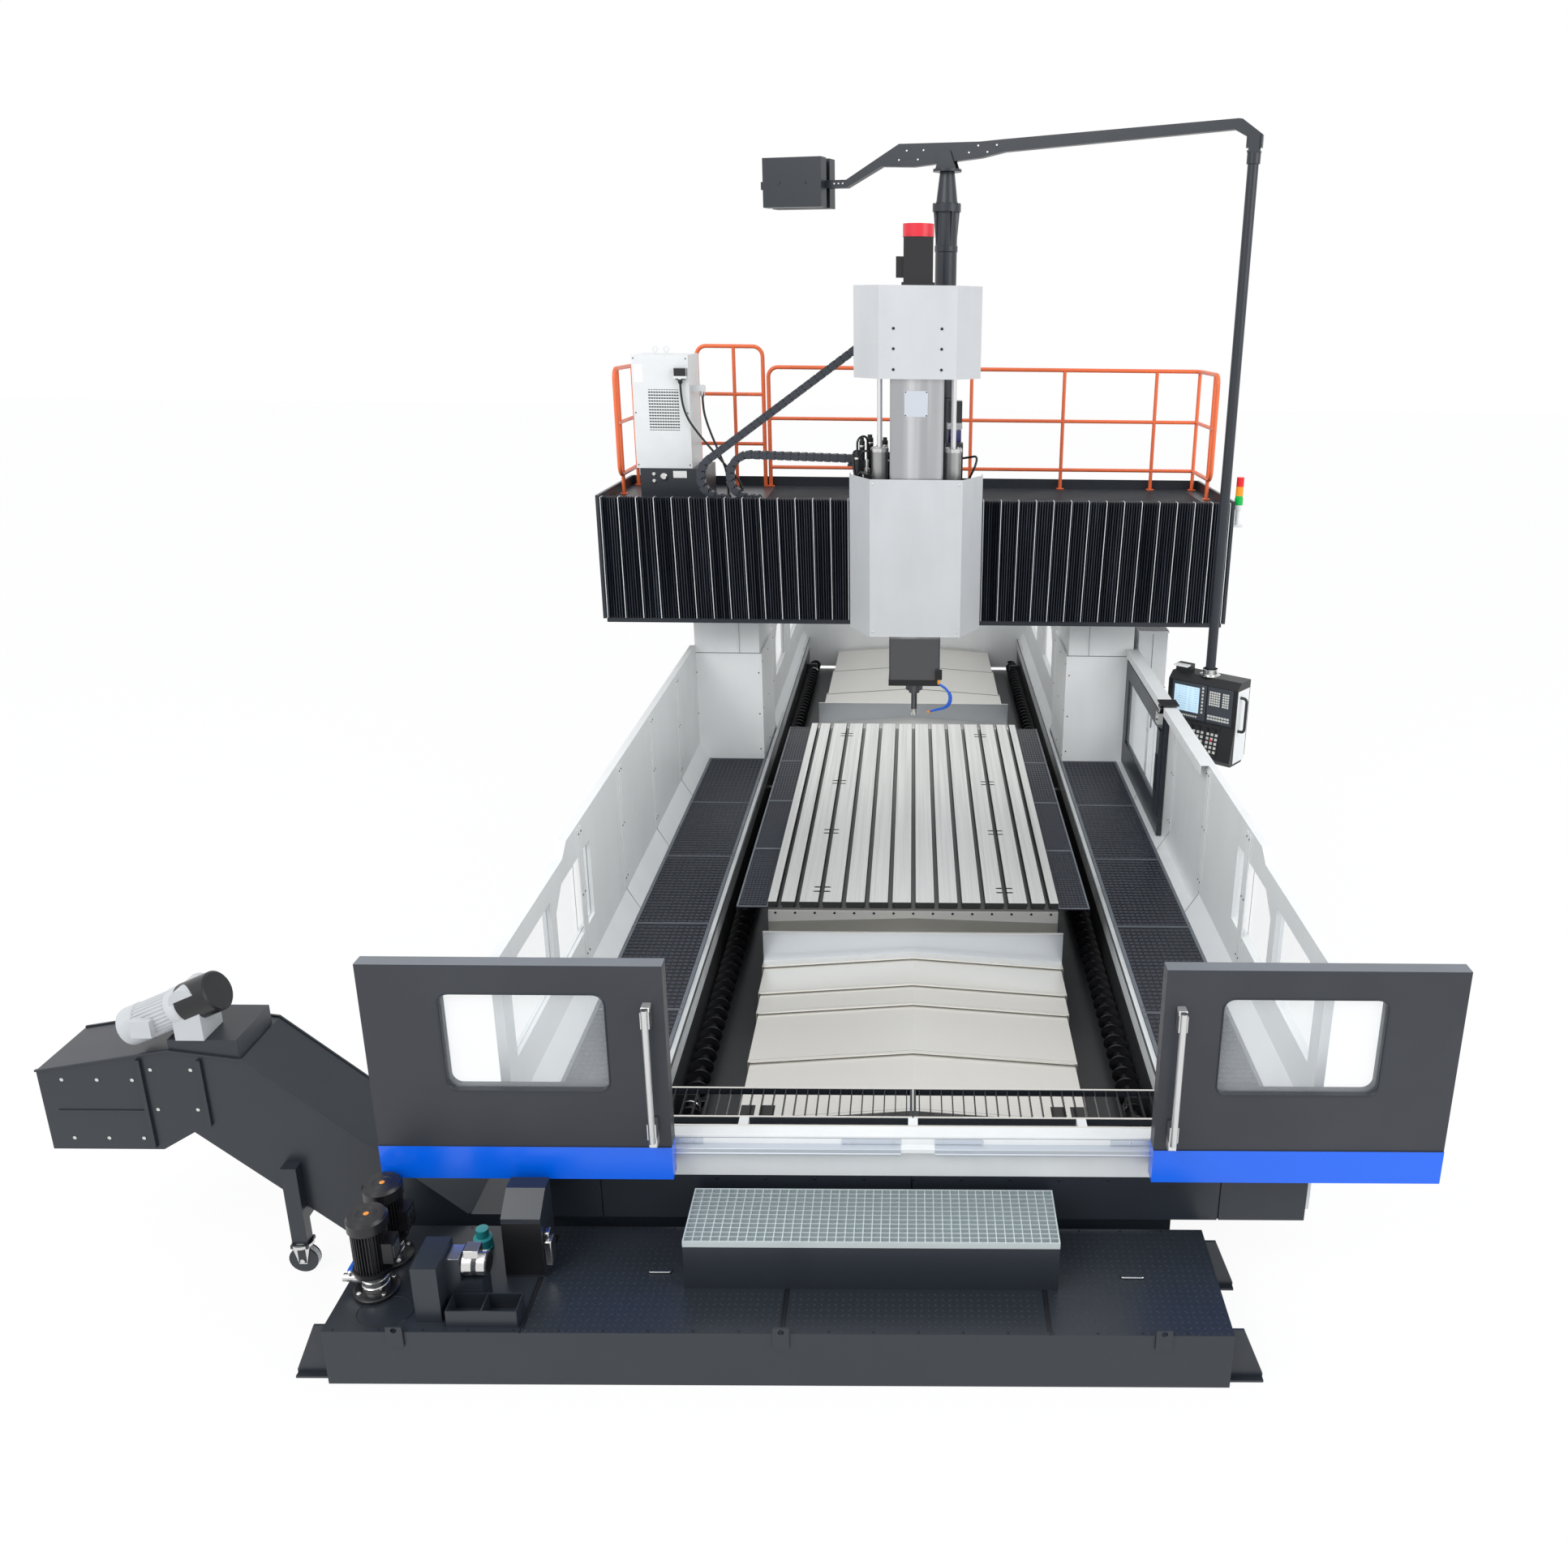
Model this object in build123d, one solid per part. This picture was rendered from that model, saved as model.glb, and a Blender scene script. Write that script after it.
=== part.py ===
from build123d import *
import os
from math import cos, radians, sin

# Gantry milling machine with a travelling table, in millimetres.
# X runs across the machine, Y along the table's travel and away from the front doors.
# Z runs up from the floor.
# The origin is the floor point under the spindle axis, with the saddle in the middle of the crossbeam.

# Table
TABLE_WIDTH = 2000
TABLE_LENGTH = 4000
TABLE_TOP = 950
TABLE_UNDERSIDE = 700
TABLE_FRONT = -2900
TABLE_EDGE = 66
TABLE_BASE_INSET = 1060
TABLE_BASE_WIDTH = 1500
LAND_BOTTOM = 902
APRON_RAISE = 20
SLOT_POSITIONS = (0, 160, 320, 480, 640, 800, 925)
SLOT_MOUTH = 28
SLOT_MOUTH_DEPTH = 28
SLOT_FOOT = 50
CLAMP_SLOT_ROWS = (200, 1250, 2350, 3650)
CLAMP_SLOT_LENGTH = 120
CLAMP_SLOT_WIDTH = 22
CLAMP_SLOT_SPACING = 70
CLAMP_SLOT_DEPTH = 30
CLAMP_SLOT_COLUMN = 640
GUARD_STRIP_WIDTH = 218
GUARD_STRIP_THICKNESS = 6
GUARD_FLANGE = 50
GUARD_STRIP_DROP = 45

# Telescopic way covers: front edges and widths of the sections, largest first
COVER_SHEET = 4
COVER_LENGTH = 1340
COVER_EAVES = 603
COVER_OVERHANG = 15
COVER_HALF_WIDTH = TABLE_WIDTH / 2 + COVER_OVERHANG
COVER_RIDGE_RISE = 75
COVER_STEP = 12
COVER_SKIRT_FOOT = 430
FRONT_COVER_EDGES = (-292, -626, -852, -1386, -1951)
REAR_COVER_COUNT = 4
COVER_PLATE_TOP = 823
COVER_PLATE_OFFSET = 92
COVER_LIP_HEIGHT = 5
COVER_LIP_WIDTH = 20
COVER_END_PLATE = 8
COVER_PLATE_CLEARANCE = 6
COVER_PLATE_LIP = 16
REAR_COVER_LENGTH = 1540
REAR_FIRST_EDGE = 1200

# Bed and chip troughs
BED_INSET = 60
BED_HALF_WIDTH = TABLE_WIDTH / 2 - BED_INSET
BED_TOP = 400
BED_FRONT = -4880
BED_BACK = 5430
COVER_REACH_INSET = 30
COVER_REACH = BED_BACK - COVER_REACH_INSET
BED_FLANGE_TOP = 70
BED_FLANGE_WIDTH = 36
WAY_END_INSET = 60
WAY_OFFSET = 600
WAY_WIDTH = 90
WAY_HEIGHT = 60
SLIDE_GAP = 1
OVERLAP = 1
CURB_LIP = 12
HANGER_WIDTH = 60
HANGER_REACH = 45
HANGER_INSET = 350
HANGER_SETBACK = 100
HANGER_GAP = 10
TROUGH_OUTER = 1372
TROUGH_FLOOR = 320
TROUGH_SHEET = 6
CURB_TOP = 745
CURB_WIDTH = 28
AUGER_OFFSET = 1285
AUGER_HEIGHT = 410
AUGER_RADIUS = 72
AUGER_SHAFT_RADIUS = 30
AUGER_FRONT = -4840
AUGER_BACK_INSET = 100
AUGER_BACK = BED_BACK - AUGER_BACK_INSET
AUGER_SIDES = 16

# Enclosure
WALL_INNER = 2030
WALL_THICKNESS = 50
WALL_TOP = 1860
WALL_FRONT_TOP = 1790
WALL_BOTTOM = 350
WALL_SKIRT = 30
WALL_FRONT = -5284
WALL_POST = 60
WALL_POST_PLACES = (-4840, -3730, -2620, -1510, -400)
WALL_STEP = -4000
WALL_STEP_RUN = 110
WALL_SLOPE_TOP = 900
WALKWAY_TOP = 750
WALKWAY_THICKNESS = 30
WALKWAY_INNER = 1402
WALKWAY_OUTER = 1940
WALKWAY_FRONT = -5150
WALKWAY_POST_PLACES = (-4850, -3650, -2450, -1250, -50)
WINDOW_BOTTOM = 1150
WINDOW_TOP = 1660
WINDOW_SLANT_RUN = 140
WINDOW_SLANT_DROP = 120
WINDOW_SPANS = ((-5150, -4400), (-4300, -3500))
PANE_THICKNESS = 6
REAR_WALL_INNER = 1450
REAR_WALL_THICKNESS = 50
REAR_WALL_GAP = 20
REAR_WALL_BACK = BED_BACK + REAR_WALL_GAP
REAR_WALL_FOOT = 830
REAR_POST_PLACES = (1800, 3000, 4200, 5300)
REAR_WINDOW_STARTS = (2100, 3700)
REAR_WINDOW_LENGTH = 1000
REAR_WALL_TOP = 1800

# Side door in the right wall
SIDE_DOOR_FRONT = -1240
SIDE_DOOR_BACK = 590
SIDE_DOOR_BOTTOM = 765
SIDE_DOOR_TOP = 1760
SIDE_DOOR_THICKNESS = 38
SIDE_DOOR_GAP = 8
SIDE_DOOR_TRAVEL = 1300
SIDE_DOOR_FRAME = 150
SIDE_DOOR_PANE_BOTTOM = 1000
SIDE_DOOR_LAP = 60
SIDE_DOOR_HEADER = 90
SIDE_RAIL_GAP = 8
SIDE_RAIL_DEPTH = 70
SIDE_GRIP = 40
SIDE_GRIP_SPAN = (1150, 1450)
TRACK_TOP = 757

# Front
SILL_FRONT = -5374
SILL_DEPTH = 90
SILL_TOP = 846
SILL_BOTTOM = 611
DOOR_FRONT = -5504
DOOR_THICKNESS = 80
DOOR_INNER = 1190
DOOR_WIDTH = 1445
DOOR_TOP = 1870
DOOR_BOTTOM = 686
DOOR_BAND_TOP = 872
DOOR_BAND_PROUD = 6
DOOR_WINDOW_INSET = 283
DOOR_WINDOW_WIDTH = 790
DOOR_WINDOW_BOTTOM = 1187
DOOR_WINDOW_TOP = 1719
DOOR_WINDOW_RADIUS = 55
HANDLE_RADIUS = 17
HANDLE_INSET = 80
HANDLE_BOTTOM = 945
HANDLE_TOP = 1680
HANDLE_STANDOFF = 70
HANDLE_FOOT = 44
HANDLE_FOOT_INSET = 60
DOOR_RAIL_GAP = 6
DOOR_RAIL_HEIGHTS = (780, 800)
SILL_BLOCK = 50
SILL_BLOCK_PLACES = (-880, 0, 880)
COVER_PANEL_THICKNESS = 30
COVER_PANEL_SEAMS = (-1592, -4, 1581)
GRATING_FRONT = -5150
GRATING_BACK = -4880
GRATING_TOP = 800
GRATING_BAR = 40
GRATING_PITCH = 82
GRATING_SLAT = 16
GRATING_SLAT_DEPTH = 20
GRATING_EDGE_BAR = 30
STEP_LEFT = -1100
STEP_RIGHT = 708
STEP_FRONT = -5827
STEP_BACK = -5440
STEP_TOP = 580

# Coolant tank
TANK_LEFT = -2730
TANK_RIGHT = 1500
TANK_BACK = -5392
TANK_DEPTH = 720
TANK_FRONT = TANK_BACK - TANK_DEPTH
TANK_TOP = 303
TANK_GROOVE = 8
TANK_GROOVE_PLACES = (-1812, -603, 642)
TANK_EYE_PLACES = (-2387, -605, 1170)
TANK_FOOT_REACH = 168
TANK_GROOVE_END = 60
TANK_EYE_WIDTH = 76
TANK_EYE_RISE = 19
TANK_EYE_HOLE = 15
TANK_EYE_THICKNESS = 12
TANK_GUSSET_DROP = 18
TANK_GUSSET_EDGE = 30
TANK_GUSSET_HEAD = 60
TANK_GUSSET_INSET = 62
TANK_GUSSET_THICKNESS = 12
PUMP_PLACES = ((-2575, -5843), (-2590, -5617))
PUMP_STAGES = ((105, 20), (62, 100), (92, 30), (84, 220), (94, 70))
PUMP_TERMINAL_X = (60, 118)
PUMP_TERMINAL_Z = (190, 300)
PUMP_TERMINAL_HALF = 45
PUMP_OUTLET_HEIGHT = 70
PUMP_OUTLET_REACH = 100
PUMP_OUTLET_RADIUS = 24
SKIMMER_X = (-2310, -2190)
SKIMMER_INSET = 62
SKIMMER_DEPTH = 220
SKIMMER_Y = (TANK_FRONT + SKIMMER_INSET, TANK_FRONT + SKIMMER_INSET + SKIMMER_DEPTH)
SKIMMER_HEIGHT = 300
SKIMMER_SEAT = 110
SKIMMER_SEAT_TOP = 150
SKIMMER_GEAR = 70
SKIMMER_GEAR_TOP = 270
SKIMMER_SHAFT = 210
SKIMMER_MOTOR_INSET = 150
SKIMMER_MOTOR_LENGTH = 120
SKIMMER_MOTOR_Y = SKIMMER_Y[0] + SKIMMER_MOTOR_INSET
SKIMMER_MOTOR_END = SKIMMER_X[1] + SKIMMER_GEAR + SKIMMER_MOTOR_LENGTH
SKIMMER_MOTOR_RADIUS = 56
SKIMMER_COWL = 20
TRAY_X = (-2160, -1830)
TRAY_INSET = 32
TRAY_DEPTH = 120
TRAY_Y = (TANK_FRONT + TRAY_INSET, TANK_FRONT + TRAY_INSET + TRAY_DEPTH)
TRAY_HEIGHT = 90
TRAY_SHEET = 6
JUNCTION_X = (-1980, -1790)
JUNCTION_Y = (-5757, -5560)
JUNCTION_FRONT_HEIGHT = 340
JUNCTION_BACK_HEIGHT = 430
JUNCTION_SLANT_RUN = 117
GAUGE_PLACE = (-2158, -5545)
GAUGE_RADIUS = 46
GAUGE_CAP_RADIUS = 30
GAUGE_STAGE = 60
GAUGE_HEIGHT = 110
STEP_TRAY = 34
STEP_BAR_PITCH = 86
STEP_BAR = 6
STEP_BAR_RECESS = 1

# Chip conveyor
CONVEYOR_FRONT = -5330
CONVEYOR_BACK = -4930
CONVEYOR_RIGHT = 1350
CONVEYOR_TOP = 325
CONVEYOR_KNEE = -2290
CONVEYOR_SHOULDER = -3340
CONVEYOR_HEAD_RISE = 50
CONVEYOR_HEAD_FALL = 70
CONVEYOR_CHUTE_RIGHT = -3810
CONVEYOR_CHUTE_HEIGHT = 260
CONVEYOR_ELBOW = (-3640, 815)
CONVEYOR_FOOT = -2704
CONVEYOR_SHEET = 8
CONVEYOR_LEG = (-3210, -3130)
CONVEYOR_LEG_TOP = 640
CONVEYOR_LEG_HALF = 30
CONVEYOR_BRACE = 330
CONVEYOR_BRACE_HALF = 25
CASTER_WIDTH = 44
CASTER_PLATE = 20
CASTER_FORK = 45
CASTER_FORK_PLACE = 28
CASTER_SHEET = 4
CASTER_AXLE = 12
CASTER_TOP = 180
CASTER_RADIUS = 75
CONVEYOR_HEAD_TOP = 1240
CONVEYOR_HEAD_BOTTOM = 712
CONVEYOR_HEAD_LEFT = -4370
CONVEYOR_HEAD_RIGHT = -3700
DRIVE_SEAT_INSET = 10
DRIVE_SEAT_TOP = 1350
DRIVE_SEAT_SHORT = 60
DRIVE_GEAR_X = (-3640, -3500)
DRIVE_GEAR_Y = (-5340, -5160)
DRIVE_GEAR_HEIGHT = 210
DRIVE_MOTOR_LINE = ((-3560, 1530), (-3850, 1400), (-3905, 1375))
DRIVE_MOTOR_RADIUS = 88
DRIVE_COWL_RADIUS = 96

# Columns and crossbeam
COLUMN_INNER = 1420
COLUMN_OUTER = 2060
COLUMN_FRONT = 600
COLUMN_BACK = 1600
COLUMN_SHOULDER = 1790
COLUMN_STEP = 20
CABINET_X = (2110, 2380)
CABINET_Y = (750, 1550)
CABINET_TOP = 1982
CABINET_PLINTH = 100
CABINET_PLINTH_INSET = 15
CABINET_ROOF = 18
CABINET_EAVES = 8
CABINET_JOINT = 6
BEAM_HALF_WIDTH = 2740
BEAM_FRONT = 330
BEAM_BACK = 1500
BEAM_BOTTOM = 2200
BEAM_TOP = 3190
BEAM_END_PLATE = 25
TRAY_BACK = 1670
TRAY_FLOOR = 10
TRAY_RIM_TOP = 3285
BELLOWS_FRONT = 200
BELLOWS_BACK = 300
BELLOWS_RISE = 85
LINEAR_RAIL_HEIGHTS = (2330, 3080)
LINEAR_RAIL_WIDTH = 50
LINEAR_RAIL_DEPTH = 26
LEDGE_DROP = 40
LEDGE_FRONT = 235

# Saddle and ram
RAM_SIZE = 440
RAM_BOTTOM = 1724
SADDLE_HALF_WIDTH = 520
SADDLE_BOTTOM = 2240
SADDLE_TOP = 3330
SERVO_SEAT = 40
CHEEK_INSET = 120
CHEEK_FRONT = -200
CHEEK_BORE_GAP = 1
EAR_LAP = 40
EAR_INSET = 100
EAR_DEPTH = 90
SADDLE_COVER_BOTTOM = 2170
SADDLE_COVER_TOP = 3500
SADDLE_COVER_FRONT = -255
SADDLE_COVER_SIDE = 90
SADDLE_COVER_BACK = 195
SADDLE_COVER_SHEET = 6
SADDLE_PLATE_BACK = 303
RAM_COVER_SIDE = -40
RAM_CHAMFER = 14
RAM_PLATE_X = (-95, 75)
RAM_PLATE_HEIGHTS = (-330, -120)
SERVO_X = (250, 400)
SERVO_FRONT_GAP = 12
SERVO_HEIGHTS = (420, 560, 770)
SERVO_WAIST = 58
SERVO_HEAD_HALF = 62
VALVE_BLOCK_X = (-430, -300)
VALVE_BLOCK_BACK = 300
VALVE_BLOCK_TOP = 200
VALVE_STEP = 35
VALVE_STEP_FRONT = 150
VALVE_STEP_TOP = 120
VALVE_COIL = 28
VALVE_COIL_TOP = 330
MOTOR_HALF = 118
MOTOR_TOP = 5380
MOTOR_FLANGE = 25
MOTOR_FLANGE_REACH = 15
MOTOR_BOX = 60
MOTOR_BOX_HEIGHTS = (60, 220)
MOTOR_CAP = 125
MOTOR_CAP_HEIGHT = 100
SPINDLE_STAGES = ((75, 90), (48, 30))
TOOL_RADIUS = 26
RAM_COVER_BACK = 240
PIN_RADIUS = 16
PIN_PLAY = 0.05
SADDLE_COVER_HALF = 385
SADDLE_COVER_FULL = 568
RAM_TOP = 4300
RAM_COVER_TOP = 5015
RAM_COVER_FRONT = -260
RAM_COVER_HALF = 312
RAM_COVER_FULL = 520
RAM_GAP = 5
CYLINDER_OFFSET = 308
CYLINDER_RADIUS = 68
CYLINDER_TOP = 3705
CYLINDER_BOTTOM = 2790
CYLINDER_COLLAR = 82
CYLINDER_CAP = 74
COLLAR_HEIGHT = 40
CAP_HEIGHT = 30
BORE_FLOOR = 10
BORE_GAP = 5
ROD_BOTTOM = 3240
ROD_RADIUS = 22
SERVO_BACK = 395
TOOL_TIP = 1397
NOZZLE_BLOCK = 60
NOZZLE_BLOCK_BASE = 60
NOZZLE_BLOCK_TOP = 150
NOZZLE_DEPTH = 24
NOZZLE_OVERHANG = 20
NOZZLE_DROP = 60
NOZZLE_ELBOW = 137
NOZZLE_TIP = (70, -110, 1497)
NOZZLE_BEND = 60
NOZZLE_RADIUS = 11

# Operator arm on its post behind the head
POST_X = 238
POST_Y = 700
POST_TOP = 5930
POST_RADIUS = 92
POST_COLLAR = 5620
POST_COLLAR_HEIGHT = 60
POST_COLLAR_REACH = 28
POST_NECK = 62
POST_FOOT = 320
POST_FOOT_PLATE = 20
POST_RIB = 350
POST_RIB_THICKNESS = 12
YOKE_GAP = 6
YOKE_CHEEK = 12
YOKE_PLATE = 20
YOKE_RADIUS = 120
YOKE_FOOT = 90
YOKE_HEAD = 40
BOX_YAW = 40
ARM_BEARING = -21
ARM_WIDTH = 70
ARM_PIVOT_HEIGHT = 6050
ARM_TIP_REACH = 2501
ARM_TIP_PIVOT = 6090
TUBE_RADIUS = 42
TUBE_TOP = 6020
TUBE_CAP = 15
TUBE_CAP_HALF = 50
TUBE_COLLAR = 80
TIP_GAP = 3
TIP_CHEEK = 10
TUBE_BOTTOM = 1900
BOX_WIDTH = 660
BOX_HEIGHT = 740
BOX_DEPTH = 236
BOX_NECK = 60
BOX_NECK_RADIUS = 60
BOX_SLOPE = 60
BOX_LEDGE = 55
BOX_LEDGE_EDGE = 40
BOX_HANDLE_HEIGHTS = (130, 430)
BOX_HANDLE_REACH = 60
BOX_HANDLE_RADIUS = 13
HAND_UNIT_INSET = 30
HAND_UNIT_WIDTH = 140
HAND_UNIT_DEPTH = 80
HAND_UNIT_HEIGHT = 70
BOX_LEDGE_SHARE = 0.55
WEIGHT_START = -1655
WEIGHT_BOTTOM = 5670
WEIGHT_LENGTH = 560
WEIGHT_HEIGHT = 400
WEIGHT_THICKNESS = 110
ARM_OUTLINE = (
    (-1730, 5825),
    (-910, 5825),
    (-585, 5985),
    (-300, 5975),
    (300, 6029),
    (500, 6068),
    (2345, 6171),
    (2440, 6120),
    (2440, 6040),
    (2560, 6040),
    (2560, 6130),
    (2400, 6244),
    (2370, 6248),
    (500, 6163),
    (295, 6151),
    (-423, 6156),
    (-600, 6060),
    (-910, 5890),
    (-1730, 5890),
)

# On the beam platform
TOWER_Y = 330
TOWER_DROP = 140
TOWER_SHELF = 20
TOWER_SHELF_SIZE = 100
TOWER_REACH = 60
TOWER_STAGES = ((22, 130), (36, 100), (32, 180))
CHILLER_LEFT = -2483
CHILLER_RIGHT = -1990
CHILLER_FRONT = 640
CHILLER_DEPTH = 560
CHILLER_BOTTOM = 3470
CHILLER_TOP = 4440
CHILLER_BASE_INSET = 30
CHILLER_BASE_REACH = 120
CHILLER_BASE_PROUD = 20
CHILLER_FIELD_LEFT = 130
CHILLER_FIELD_RIGHT = 90
CHILLER_FIELD_HEIGHTS = (330, 680)
CHILLER_FIELD_DEPTH = 6
CHILLER_EYE_SHARES = (0.35, 0.55)
CHILLER_EYE_BACK = 200
EYE_HEIGHT = 42
EYE_RADIUS = 27
EYE_HOLE = 14
EYE_SHANK = 11
EYE_THICKNESS = 16
PLUG_HALF = 55
PLUG_DEPTH = 50
PLUG_HEIGHT = 90
VALVE_HALF = 25
VALVE_HEIGHT = 50
RAIL_TUBE = 19
RAIL_HEIGHT = 1110
RAIL_BACK = 1600
RAIL_MIDDLE = 640
RAIL_LOW = 182
RAIL_BEND = 90
RAIL_FRONT = 830
RAIL_SIDE = 2680
RAIL_START = -1400
RAIL_POSTS = (-354, 522, 1400, 2274)
GATE_LEFT = -2070
GATE_RIGHT = -1450
GATE_TOP = 1295
GATE_BARS = (860, 400)
GATE_HOOK = 145
GATE_BEND = 45
GATE_UPRIGHT_SHARE = 0.56
RAIL_FRONT_POST = 120
POST_THINNER = 2
TUBE_SIDES = 8
DRUM_SIDES = 24
CHAIN_WIDTH = 90
CHAIN_DEPTH = 70
CHAIN_PLACE = 390
CHAIN_LEVEL = 3246
CHAIN_BRACKET = (-536, -420)
CHAIN_BRACKET_TOP = 4452
BRACKET_SHEET = 12
RAM_CHAIN_TURN = 185
SADDLE_CHAIN_TURN = 190
RAM_CHAIN_ROUTE = ((-1620, CHAIN_LEVEL), (-2262, CHAIN_LEVEL), (-560, 4484))
SADDLE_CHAIN_ROUTE = ((-1350, CHAIN_LEVEL), (-1621, CHAIN_LEVEL), (-1621, 3628), (-570, 3600))
CHAIN_ARM_TOP = 3550
CHAIN_POST_X = (-520, -480)
CHAIN_SHELF_X = (-590, -440)
HOSE_RADIUS = 10
HOSE_ARC_SHARE = 0.45
HOSE_FOOT_TOP = 3235
GLAND_RADIUS = 16
GLAND_LENGTH = 40
CABLE_TOP = (-2057, 600, 4205)
CABLE_ROUTE = (
    (-2057, 600, 4085),
    (-2020, 603, 3925),
    (-1930, 606, 3790),
    (-1800, 601, 3635),
    (-1665, 597, 3480),
    (-1540, 600, 3345),
)
HOSE_TOP = (-1900, 800, 4090)
HOSE_ROUTE = (
    (-1900, 800, 3980),
    (-1870, 803, 3850),
    (-1815, 802, 3700),
    (-1755, 798, 3560),
    (-1700, 800, 3400),
)
HOSE_FEET = ((-1540, 600), (-1700, 800))

os.makedirs("parts", exist_ok=True)


def block(x, y, z):
    """A box between the low and high values of x, y and z."""
    size = Box(x[1] - x[0], y[1] - y[0], z[1] - z[0])
    return Pos((x[0] + x[1]) / 2, (y[0] + y[1]) / 2, (z[0] + z[1]) / 2) * size


def around(centre, half):
    """The low and high value at a half width to both sides of a centre."""
    return (centre - half, centre + half)


def mirrored(shape):
    """The mirror image across the machine's centre plane."""
    return mirror(shape, about=Plane.YZ)


def both_sides(shape):
    """The shape and its mirror image across the machine's centre plane."""
    return shape + mirrored(shape)


def rod(start, end, radius):
    """A round bar from one point to another."""
    direction = Vector(*end) - Vector(*start)
    plane = Plane(origin=start, z_dir=direction)
    return plane * extrude(Circle(radius), amount=direction.length)


def drum(start, end, radius):
    """A bar of so many sides that it looks round, for the round pieces of pumps, motors and wheels."""
    direction = Vector(*end) - Vector(*start)
    plane = Plane(origin=start, z_dir=direction)
    return plane * extrude(RegularPolygon(radius, DRUM_SIDES), amount=direction.length)


def upright_drum(place, z, radius):
    """A drum that stands at an x and y, between the low and high value of z."""
    return drum((place[0], place[1], z[0]), (place[0], place[1], z[1]), radius)


def upright_rod(place, z, radius):
    """A round bar that stands at an x and y, between the low and high value of z."""
    return rod((place[0], place[1], z[0]), (place[0], place[1], z[1]), radius)


def along_y(points, y):
    """An XZ outline pushed from the low to the high value of y."""
    face = make_face(Polyline(*[(px, 0, pz) for px, pz in points], close=True))
    return Pos(0, y[0], 0) * extrude(face, amount=y[1] - y[0], dir=(0, 1, 0))


def along_x(points, x):
    """A YZ outline pushed from the low to the high value of x."""
    face = make_face(Polyline(*[(0, py, pz) for py, pz in points], close=True))
    return Pos(x[0], 0, 0) * extrude(face, amount=x[1] - x[0], dir=(1, 0, 0))


def upright(points, z):
    """An XY outline pushed up from the low to the high value of z."""
    face = make_face(Polyline(*[(px, py, 0) for px, py in points], close=True))
    return Pos(0, 0, z[0]) * extrude(face, amount=z[1] - z[0], dir=(0, 0, 1))


def rounded_opening(width, height, radius, thickness, centre):
    """A rounded rectangle in the XZ plane, cut or filled through y about its centre."""
    face = RectangleRounded(width, height, radius)
    plate = extrude(Plane.XZ * face, amount=thickness / 2, both=True)
    return Pos(*centre) * plate


def bent_tube(points, bend, radius=RAIL_TUBE):
    """A tube of few sides along points, with rounded corners."""
    path = Line(*points) if len(points) == 2 else FilletPolyline(*points, radius=bend)
    section = Plane(origin=path @ 0, z_dir=path % 0) * RegularPolygon(radius, TUBE_SIDES)
    return sweep(section, path=path)


def save(name, shape):
    """Writes one node of the machine."""
    shape.label = name
    export_step(shape, "parts/" + name + ".step")


# Table: the casting, the lands between its T-slots, and the side guards
def table_slots():
    length = (TABLE_FRONT - OVERLAP, TABLE_FRONT + TABLE_LENGTH + OVERLAP)
    mouth_floor = TABLE_TOP - SLOT_MOUTH_DEPTH
    slots = []
    for offset in sorted({sign * place for place in SLOT_POSITIONS for sign in (-1, 1)}):
        slots.append(block(around(offset, SLOT_MOUTH / 2), length, (mouth_floor, TABLE_TOP + OVERLAP)))
        slots.append(block(around(offset, SLOT_FOOT / 2), length, (LAND_BOTTOM - OVERLAP, mouth_floor)))
    return slots


def clamp_slots():
    """Pairs of short slots across two of the T-slots, where nuts go in."""
    outline = [(-1, -0.5), (-0.8, -1), (0.8, -1), (1, -0.5), (1, 0.5), (0.8, 1), (-0.8, 1), (-1, 0.5)]
    shape = [(x * CLAMP_SLOT_LENGTH / 2, y * CLAMP_SLOT_WIDTH / 2) for x, y in outline]
    cutter = upright(shape, (TABLE_TOP - CLAMP_SLOT_DEPTH, TABLE_TOP + OVERLAP))
    cutters = []
    for row in CLAMP_SLOT_ROWS:
        for side in (-CLAMP_SLOT_COLUMN, CLAMP_SLOT_COLUMN):
            for shift in (-CLAMP_SLOT_SPACING / 2, CLAMP_SLOT_SPACING / 2):
                cutters.append(Pos(side, TABLE_FRONT + row + shift, 0) * cutter)
    return cutters


def table_lands():
    half = TABLE_WIDTH / 2
    span = (TABLE_FRONT, TABLE_FRONT + TABLE_LENGTH)
    return block((-half, half), span, (LAND_BOTTOM, TABLE_TOP)) - table_slots() - clamp_slots()


def table():
    half = TABLE_WIDTH / 2
    back = TABLE_FRONT + TABLE_LENGTH
    slab = block((-half, half), (TABLE_FRONT, back), (TABLE_UNDERSIDE, LAND_BOTTOM))
    base_span = (TABLE_FRONT + TABLE_BASE_INSET, back - TABLE_BASE_INSET)
    base_half = TABLE_BASE_WIDTH / 2
    way_top = BED_TOP + WAY_HEIGHT + SLIDE_GAP
    return slab + block((-base_half, base_half), base_span, (way_top, TABLE_UNDERSIDE))


def table_guards():
    """Folded sheet shelves along both sides of the table."""
    inner = TABLE_WIDTH / 2
    outer = inner + GUARD_STRIP_WIDTH
    top = TABLE_TOP - GUARD_STRIP_DROP
    sheet = GUARD_STRIP_THICKNESS
    outline = (
        (inner, top - GUARD_FLANGE),
        (inner + sheet, top - GUARD_FLANGE),
        (inner + sheet, top - sheet),
        (outer - sheet, top - sheet),
        (outer - sheet, top - GUARD_FLANGE),
        (outer, top - GUARD_FLANGE),
        (outer, top),
        (inner, top),
    )
    return both_sides(along_y(outline, (TABLE_FRONT, TABLE_FRONT + TABLE_LENGTH)))


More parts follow.
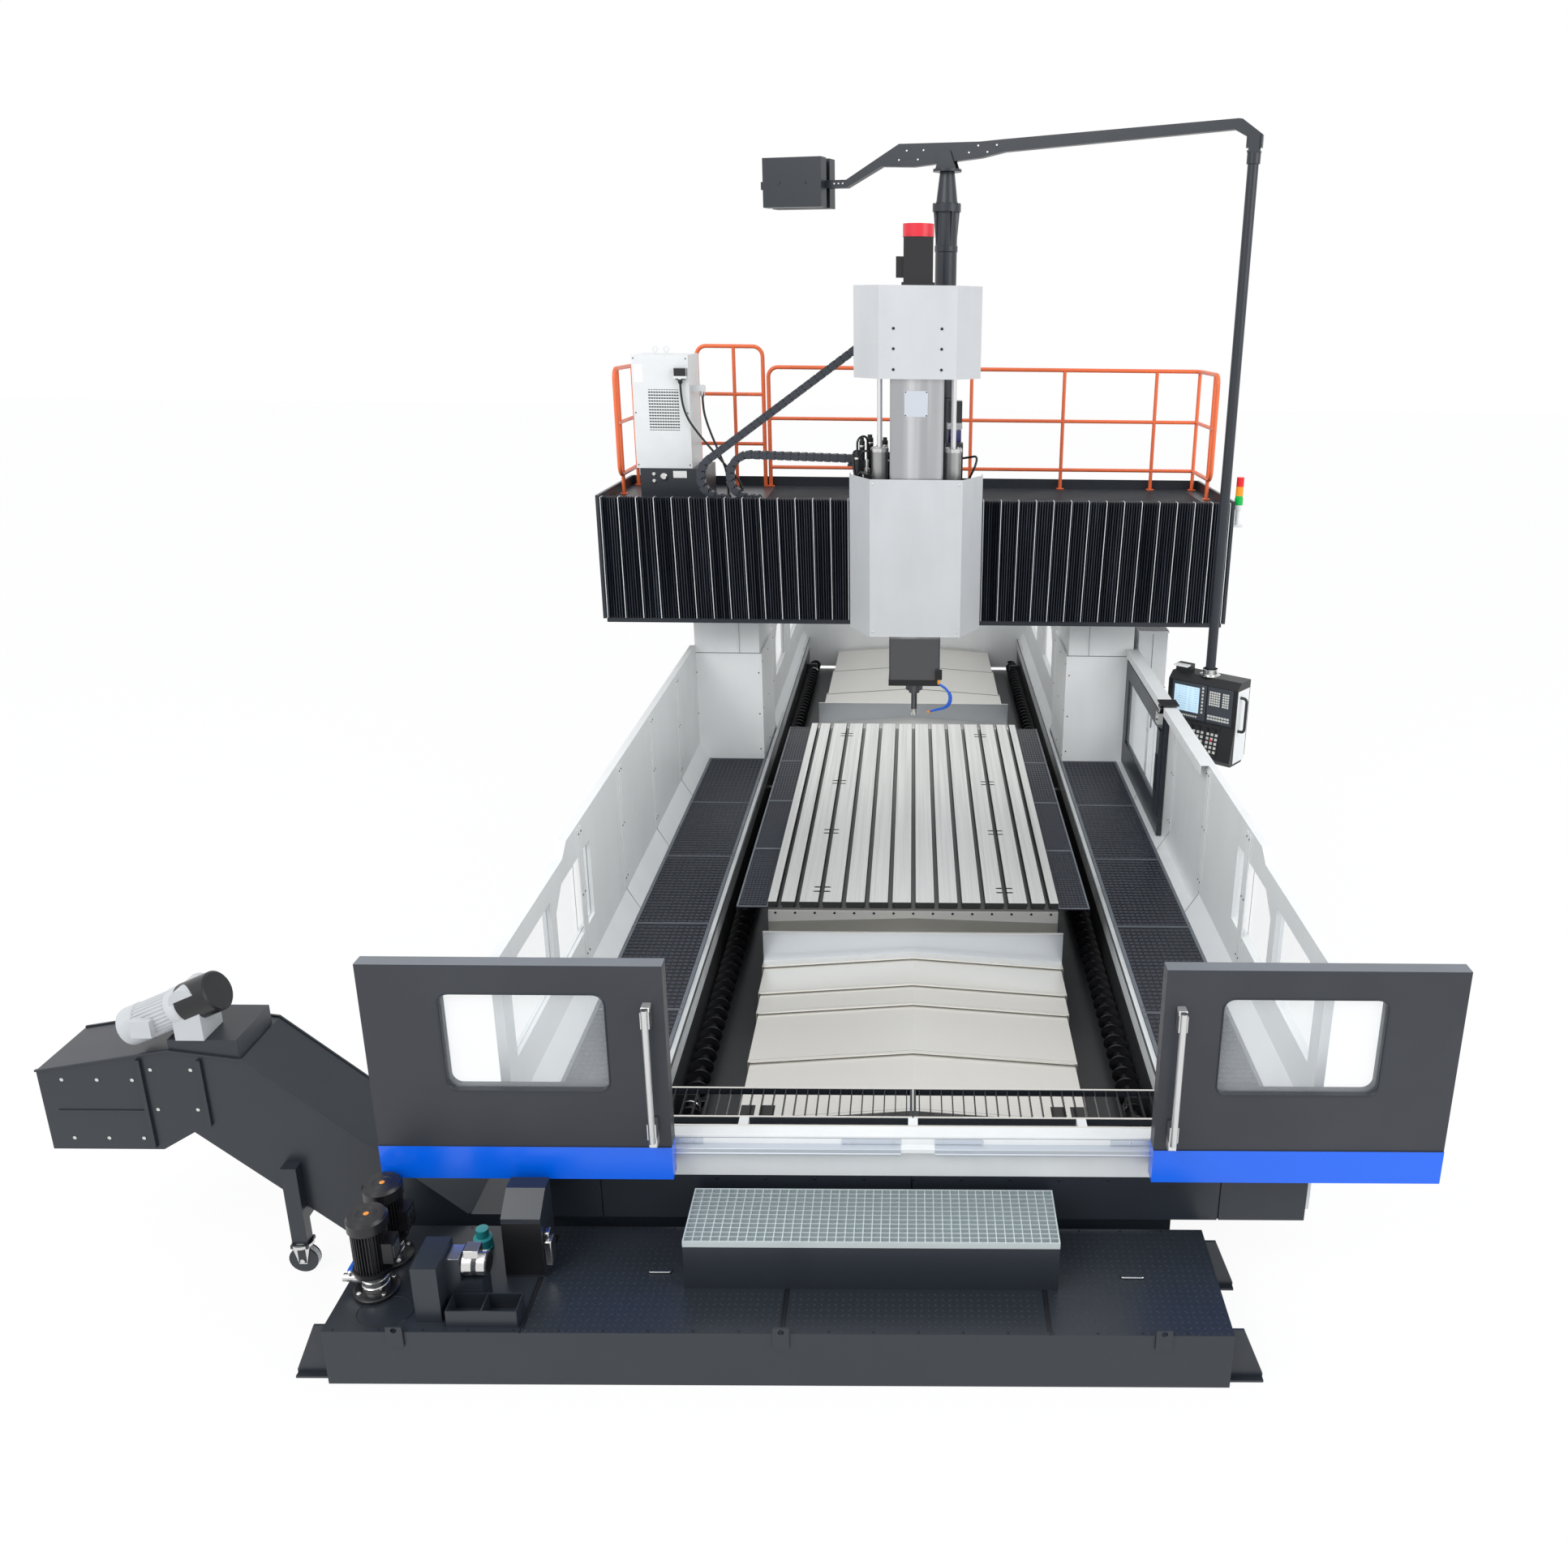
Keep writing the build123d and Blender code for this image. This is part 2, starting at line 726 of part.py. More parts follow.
# Telescopic way covers
def roof_outline(half_width, eaves):
    sheet = COVER_SHEET
    ridge = eaves + COVER_RIDGE_RISE
    return (
        (-half_width, COVER_SKIRT_FOOT),
        (-half_width, eaves),
        (0, ridge),
        (half_width, eaves),
        (half_width, COVER_SKIRT_FOOT),
        (half_width - sheet, COVER_SKIRT_FOOT),
        (half_width - sheet, eaves - sheet),
        (0, ridge - sheet),
        (-half_width + sheet, eaves - sheet),
        (-half_width + sheet, COVER_SKIRT_FOOT),
    )


def gable(half_width, eaves, bottom):
    """The outline under a roof of the cover's slope, down to a level bottom."""
    return (
        (-half_width, bottom),
        (-half_width, eaves),
        (0, eaves + COVER_RIDGE_RISE),
        (half_width, eaves),
        (half_width, bottom),
    )


def between(edge, far):
    """The two values in rising order."""
    return (min(edge, far), max(edge, far))


def wall_post(x, place):
    """A post from the floor into the wall above it."""
    return block(x, around(place, WALL_POST / 2), (0, WALL_BOTTOM + OVERLAP))


def cover_section(order, edge, direction, length=COVER_LENGTH):
    """One roofed section.

    It has a raised lip on its outer edge, and a frame plate on its inner end that rides over the ways.
    """
    half_width = COVER_HALF_WIDTH - order * COVER_STEP
    eaves = COVER_EAVES - order * COVER_STEP
    inner = edge + direction * length
    shell = along_y(roof_outline(half_width, eaves), between(edge, inner))
    ridge = eaves + COVER_RIDGE_RISE
    lip = (
        (-half_width, eaves),
        (0, ridge),
        (half_width, eaves),
        (half_width, eaves + COVER_LIP_HEIGHT),
        (0, ridge + COVER_LIP_HEIGHT),
        (-half_width, eaves + COVER_LIP_HEIGHT),
    )
    shell = shell + along_y(lip, between(edge, edge + direction * COVER_LIP_WIDTH))
    plate_foot = BED_TOP + WAY_HEIGHT + COVER_PLATE_CLEARANCE
    plate = gable(half_width - COVER_SHEET, eaves - COVER_SHEET, plate_foot)
    return shell + along_y(plate, between(inner, inner - direction * COVER_END_PLATE))


def chip_plate(edge, direction):
    """The upright plate that stands on the largest section and pushes chips aside, with a folded top."""
    plate_y = edge + direction * COVER_PLATE_OFFSET
    half = COVER_HALF_WIDTH
    outline = (
        (-half, COVER_EAVES),
        (0, COVER_EAVES + COVER_RIDGE_RISE),
        (half, COVER_EAVES),
        (half, COVER_PLATE_TOP),
        (-half, COVER_PLATE_TOP),
    )
    plate = along_y(outline, around(plate_y, COVER_SHEET))
    lip_y = between(plate_y, plate_y - direction * COVER_PLATE_LIP)
    return plate + block((-half, half), lip_y, (COVER_PLATE_TOP - COVER_SHEET, COVER_PLATE_TOP))


def apron(front):
    """The light skirt under the table's end edge, with its roof-shaped lower edge."""
    half = TABLE_WIDTH / 2
    foot = TABLE_UNDERSIDE + APRON_RAISE
    outline = (
        (-half, foot),
        (0, foot + COVER_RIDGE_RISE),
        (half, foot),
        (half, TABLE_TOP - TABLE_EDGE),
        (-half, TABLE_TOP - TABLE_EDGE),
    )
    return along_y(outline, (front - COVER_SHEET, front))


def fixed_foot(order, edge, direction):
    """The plate under a fixed section's outer edge that stands on the bed."""
    half_width = COVER_HALF_WIDTH - order * COVER_STEP - COVER_SHEET
    outline = gable(half_width, COVER_EAVES - order * COVER_STEP - COVER_SHEET, BED_TOP)
    return along_y(outline, between(edge, edge + direction * COVER_END_PLATE))


def front_section(order):
    edge = TABLE_FRONT + FRONT_COVER_EDGES[order]
    if order == 0:
        length = TABLE_BASE_INSET - FRONT_COVER_EDGES[0]
        return cover_section(order, edge, 1, length) + chip_plate(edge, 1)
    section = cover_section(order, edge, 1)
    if order == len(FRONT_COVER_EDGES) - 1:
        section = section + fixed_foot(order, edge, 1)
    return section


def rear_section(order):
    first = TABLE_FRONT + TABLE_LENGTH + REAR_FIRST_EDGE
    gap = (COVER_REACH - first) / (REAR_COVER_COUNT - 1)
    edge = first + order * gap
    if order == 0:
        length = TABLE_BASE_INSET + REAR_FIRST_EDGE
        return cover_section(order, edge, -1, length) + chip_plate(edge, -1)
    section = cover_section(order, edge, -1, REAR_COVER_LENGTH)
    if order == REAR_COVER_COUNT - 1:
        section = section + fixed_foot(order, edge, -1)
    return section


# Bed, chip troughs and augers
def bed():
    half = BED_HALF_WIDTH
    outline = (
        (-half - BED_FLANGE_WIDTH, 0),
        (half + BED_FLANGE_WIDTH, 0),
        (half + BED_FLANGE_WIDTH, BED_FLANGE_TOP),
        (half, BED_FLANGE_TOP + BED_FLANGE_WIDTH),
        (half, BED_TOP),
        (-half, BED_TOP),
        (-half, BED_FLANGE_TOP + BED_FLANGE_WIDTH),
        (-half - BED_FLANGE_WIDTH, BED_FLANGE_TOP),
    )
    way_span = (BED_FRONT + WAY_END_INSET, BED_BACK - WAY_END_INSET)
    way = block(around(WAY_OFFSET, WAY_WIDTH / 2), way_span, (BED_TOP, BED_TOP + WAY_HEIGHT))
    return along_y(outline, (BED_FRONT, BED_BACK)) + both_sides(way)


def hanger_places():
    return (AUGER_FRONT + HANGER_INSET, COLUMN_FRONT - HANGER_SETBACK, AUGER_BACK - HANGER_INSET)


def chip_troughs():
    """A trough on each side of the bed: floor, outer curb with a folded top, and hangers for the auger."""
    span = (BED_FRONT, BED_BACK)
    outer = TROUGH_OUTER + CURB_WIDTH
    trough = block((BED_HALF_WIDTH, TROUGH_OUTER), span, (TROUGH_FLOOR - TROUGH_SHEET, TROUGH_FLOOR))
    trough = trough + block((TROUGH_OUTER, outer), span, (0, CURB_TOP))
    lip = (TROUGH_OUTER - CURB_LIP, TROUGH_OUTER)
    trough = trough + block(lip, span, (CURB_TOP - TROUGH_SHEET, CURB_TOP))
    for place in hanger_places():
        reach = (AUGER_OFFSET - HANGER_REACH, TROUGH_OUTER)
        height = (TROUGH_FLOOR, AUGER_HEIGHT + AUGER_RADIUS + HANGER_REACH / 2)
        trough = trough + block(reach, around(place, HANGER_WIDTH / 2), height)
    bore_radius = AUGER_SHAFT_RADIUS + PIN_PLAY
    bore_start = (AUGER_OFFSET, BED_FRONT, AUGER_HEIGHT)
    bore = rod(bore_start, (AUGER_OFFSET, BED_BACK, AUGER_HEIGHT), bore_radius)
    return both_sides(trough - bore)


def auger(side):
    """Shaft with the round space that its flights fill, in stretches between the hangers."""
    x = side * AUGER_OFFSET
    screw = rod((x, AUGER_FRONT, AUGER_HEIGHT), (x, AUGER_BACK, AUGER_HEIGHT), AUGER_SHAFT_RADIUS)
    clear = HANGER_WIDTH / 2 + HANGER_GAP
    starts = (AUGER_FRONT + HANGER_GAP,) + tuple(place + clear for place in hanger_places())
    ends = tuple(place - clear for place in hanger_places()) + (AUGER_BACK - HANGER_GAP,)
    for start, end in zip(starts, ends):
        plane = Plane(origin=(x, start, AUGER_HEIGHT), z_dir=(0, 1, 0))
        section = plane * RegularPolygon(AUGER_RADIUS, AUGER_SIDES)
        screw = screw + extrude(section, amount=end - start)
    return screw


# Enclosure
def wall_profile():
    """A folded side wall: its plate, the slope down to the walkway and the return to the outer skirt."""
    outer = WALL_INNER + WALL_THICKNESS
    inner = WALKWAY_OUTER
    skirt = outer - WALL_SKIRT
    return (
        (inner, WALKWAY_TOP),
        (WALL_INNER, WALL_SLOPE_TOP),
        (WALL_INNER, WALL_TOP),
        (outer, WALL_TOP),
        (outer, WALL_BOTTOM),
        (skirt, WALL_BOTTOM),
        (skirt, WALKWAY_TOP - WALKWAY_THICKNESS),
        (inner, WALKWAY_TOP - WALKWAY_THICKNESS),
    )


def window_cut(front, back, x):
    """A window opening in a side wall, its front upper corner cut off at a slant."""
    outline = (
        (front, WINDOW_BOTTOM),
        (back, WINDOW_BOTTOM),
        (back, WINDOW_TOP),
        (front + WINDOW_SLANT_RUN, WINDOW_TOP),
        (front, WINDOW_TOP - WINDOW_SLANT_DROP),
    )
    return along_x(outline, x)


def side_wall(side):
    outer = WALL_INNER + WALL_THICKNESS
    wall = along_y(wall_profile(), (WALL_FRONT, COLUMN_FRONT - SLIDE_GAP))
    step = (
        (WALL_FRONT - OVERLAP, WALL_FRONT_TOP),
        (WALL_STEP - WALL_STEP_RUN, WALL_FRONT_TOP),
        (WALL_STEP, WALL_TOP + OVERLAP),
        (WALL_FRONT - OVERLAP, WALL_TOP + OVERLAP),
    )
    wall = wall - along_x(step, (WALL_INNER - OVERLAP, outer + OVERLAP))
    for front, back in WINDOW_SPANS:
        wall = wall - window_cut(front, back, (WALL_INNER - OVERLAP, outer + OVERLAP))
    for place in WALL_POST_PLACES:
        wall = wall + wall_post((outer - WALL_POST, outer), place)
    if side < 0:
        return mirrored(wall)
    slide_end = SIDE_DOOR_FRONT - SIDE_DOOR_TRAVEL - SIDE_DOOR_LAP
    pocket_z = (TRACK_TOP, WALL_SLOPE_TOP + OVERLAP)
    wall = wall - block((WALKWAY_OUTER, WALL_INNER), (slide_end, COLUMN_FRONT), pocket_z)
    doorway_y = (SIDE_DOOR_FRONT + SIDE_DOOR_LAP, SIDE_DOOR_BACK - SIDE_DOOR_LAP)
    doorway_z = (TRACK_TOP, WALL_TOP - SIDE_DOOR_HEADER)
    doorway = block((WALL_INNER - OVERLAP, outer + OVERLAP), doorway_y, doorway_z)
    hook_y = (slide_end, COLUMN_FRONT - SLIDE_GAP)
    x = side_door_x()
    rail_x = (x[0] - SIDE_RAIL_GAP - COVER_SHEET, WALL_INNER)
    rail = block(rail_x, hook_y, (WALL_TOP - SIDE_RAIL_DEPTH, WALL_TOP))
    guide = (x[0] - SIDE_RAIL_GAP, x[1] + SIDE_RAIL_GAP)
    guide_y = (hook_y[0] - OVERLAP, hook_y[1] + OVERLAP)
    guide_z = (WALL_TOP - SIDE_RAIL_DEPTH - OVERLAP, WALL_TOP - COVER_SHEET)
    rail = rail - block(guide, guide_y, guide_z)
    return wall - doorway + rail


def wall_panes():
    """The panes in the side walls in front of the columns and in the walls behind them."""
    x = around(WALL_INNER + WALL_THICKNESS / 2, PANE_THICKNESS / 2)
    rear_x = around(REAR_WALL_INNER + REAR_WALL_THICKNESS / 2, PANE_THICKNESS / 2)
    panes = window_cut(*WINDOW_SPANS[0], x) + window_cut(*WINDOW_SPANS[1], x)
    for front in REAR_WINDOW_STARTS:
        panes = panes + window_cut(front, front + REAR_WINDOW_LENGTH, rear_x)
    return both_sides(panes)


def side_door_x():
    back = WALL_INNER - SIDE_DOOR_GAP
    return (back - SIDE_DOOR_THICKNESS, back)


def side_door_opening(x):
    y = (SIDE_DOOR_FRONT + SIDE_DOOR_FRAME, SIDE_DOOR_BACK - SIDE_DOOR_FRAME)
    return block(x, y, (SIDE_DOOR_PANE_BOTTOM, SIDE_DOOR_TOP - SIDE_DOOR_FRAME))


def side_door():
    """The sliding leaf with its window opening, a grip on its front edge and two hangers into the rail."""
    x = side_door_x()
    leaf = block(x, (SIDE_DOOR_FRONT, SIDE_DOOR_BACK), (SIDE_DOOR_BOTTOM, SIDE_DOOR_TOP))
    leaf = leaf - side_door_opening((x[0] - OVERLAP, x[1] + OVERLAP))
    grip_y = SIDE_DOOR_FRONT + SIDE_DOOR_FRAME / 3
    grip = block((x[0] - SIDE_GRIP, x[0]), around(grip_y, SIDE_GRIP / 2), SIDE_GRIP_SPAN)
    middle = sum(x) / 2
    for place in (SIDE_DOOR_FRONT + SIDE_DOOR_FRAME, SIDE_DOOR_BACK - SIDE_DOOR_FRAME):
        hanger_top = WALL_TOP - COVER_SHEET - SIDE_RAIL_GAP
        hanger_z = (SIDE_DOOR_TOP, hanger_top)
        leaf = leaf + block(around(middle, COVER_SHEET), around(place, SIDE_GRIP), hanger_z)
    return leaf + grip


def side_door_glass():
    return side_door_opening(around(sum(side_door_x()) / 2, PANE_THICKNESS / 2))


def rear_enclosure():
    """The walls behind the columns, with a foot that slopes to the trough's curb, and the end wall."""
    inner = REAR_WALL_INNER
    outer = inner + REAR_WALL_THICKNESS
    curb = TROUGH_OUTER + CURB_WIDTH
    back = REAR_WALL_BACK + REAR_WALL_THICKNESS
    skirt = outer - WALL_SKIRT
    profile = (
        (curb, CURB_TOP),
        (inner, REAR_WALL_FOOT),
        (inner, REAR_WALL_TOP),
        (outer, REAR_WALL_TOP),
        (outer, WALL_BOTTOM),
        (skirt, WALL_BOTTOM),
        (skirt, CURB_TOP - WALL_SKIRT),
        (curb, CURB_TOP - WALL_SKIRT),
    )
    side = along_y(profile, (COLUMN_BACK + SLIDE_GAP, REAR_WALL_BACK))
    for front in REAR_WINDOW_STARTS:
        side = side - window_cut(front, front + REAR_WINDOW_LENGTH, (inner - OVERLAP, outer + OVERLAP))
    for place in REAR_POST_PLACES:
        side = side + wall_post((outer - WALL_POST, outer), place)
    end = block((-outer, outer), (REAR_WALL_BACK, back), (WALL_BOTTOM, REAR_WALL_TOP))
    return both_sides(side) + end


def walkways():
    """Planks along both sides of the bed on posts with cross bearers."""
    top = WALKWAY_TOP - WALKWAY_THICKNESS
    span = (WALKWAY_FRONT, COLUMN_FRONT - SLIDE_GAP)
    plank = block((WALKWAY_INNER, WALKWAY_OUTER), span, (top, WALKWAY_TOP))
    middle = (WALKWAY_INNER + WALKWAY_OUTER) / 2
    for place in WALKWAY_POST_PLACES:
        plank = plank + block(around(middle, WALL_POST / 2), around(place, WALL_POST / 2), (0, top))
        bearer_z = (top - WALL_POST, top)
        plank = plank + block((WALKWAY_INNER, WALKWAY_OUTER), around(place, WALL_POST / 2), bearer_z)
    return both_sides(plank)


# Front sill, covers, grating and step
def front_sill():
    """The white beam under the doorway, the doors' rail in front, and the blocks that carry the grating."""
    back = SILL_FRONT + SILL_DEPTH
    beam = block((-WALL_INNER, WALL_INNER), (SILL_FRONT, back), (SILL_BOTTOM, SILL_TOP))
    rail_y = (DOOR_FRONT + DOOR_THICKNESS + DOOR_RAIL_GAP, SILL_FRONT)
    beam = beam + block((-WALL_INNER, WALL_INNER), rail_y, DOOR_RAIL_HEIGHTS)
    block_z = (GRATING_TOP - GRATING_BAR - SILL_BLOCK, GRATING_TOP)
    for x in SILL_BLOCK_PLACES:
        beam = beam + block(around(x, SILL_BLOCK / 2), (back, GRATING_FRONT), block_z)
    return beam


def lower_front_cover():
    """The dark skirt under the sill, in four panels with open joints between them."""
    y = (SILL_FRONT, SILL_FRONT + COVER_PANEL_THICKNESS)
    cover = block((-WALL_INNER, WALL_INNER), y, (WALL_BOTTOM, SILL_BOTTOM))
    groove_y = (SILL_FRONT - OVERLAP, SILL_FRONT + COVER_PANEL_THICKNESS / 3)
    for seam in COVER_PANEL_SEAMS:
        groove_z = (WALL_BOTTOM - OVERLAP, SILL_BOTTOM + OVERLAP)
        cover = cover - block(around(seam, COVER_SHEET), groove_y, groove_z)
    return cover


def front_grating():
    half = TROUGH_OUTER
    z = (GRATING_TOP - GRATING_BAR, GRATING_TOP)
    bar = GRATING_EDGE_BAR
    frame = block((-half, half), (GRATING_FRONT, GRATING_FRONT + bar), z)
    frame = frame + block((-half, half), (GRATING_BACK - bar, GRATING_BACK), z)
    count = round(2 * half / GRATING_PITCH)
    slat_y = (GRATING_FRONT + bar / 2, GRATING_BACK - bar / 2)
    slat_z = (GRATING_TOP - GRATING_SLAT_DEPTH, GRATING_TOP - SLIDE_GAP)
    for index in range(count + 1):
        x = -half + GRATING_SLAT / 2 + index * (2 * half - GRATING_SLAT) / count
        frame = frame + block(around(x, GRATING_SLAT / 2), slat_y, slat_z)
    return frame


def inset(span, by):
    """A span made smaller at both ends."""
    return (span[0] + by, span[1] - by)


def front_step():
    """The open grating tray on top of the step: a frame with its bearing bars."""
    x = (STEP_LEFT, STEP_RIGHT)
    y = (STEP_FRONT, STEP_BACK)
    z = (STEP_TOP - STEP_TRAY, STEP_TOP)
    bar = STEP_BAR
    tray = block(x, y, z) - block(inset(x, bar), inset(y, bar), inset(z, -OVERLAP))
    count = round((x[1] - x[0]) / STEP_BAR_PITCH)
    for index in range(1, count):
        place = x[0] + index * (x[1] - x[0]) / count
        tray = tray + block(around(place, bar / 2), inset(y, bar / 2), inset(z, STEP_BAR_RECESS))
    return tray


def door_window(side, thickness):
    """The rounded window's shape in the middle of a door's thickness."""
    centre_x = DOOR_INNER + DOOR_WINDOW_INSET + DOOR_WINDOW_WIDTH / 2
    centre = (side * centre_x, DOOR_FRONT + DOOR_THICKNESS / 2, (DOOR_WINDOW_BOTTOM + DOOR_WINDOW_TOP) / 2)
    height = DOOR_WINDOW_TOP - DOOR_WINDOW_BOTTOM
    return rounded_opening(DOOR_WINDOW_WIDTH, height, DOOR_WINDOW_RADIUS, thickness, centre)


def front_door(side):
    """A sliding leaf with a rounded window, a band along its foot and an upright handle."""
    x = (DOOR_INNER, DOOR_INNER + DOOR_WIDTH)
    leaf = block(x, (DOOR_FRONT, DOOR_FRONT + DOOR_THICKNESS), (DOOR_BOTTOM, DOOR_TOP))
    leaf = leaf + block(x, (DOOR_FRONT - DOOR_BAND_PROUD, DOOR_FRONT), (DOOR_BOTTOM, DOOR_BAND_TOP))
    leaf = leaf - door_window(1, DOOR_THICKNESS + 2 * OVERLAP)
    handle = (DOOR_INNER + HANDLE_INSET, DOOR_FRONT - HANDLE_STANDOFF)
    leaf = leaf + upright_rod(handle, (HANDLE_BOTTOM, HANDLE_TOP), HANDLE_RADIUS)
    for z in (HANDLE_BOTTOM + HANDLE_FOOT_INSET, HANDLE_TOP - HANDLE_FOOT_INSET):
        foot_y = (handle[1], DOOR_FRONT)
        leaf = leaf + block(around(handle[0], HANDLE_FOOT / 2), foot_y, around(z, HANDLE_FOOT))
    if side < 0:
        return mirrored(leaf)
    return leaf


def front_door_glass(side):
    return door_window(side, PANE_THICKNESS)


# Coolant tank and what stands on it
def tank_end_bracket(x, direction):
    """Two gussets with foot plates at one end of the tank."""
    reach = x + direction * TANK_FOOT_REACH
    top = TANK_TOP - TANK_GUSSET_DROP
    outline = (
        (x, 0),
        (reach, 0),
        (reach, TANK_GUSSET_EDGE),
        (x + direction * TANK_GUSSET_HEAD, top),
        (x, top),
    )
    brackets = []
    for y in (TANK_FRONT + TANK_GUSSET_INSET, TANK_BACK - TANK_GUSSET_INSET):
        brackets.append(along_y(outline, around(y, TANK_GUSSET_THICKNESS / 2)))
        foot_y = around(y, TANK_GUSSET_HEAD / 2)
        brackets.append(block(between(x, reach), foot_y, (0, TANK_GUSSET_THICKNESS)))
    return brackets


def lifting_eye(place):
    """A plate on the tank's front edge with a round hole above the lid."""
    y = (TANK_FRONT - TANK_EYE_THICKNESS, TANK_FRONT)
    height = TANK_TOP + TANK_EYE_RISE
    z = (TANK_TOP - TANK_EYE_WIDTH, TANK_TOP + 2 * TANK_EYE_RISE)
    eye = block(around(place, TANK_EYE_WIDTH / 2), y, z)
    hole = drum((place, y[0] - OVERLAP, height), (place, y[1] + OVERLAP, height), TANK_EYE_HOLE)
    return eye - hole


def coolant_tank():
    """The closed tank with panel joints, lifting eyes, end brackets and the skirt under the step."""
    tank = block((TANK_LEFT, TANK_RIGHT), (TANK_FRONT, TANK_BACK), (0, TANK_TOP))
    groove_y = (TANK_FRONT - OVERLAP, TANK_BACK - TANK_GROOVE_END)
    groove_z = (TANK_TOP - TANK_GROOVE / 2, TANK_TOP + OVERLAP)
    for place in TANK_GROOVE_PLACES:
        tank = tank - block(around(place, TANK_GROOVE / 2), groove_y, groove_z)
    for place in TANK_EYE_PLACES:
        tank = tank + lifting_eye(place)
    x = (STEP_LEFT, STEP_RIGHT)
    skirt_z = (TANK_TOP, STEP_TOP - STEP_TRAY)
    skirt = block(x, (STEP_FRONT, STEP_BACK), skirt_z)
    skirt = skirt - block(inset(x, STEP_BAR), (STEP_FRONT + STEP_BAR, STEP_BACK + OVERLAP), skirt_z)
    return tank + skirt + tank_end_bracket(TANK_LEFT, -1) + tank_end_bracket(TANK_RIGHT, 1)


def coolant_pump(x, y):
    """An upright pump: flange, casing with its outlet, motor, terminal box and fan cover."""
    level = TANK_TOP
    stages = []
    for radius, height in PUMP_STAGES:
        stages.append(upright_drum((x, y), (level, level + height), radius))
        level = level + height
    terminal_x = (x + PUMP_TERMINAL_X[0], x + PUMP_TERMINAL_X[1])
    terminal_z = (TANK_TOP + PUMP_TERMINAL_Z[0], TANK_TOP + PUMP_TERMINAL_Z[1])
    stages.append(block(terminal_x, around(y, PUMP_TERMINAL_HALF), terminal_z))
    outlet = (x, y, TANK_TOP + PUMP_OUTLET_HEIGHT)
    stages.append(drum(outlet, (x - PUMP_OUTLET_REACH, y, outlet[2]), PUMP_OUTLET_RADIUS))
    return stages[0] + stages[1:]


def coolant_pumps():
    return coolant_pump(*PUMP_PLACES[0]) + coolant_pump(*PUMP_PLACES[1])


def on_tank(x, y, height, base=0):
    """A block between two heights over the tank's lid."""
    return block(x, y, (TANK_TOP + base, TANK_TOP + height))


def oil_skimmer():
    """The skimmer's case, its motor on a seat, and the two collecting trays."""
    seat_x = (SKIMMER_X[1], SKIMMER_MOTOR_END - SKIMMER_COWL)
    gear_x = (SKIMMER_X[1], SKIMMER_X[1] + SKIMMER_GEAR)
    seat_y = around(SKIMMER_MOTOR_Y, SKIMMER_SEAT / 2)
    shaft = TANK_TOP + SKIMMER_SHAFT
    start = (gear_x[1], SKIMMER_MOTOR_Y, shaft)
    skimmer = on_tank(SKIMMER_X, SKIMMER_Y, SKIMMER_HEIGHT) + on_tank(seat_x, seat_y, SKIMMER_SEAT_TOP)
    skimmer = skimmer + on_tank(gear_x, seat_y, SKIMMER_GEAR_TOP, SKIMMER_SEAT_TOP)
    return skimmer + drum(start, (SKIMMER_MOTOR_END, SKIMMER_MOTOR_Y, shaft), SKIMMER_MOTOR_RADIUS)


def collecting_trays():
    """Two open trays side by side in one casting."""
    tray = on_tank(TRAY_X, TRAY_Y, TRAY_HEIGHT)
    middle = sum(TRAY_X) / 2
    half = TRAY_SHEET / 2
    for x in ((TRAY_X[0], middle + half), (middle - half, TRAY_X[1])):
        inside = inset(x, TRAY_SHEET)
        tray = tray - on_tank(inside, inset(TRAY_Y, TRAY_SHEET), TRAY_HEIGHT + OVERLAP, TRAY_SHEET)
    return tray


def tank_fittings():
    """Oil skimmer, collecting trays, the junction box with its slanting lid, and the level gauge."""
    front, back = JUNCTION_Y
    slant = (
        (front, TANK_TOP),
        (back, TANK_TOP),
        (back, TANK_TOP + JUNCTION_BACK_HEIGHT),
        (front + JUNCTION_SLANT_RUN, TANK_TOP + JUNCTION_BACK_HEIGHT),
        (front, TANK_TOP + JUNCTION_FRONT_HEIGHT),
    )
    gauge = upright_drum(GAUGE_PLACE, (TANK_TOP, TANK_TOP + GAUGE_STAGE), GAUGE_RADIUS)
    cap = upright_drum(GAUGE_PLACE, (TANK_TOP + GAUGE_STAGE, TANK_TOP + GAUGE_HEIGHT), GAUGE_CAP_RADIUS)
    return oil_skimmer() + collecting_trays() + along_x(slant, JUNCTION_X) + gauge + cap


# Chip conveyor
def conveyor_caster(y):
    """One leg beside the conveyor, with a fork and a wheel."""
    middle = sum(CONVEYOR_LEG) / 2
    wheel_half = CASTER_WIDTH / 2
    fork_z = (CASTER_TOP - CASTER_PLATE, CASTER_TOP)
    leg = block(CONVEYOR_LEG, around(y, CONVEYOR_LEG_HALF), (CASTER_TOP, CONVEYOR_LEG_TOP))
    leg = leg + block(around(middle, CASTER_FORK), around(y, CASTER_FORK), fork_z)
    for radius, half in ((CASTER_RADIUS, wheel_half), (CASTER_AXLE, CASTER_FORK_PLACE + CASTER_SHEET)):
        leg = leg + drum((middle, y - half, CASTER_RADIUS), (middle, y + half, CASTER_RADIUS), radius)
    cheek_z = (CASTER_RADIUS - CASTER_AXLE, fork_z[0])
    for shift in (-CASTER_FORK_PLACE, CASTER_FORK_PLACE):
        leg = leg + block(around(middle, CASTER_PLATE), around(y + shift, CASTER_SHEET), cheek_z)
    return leg


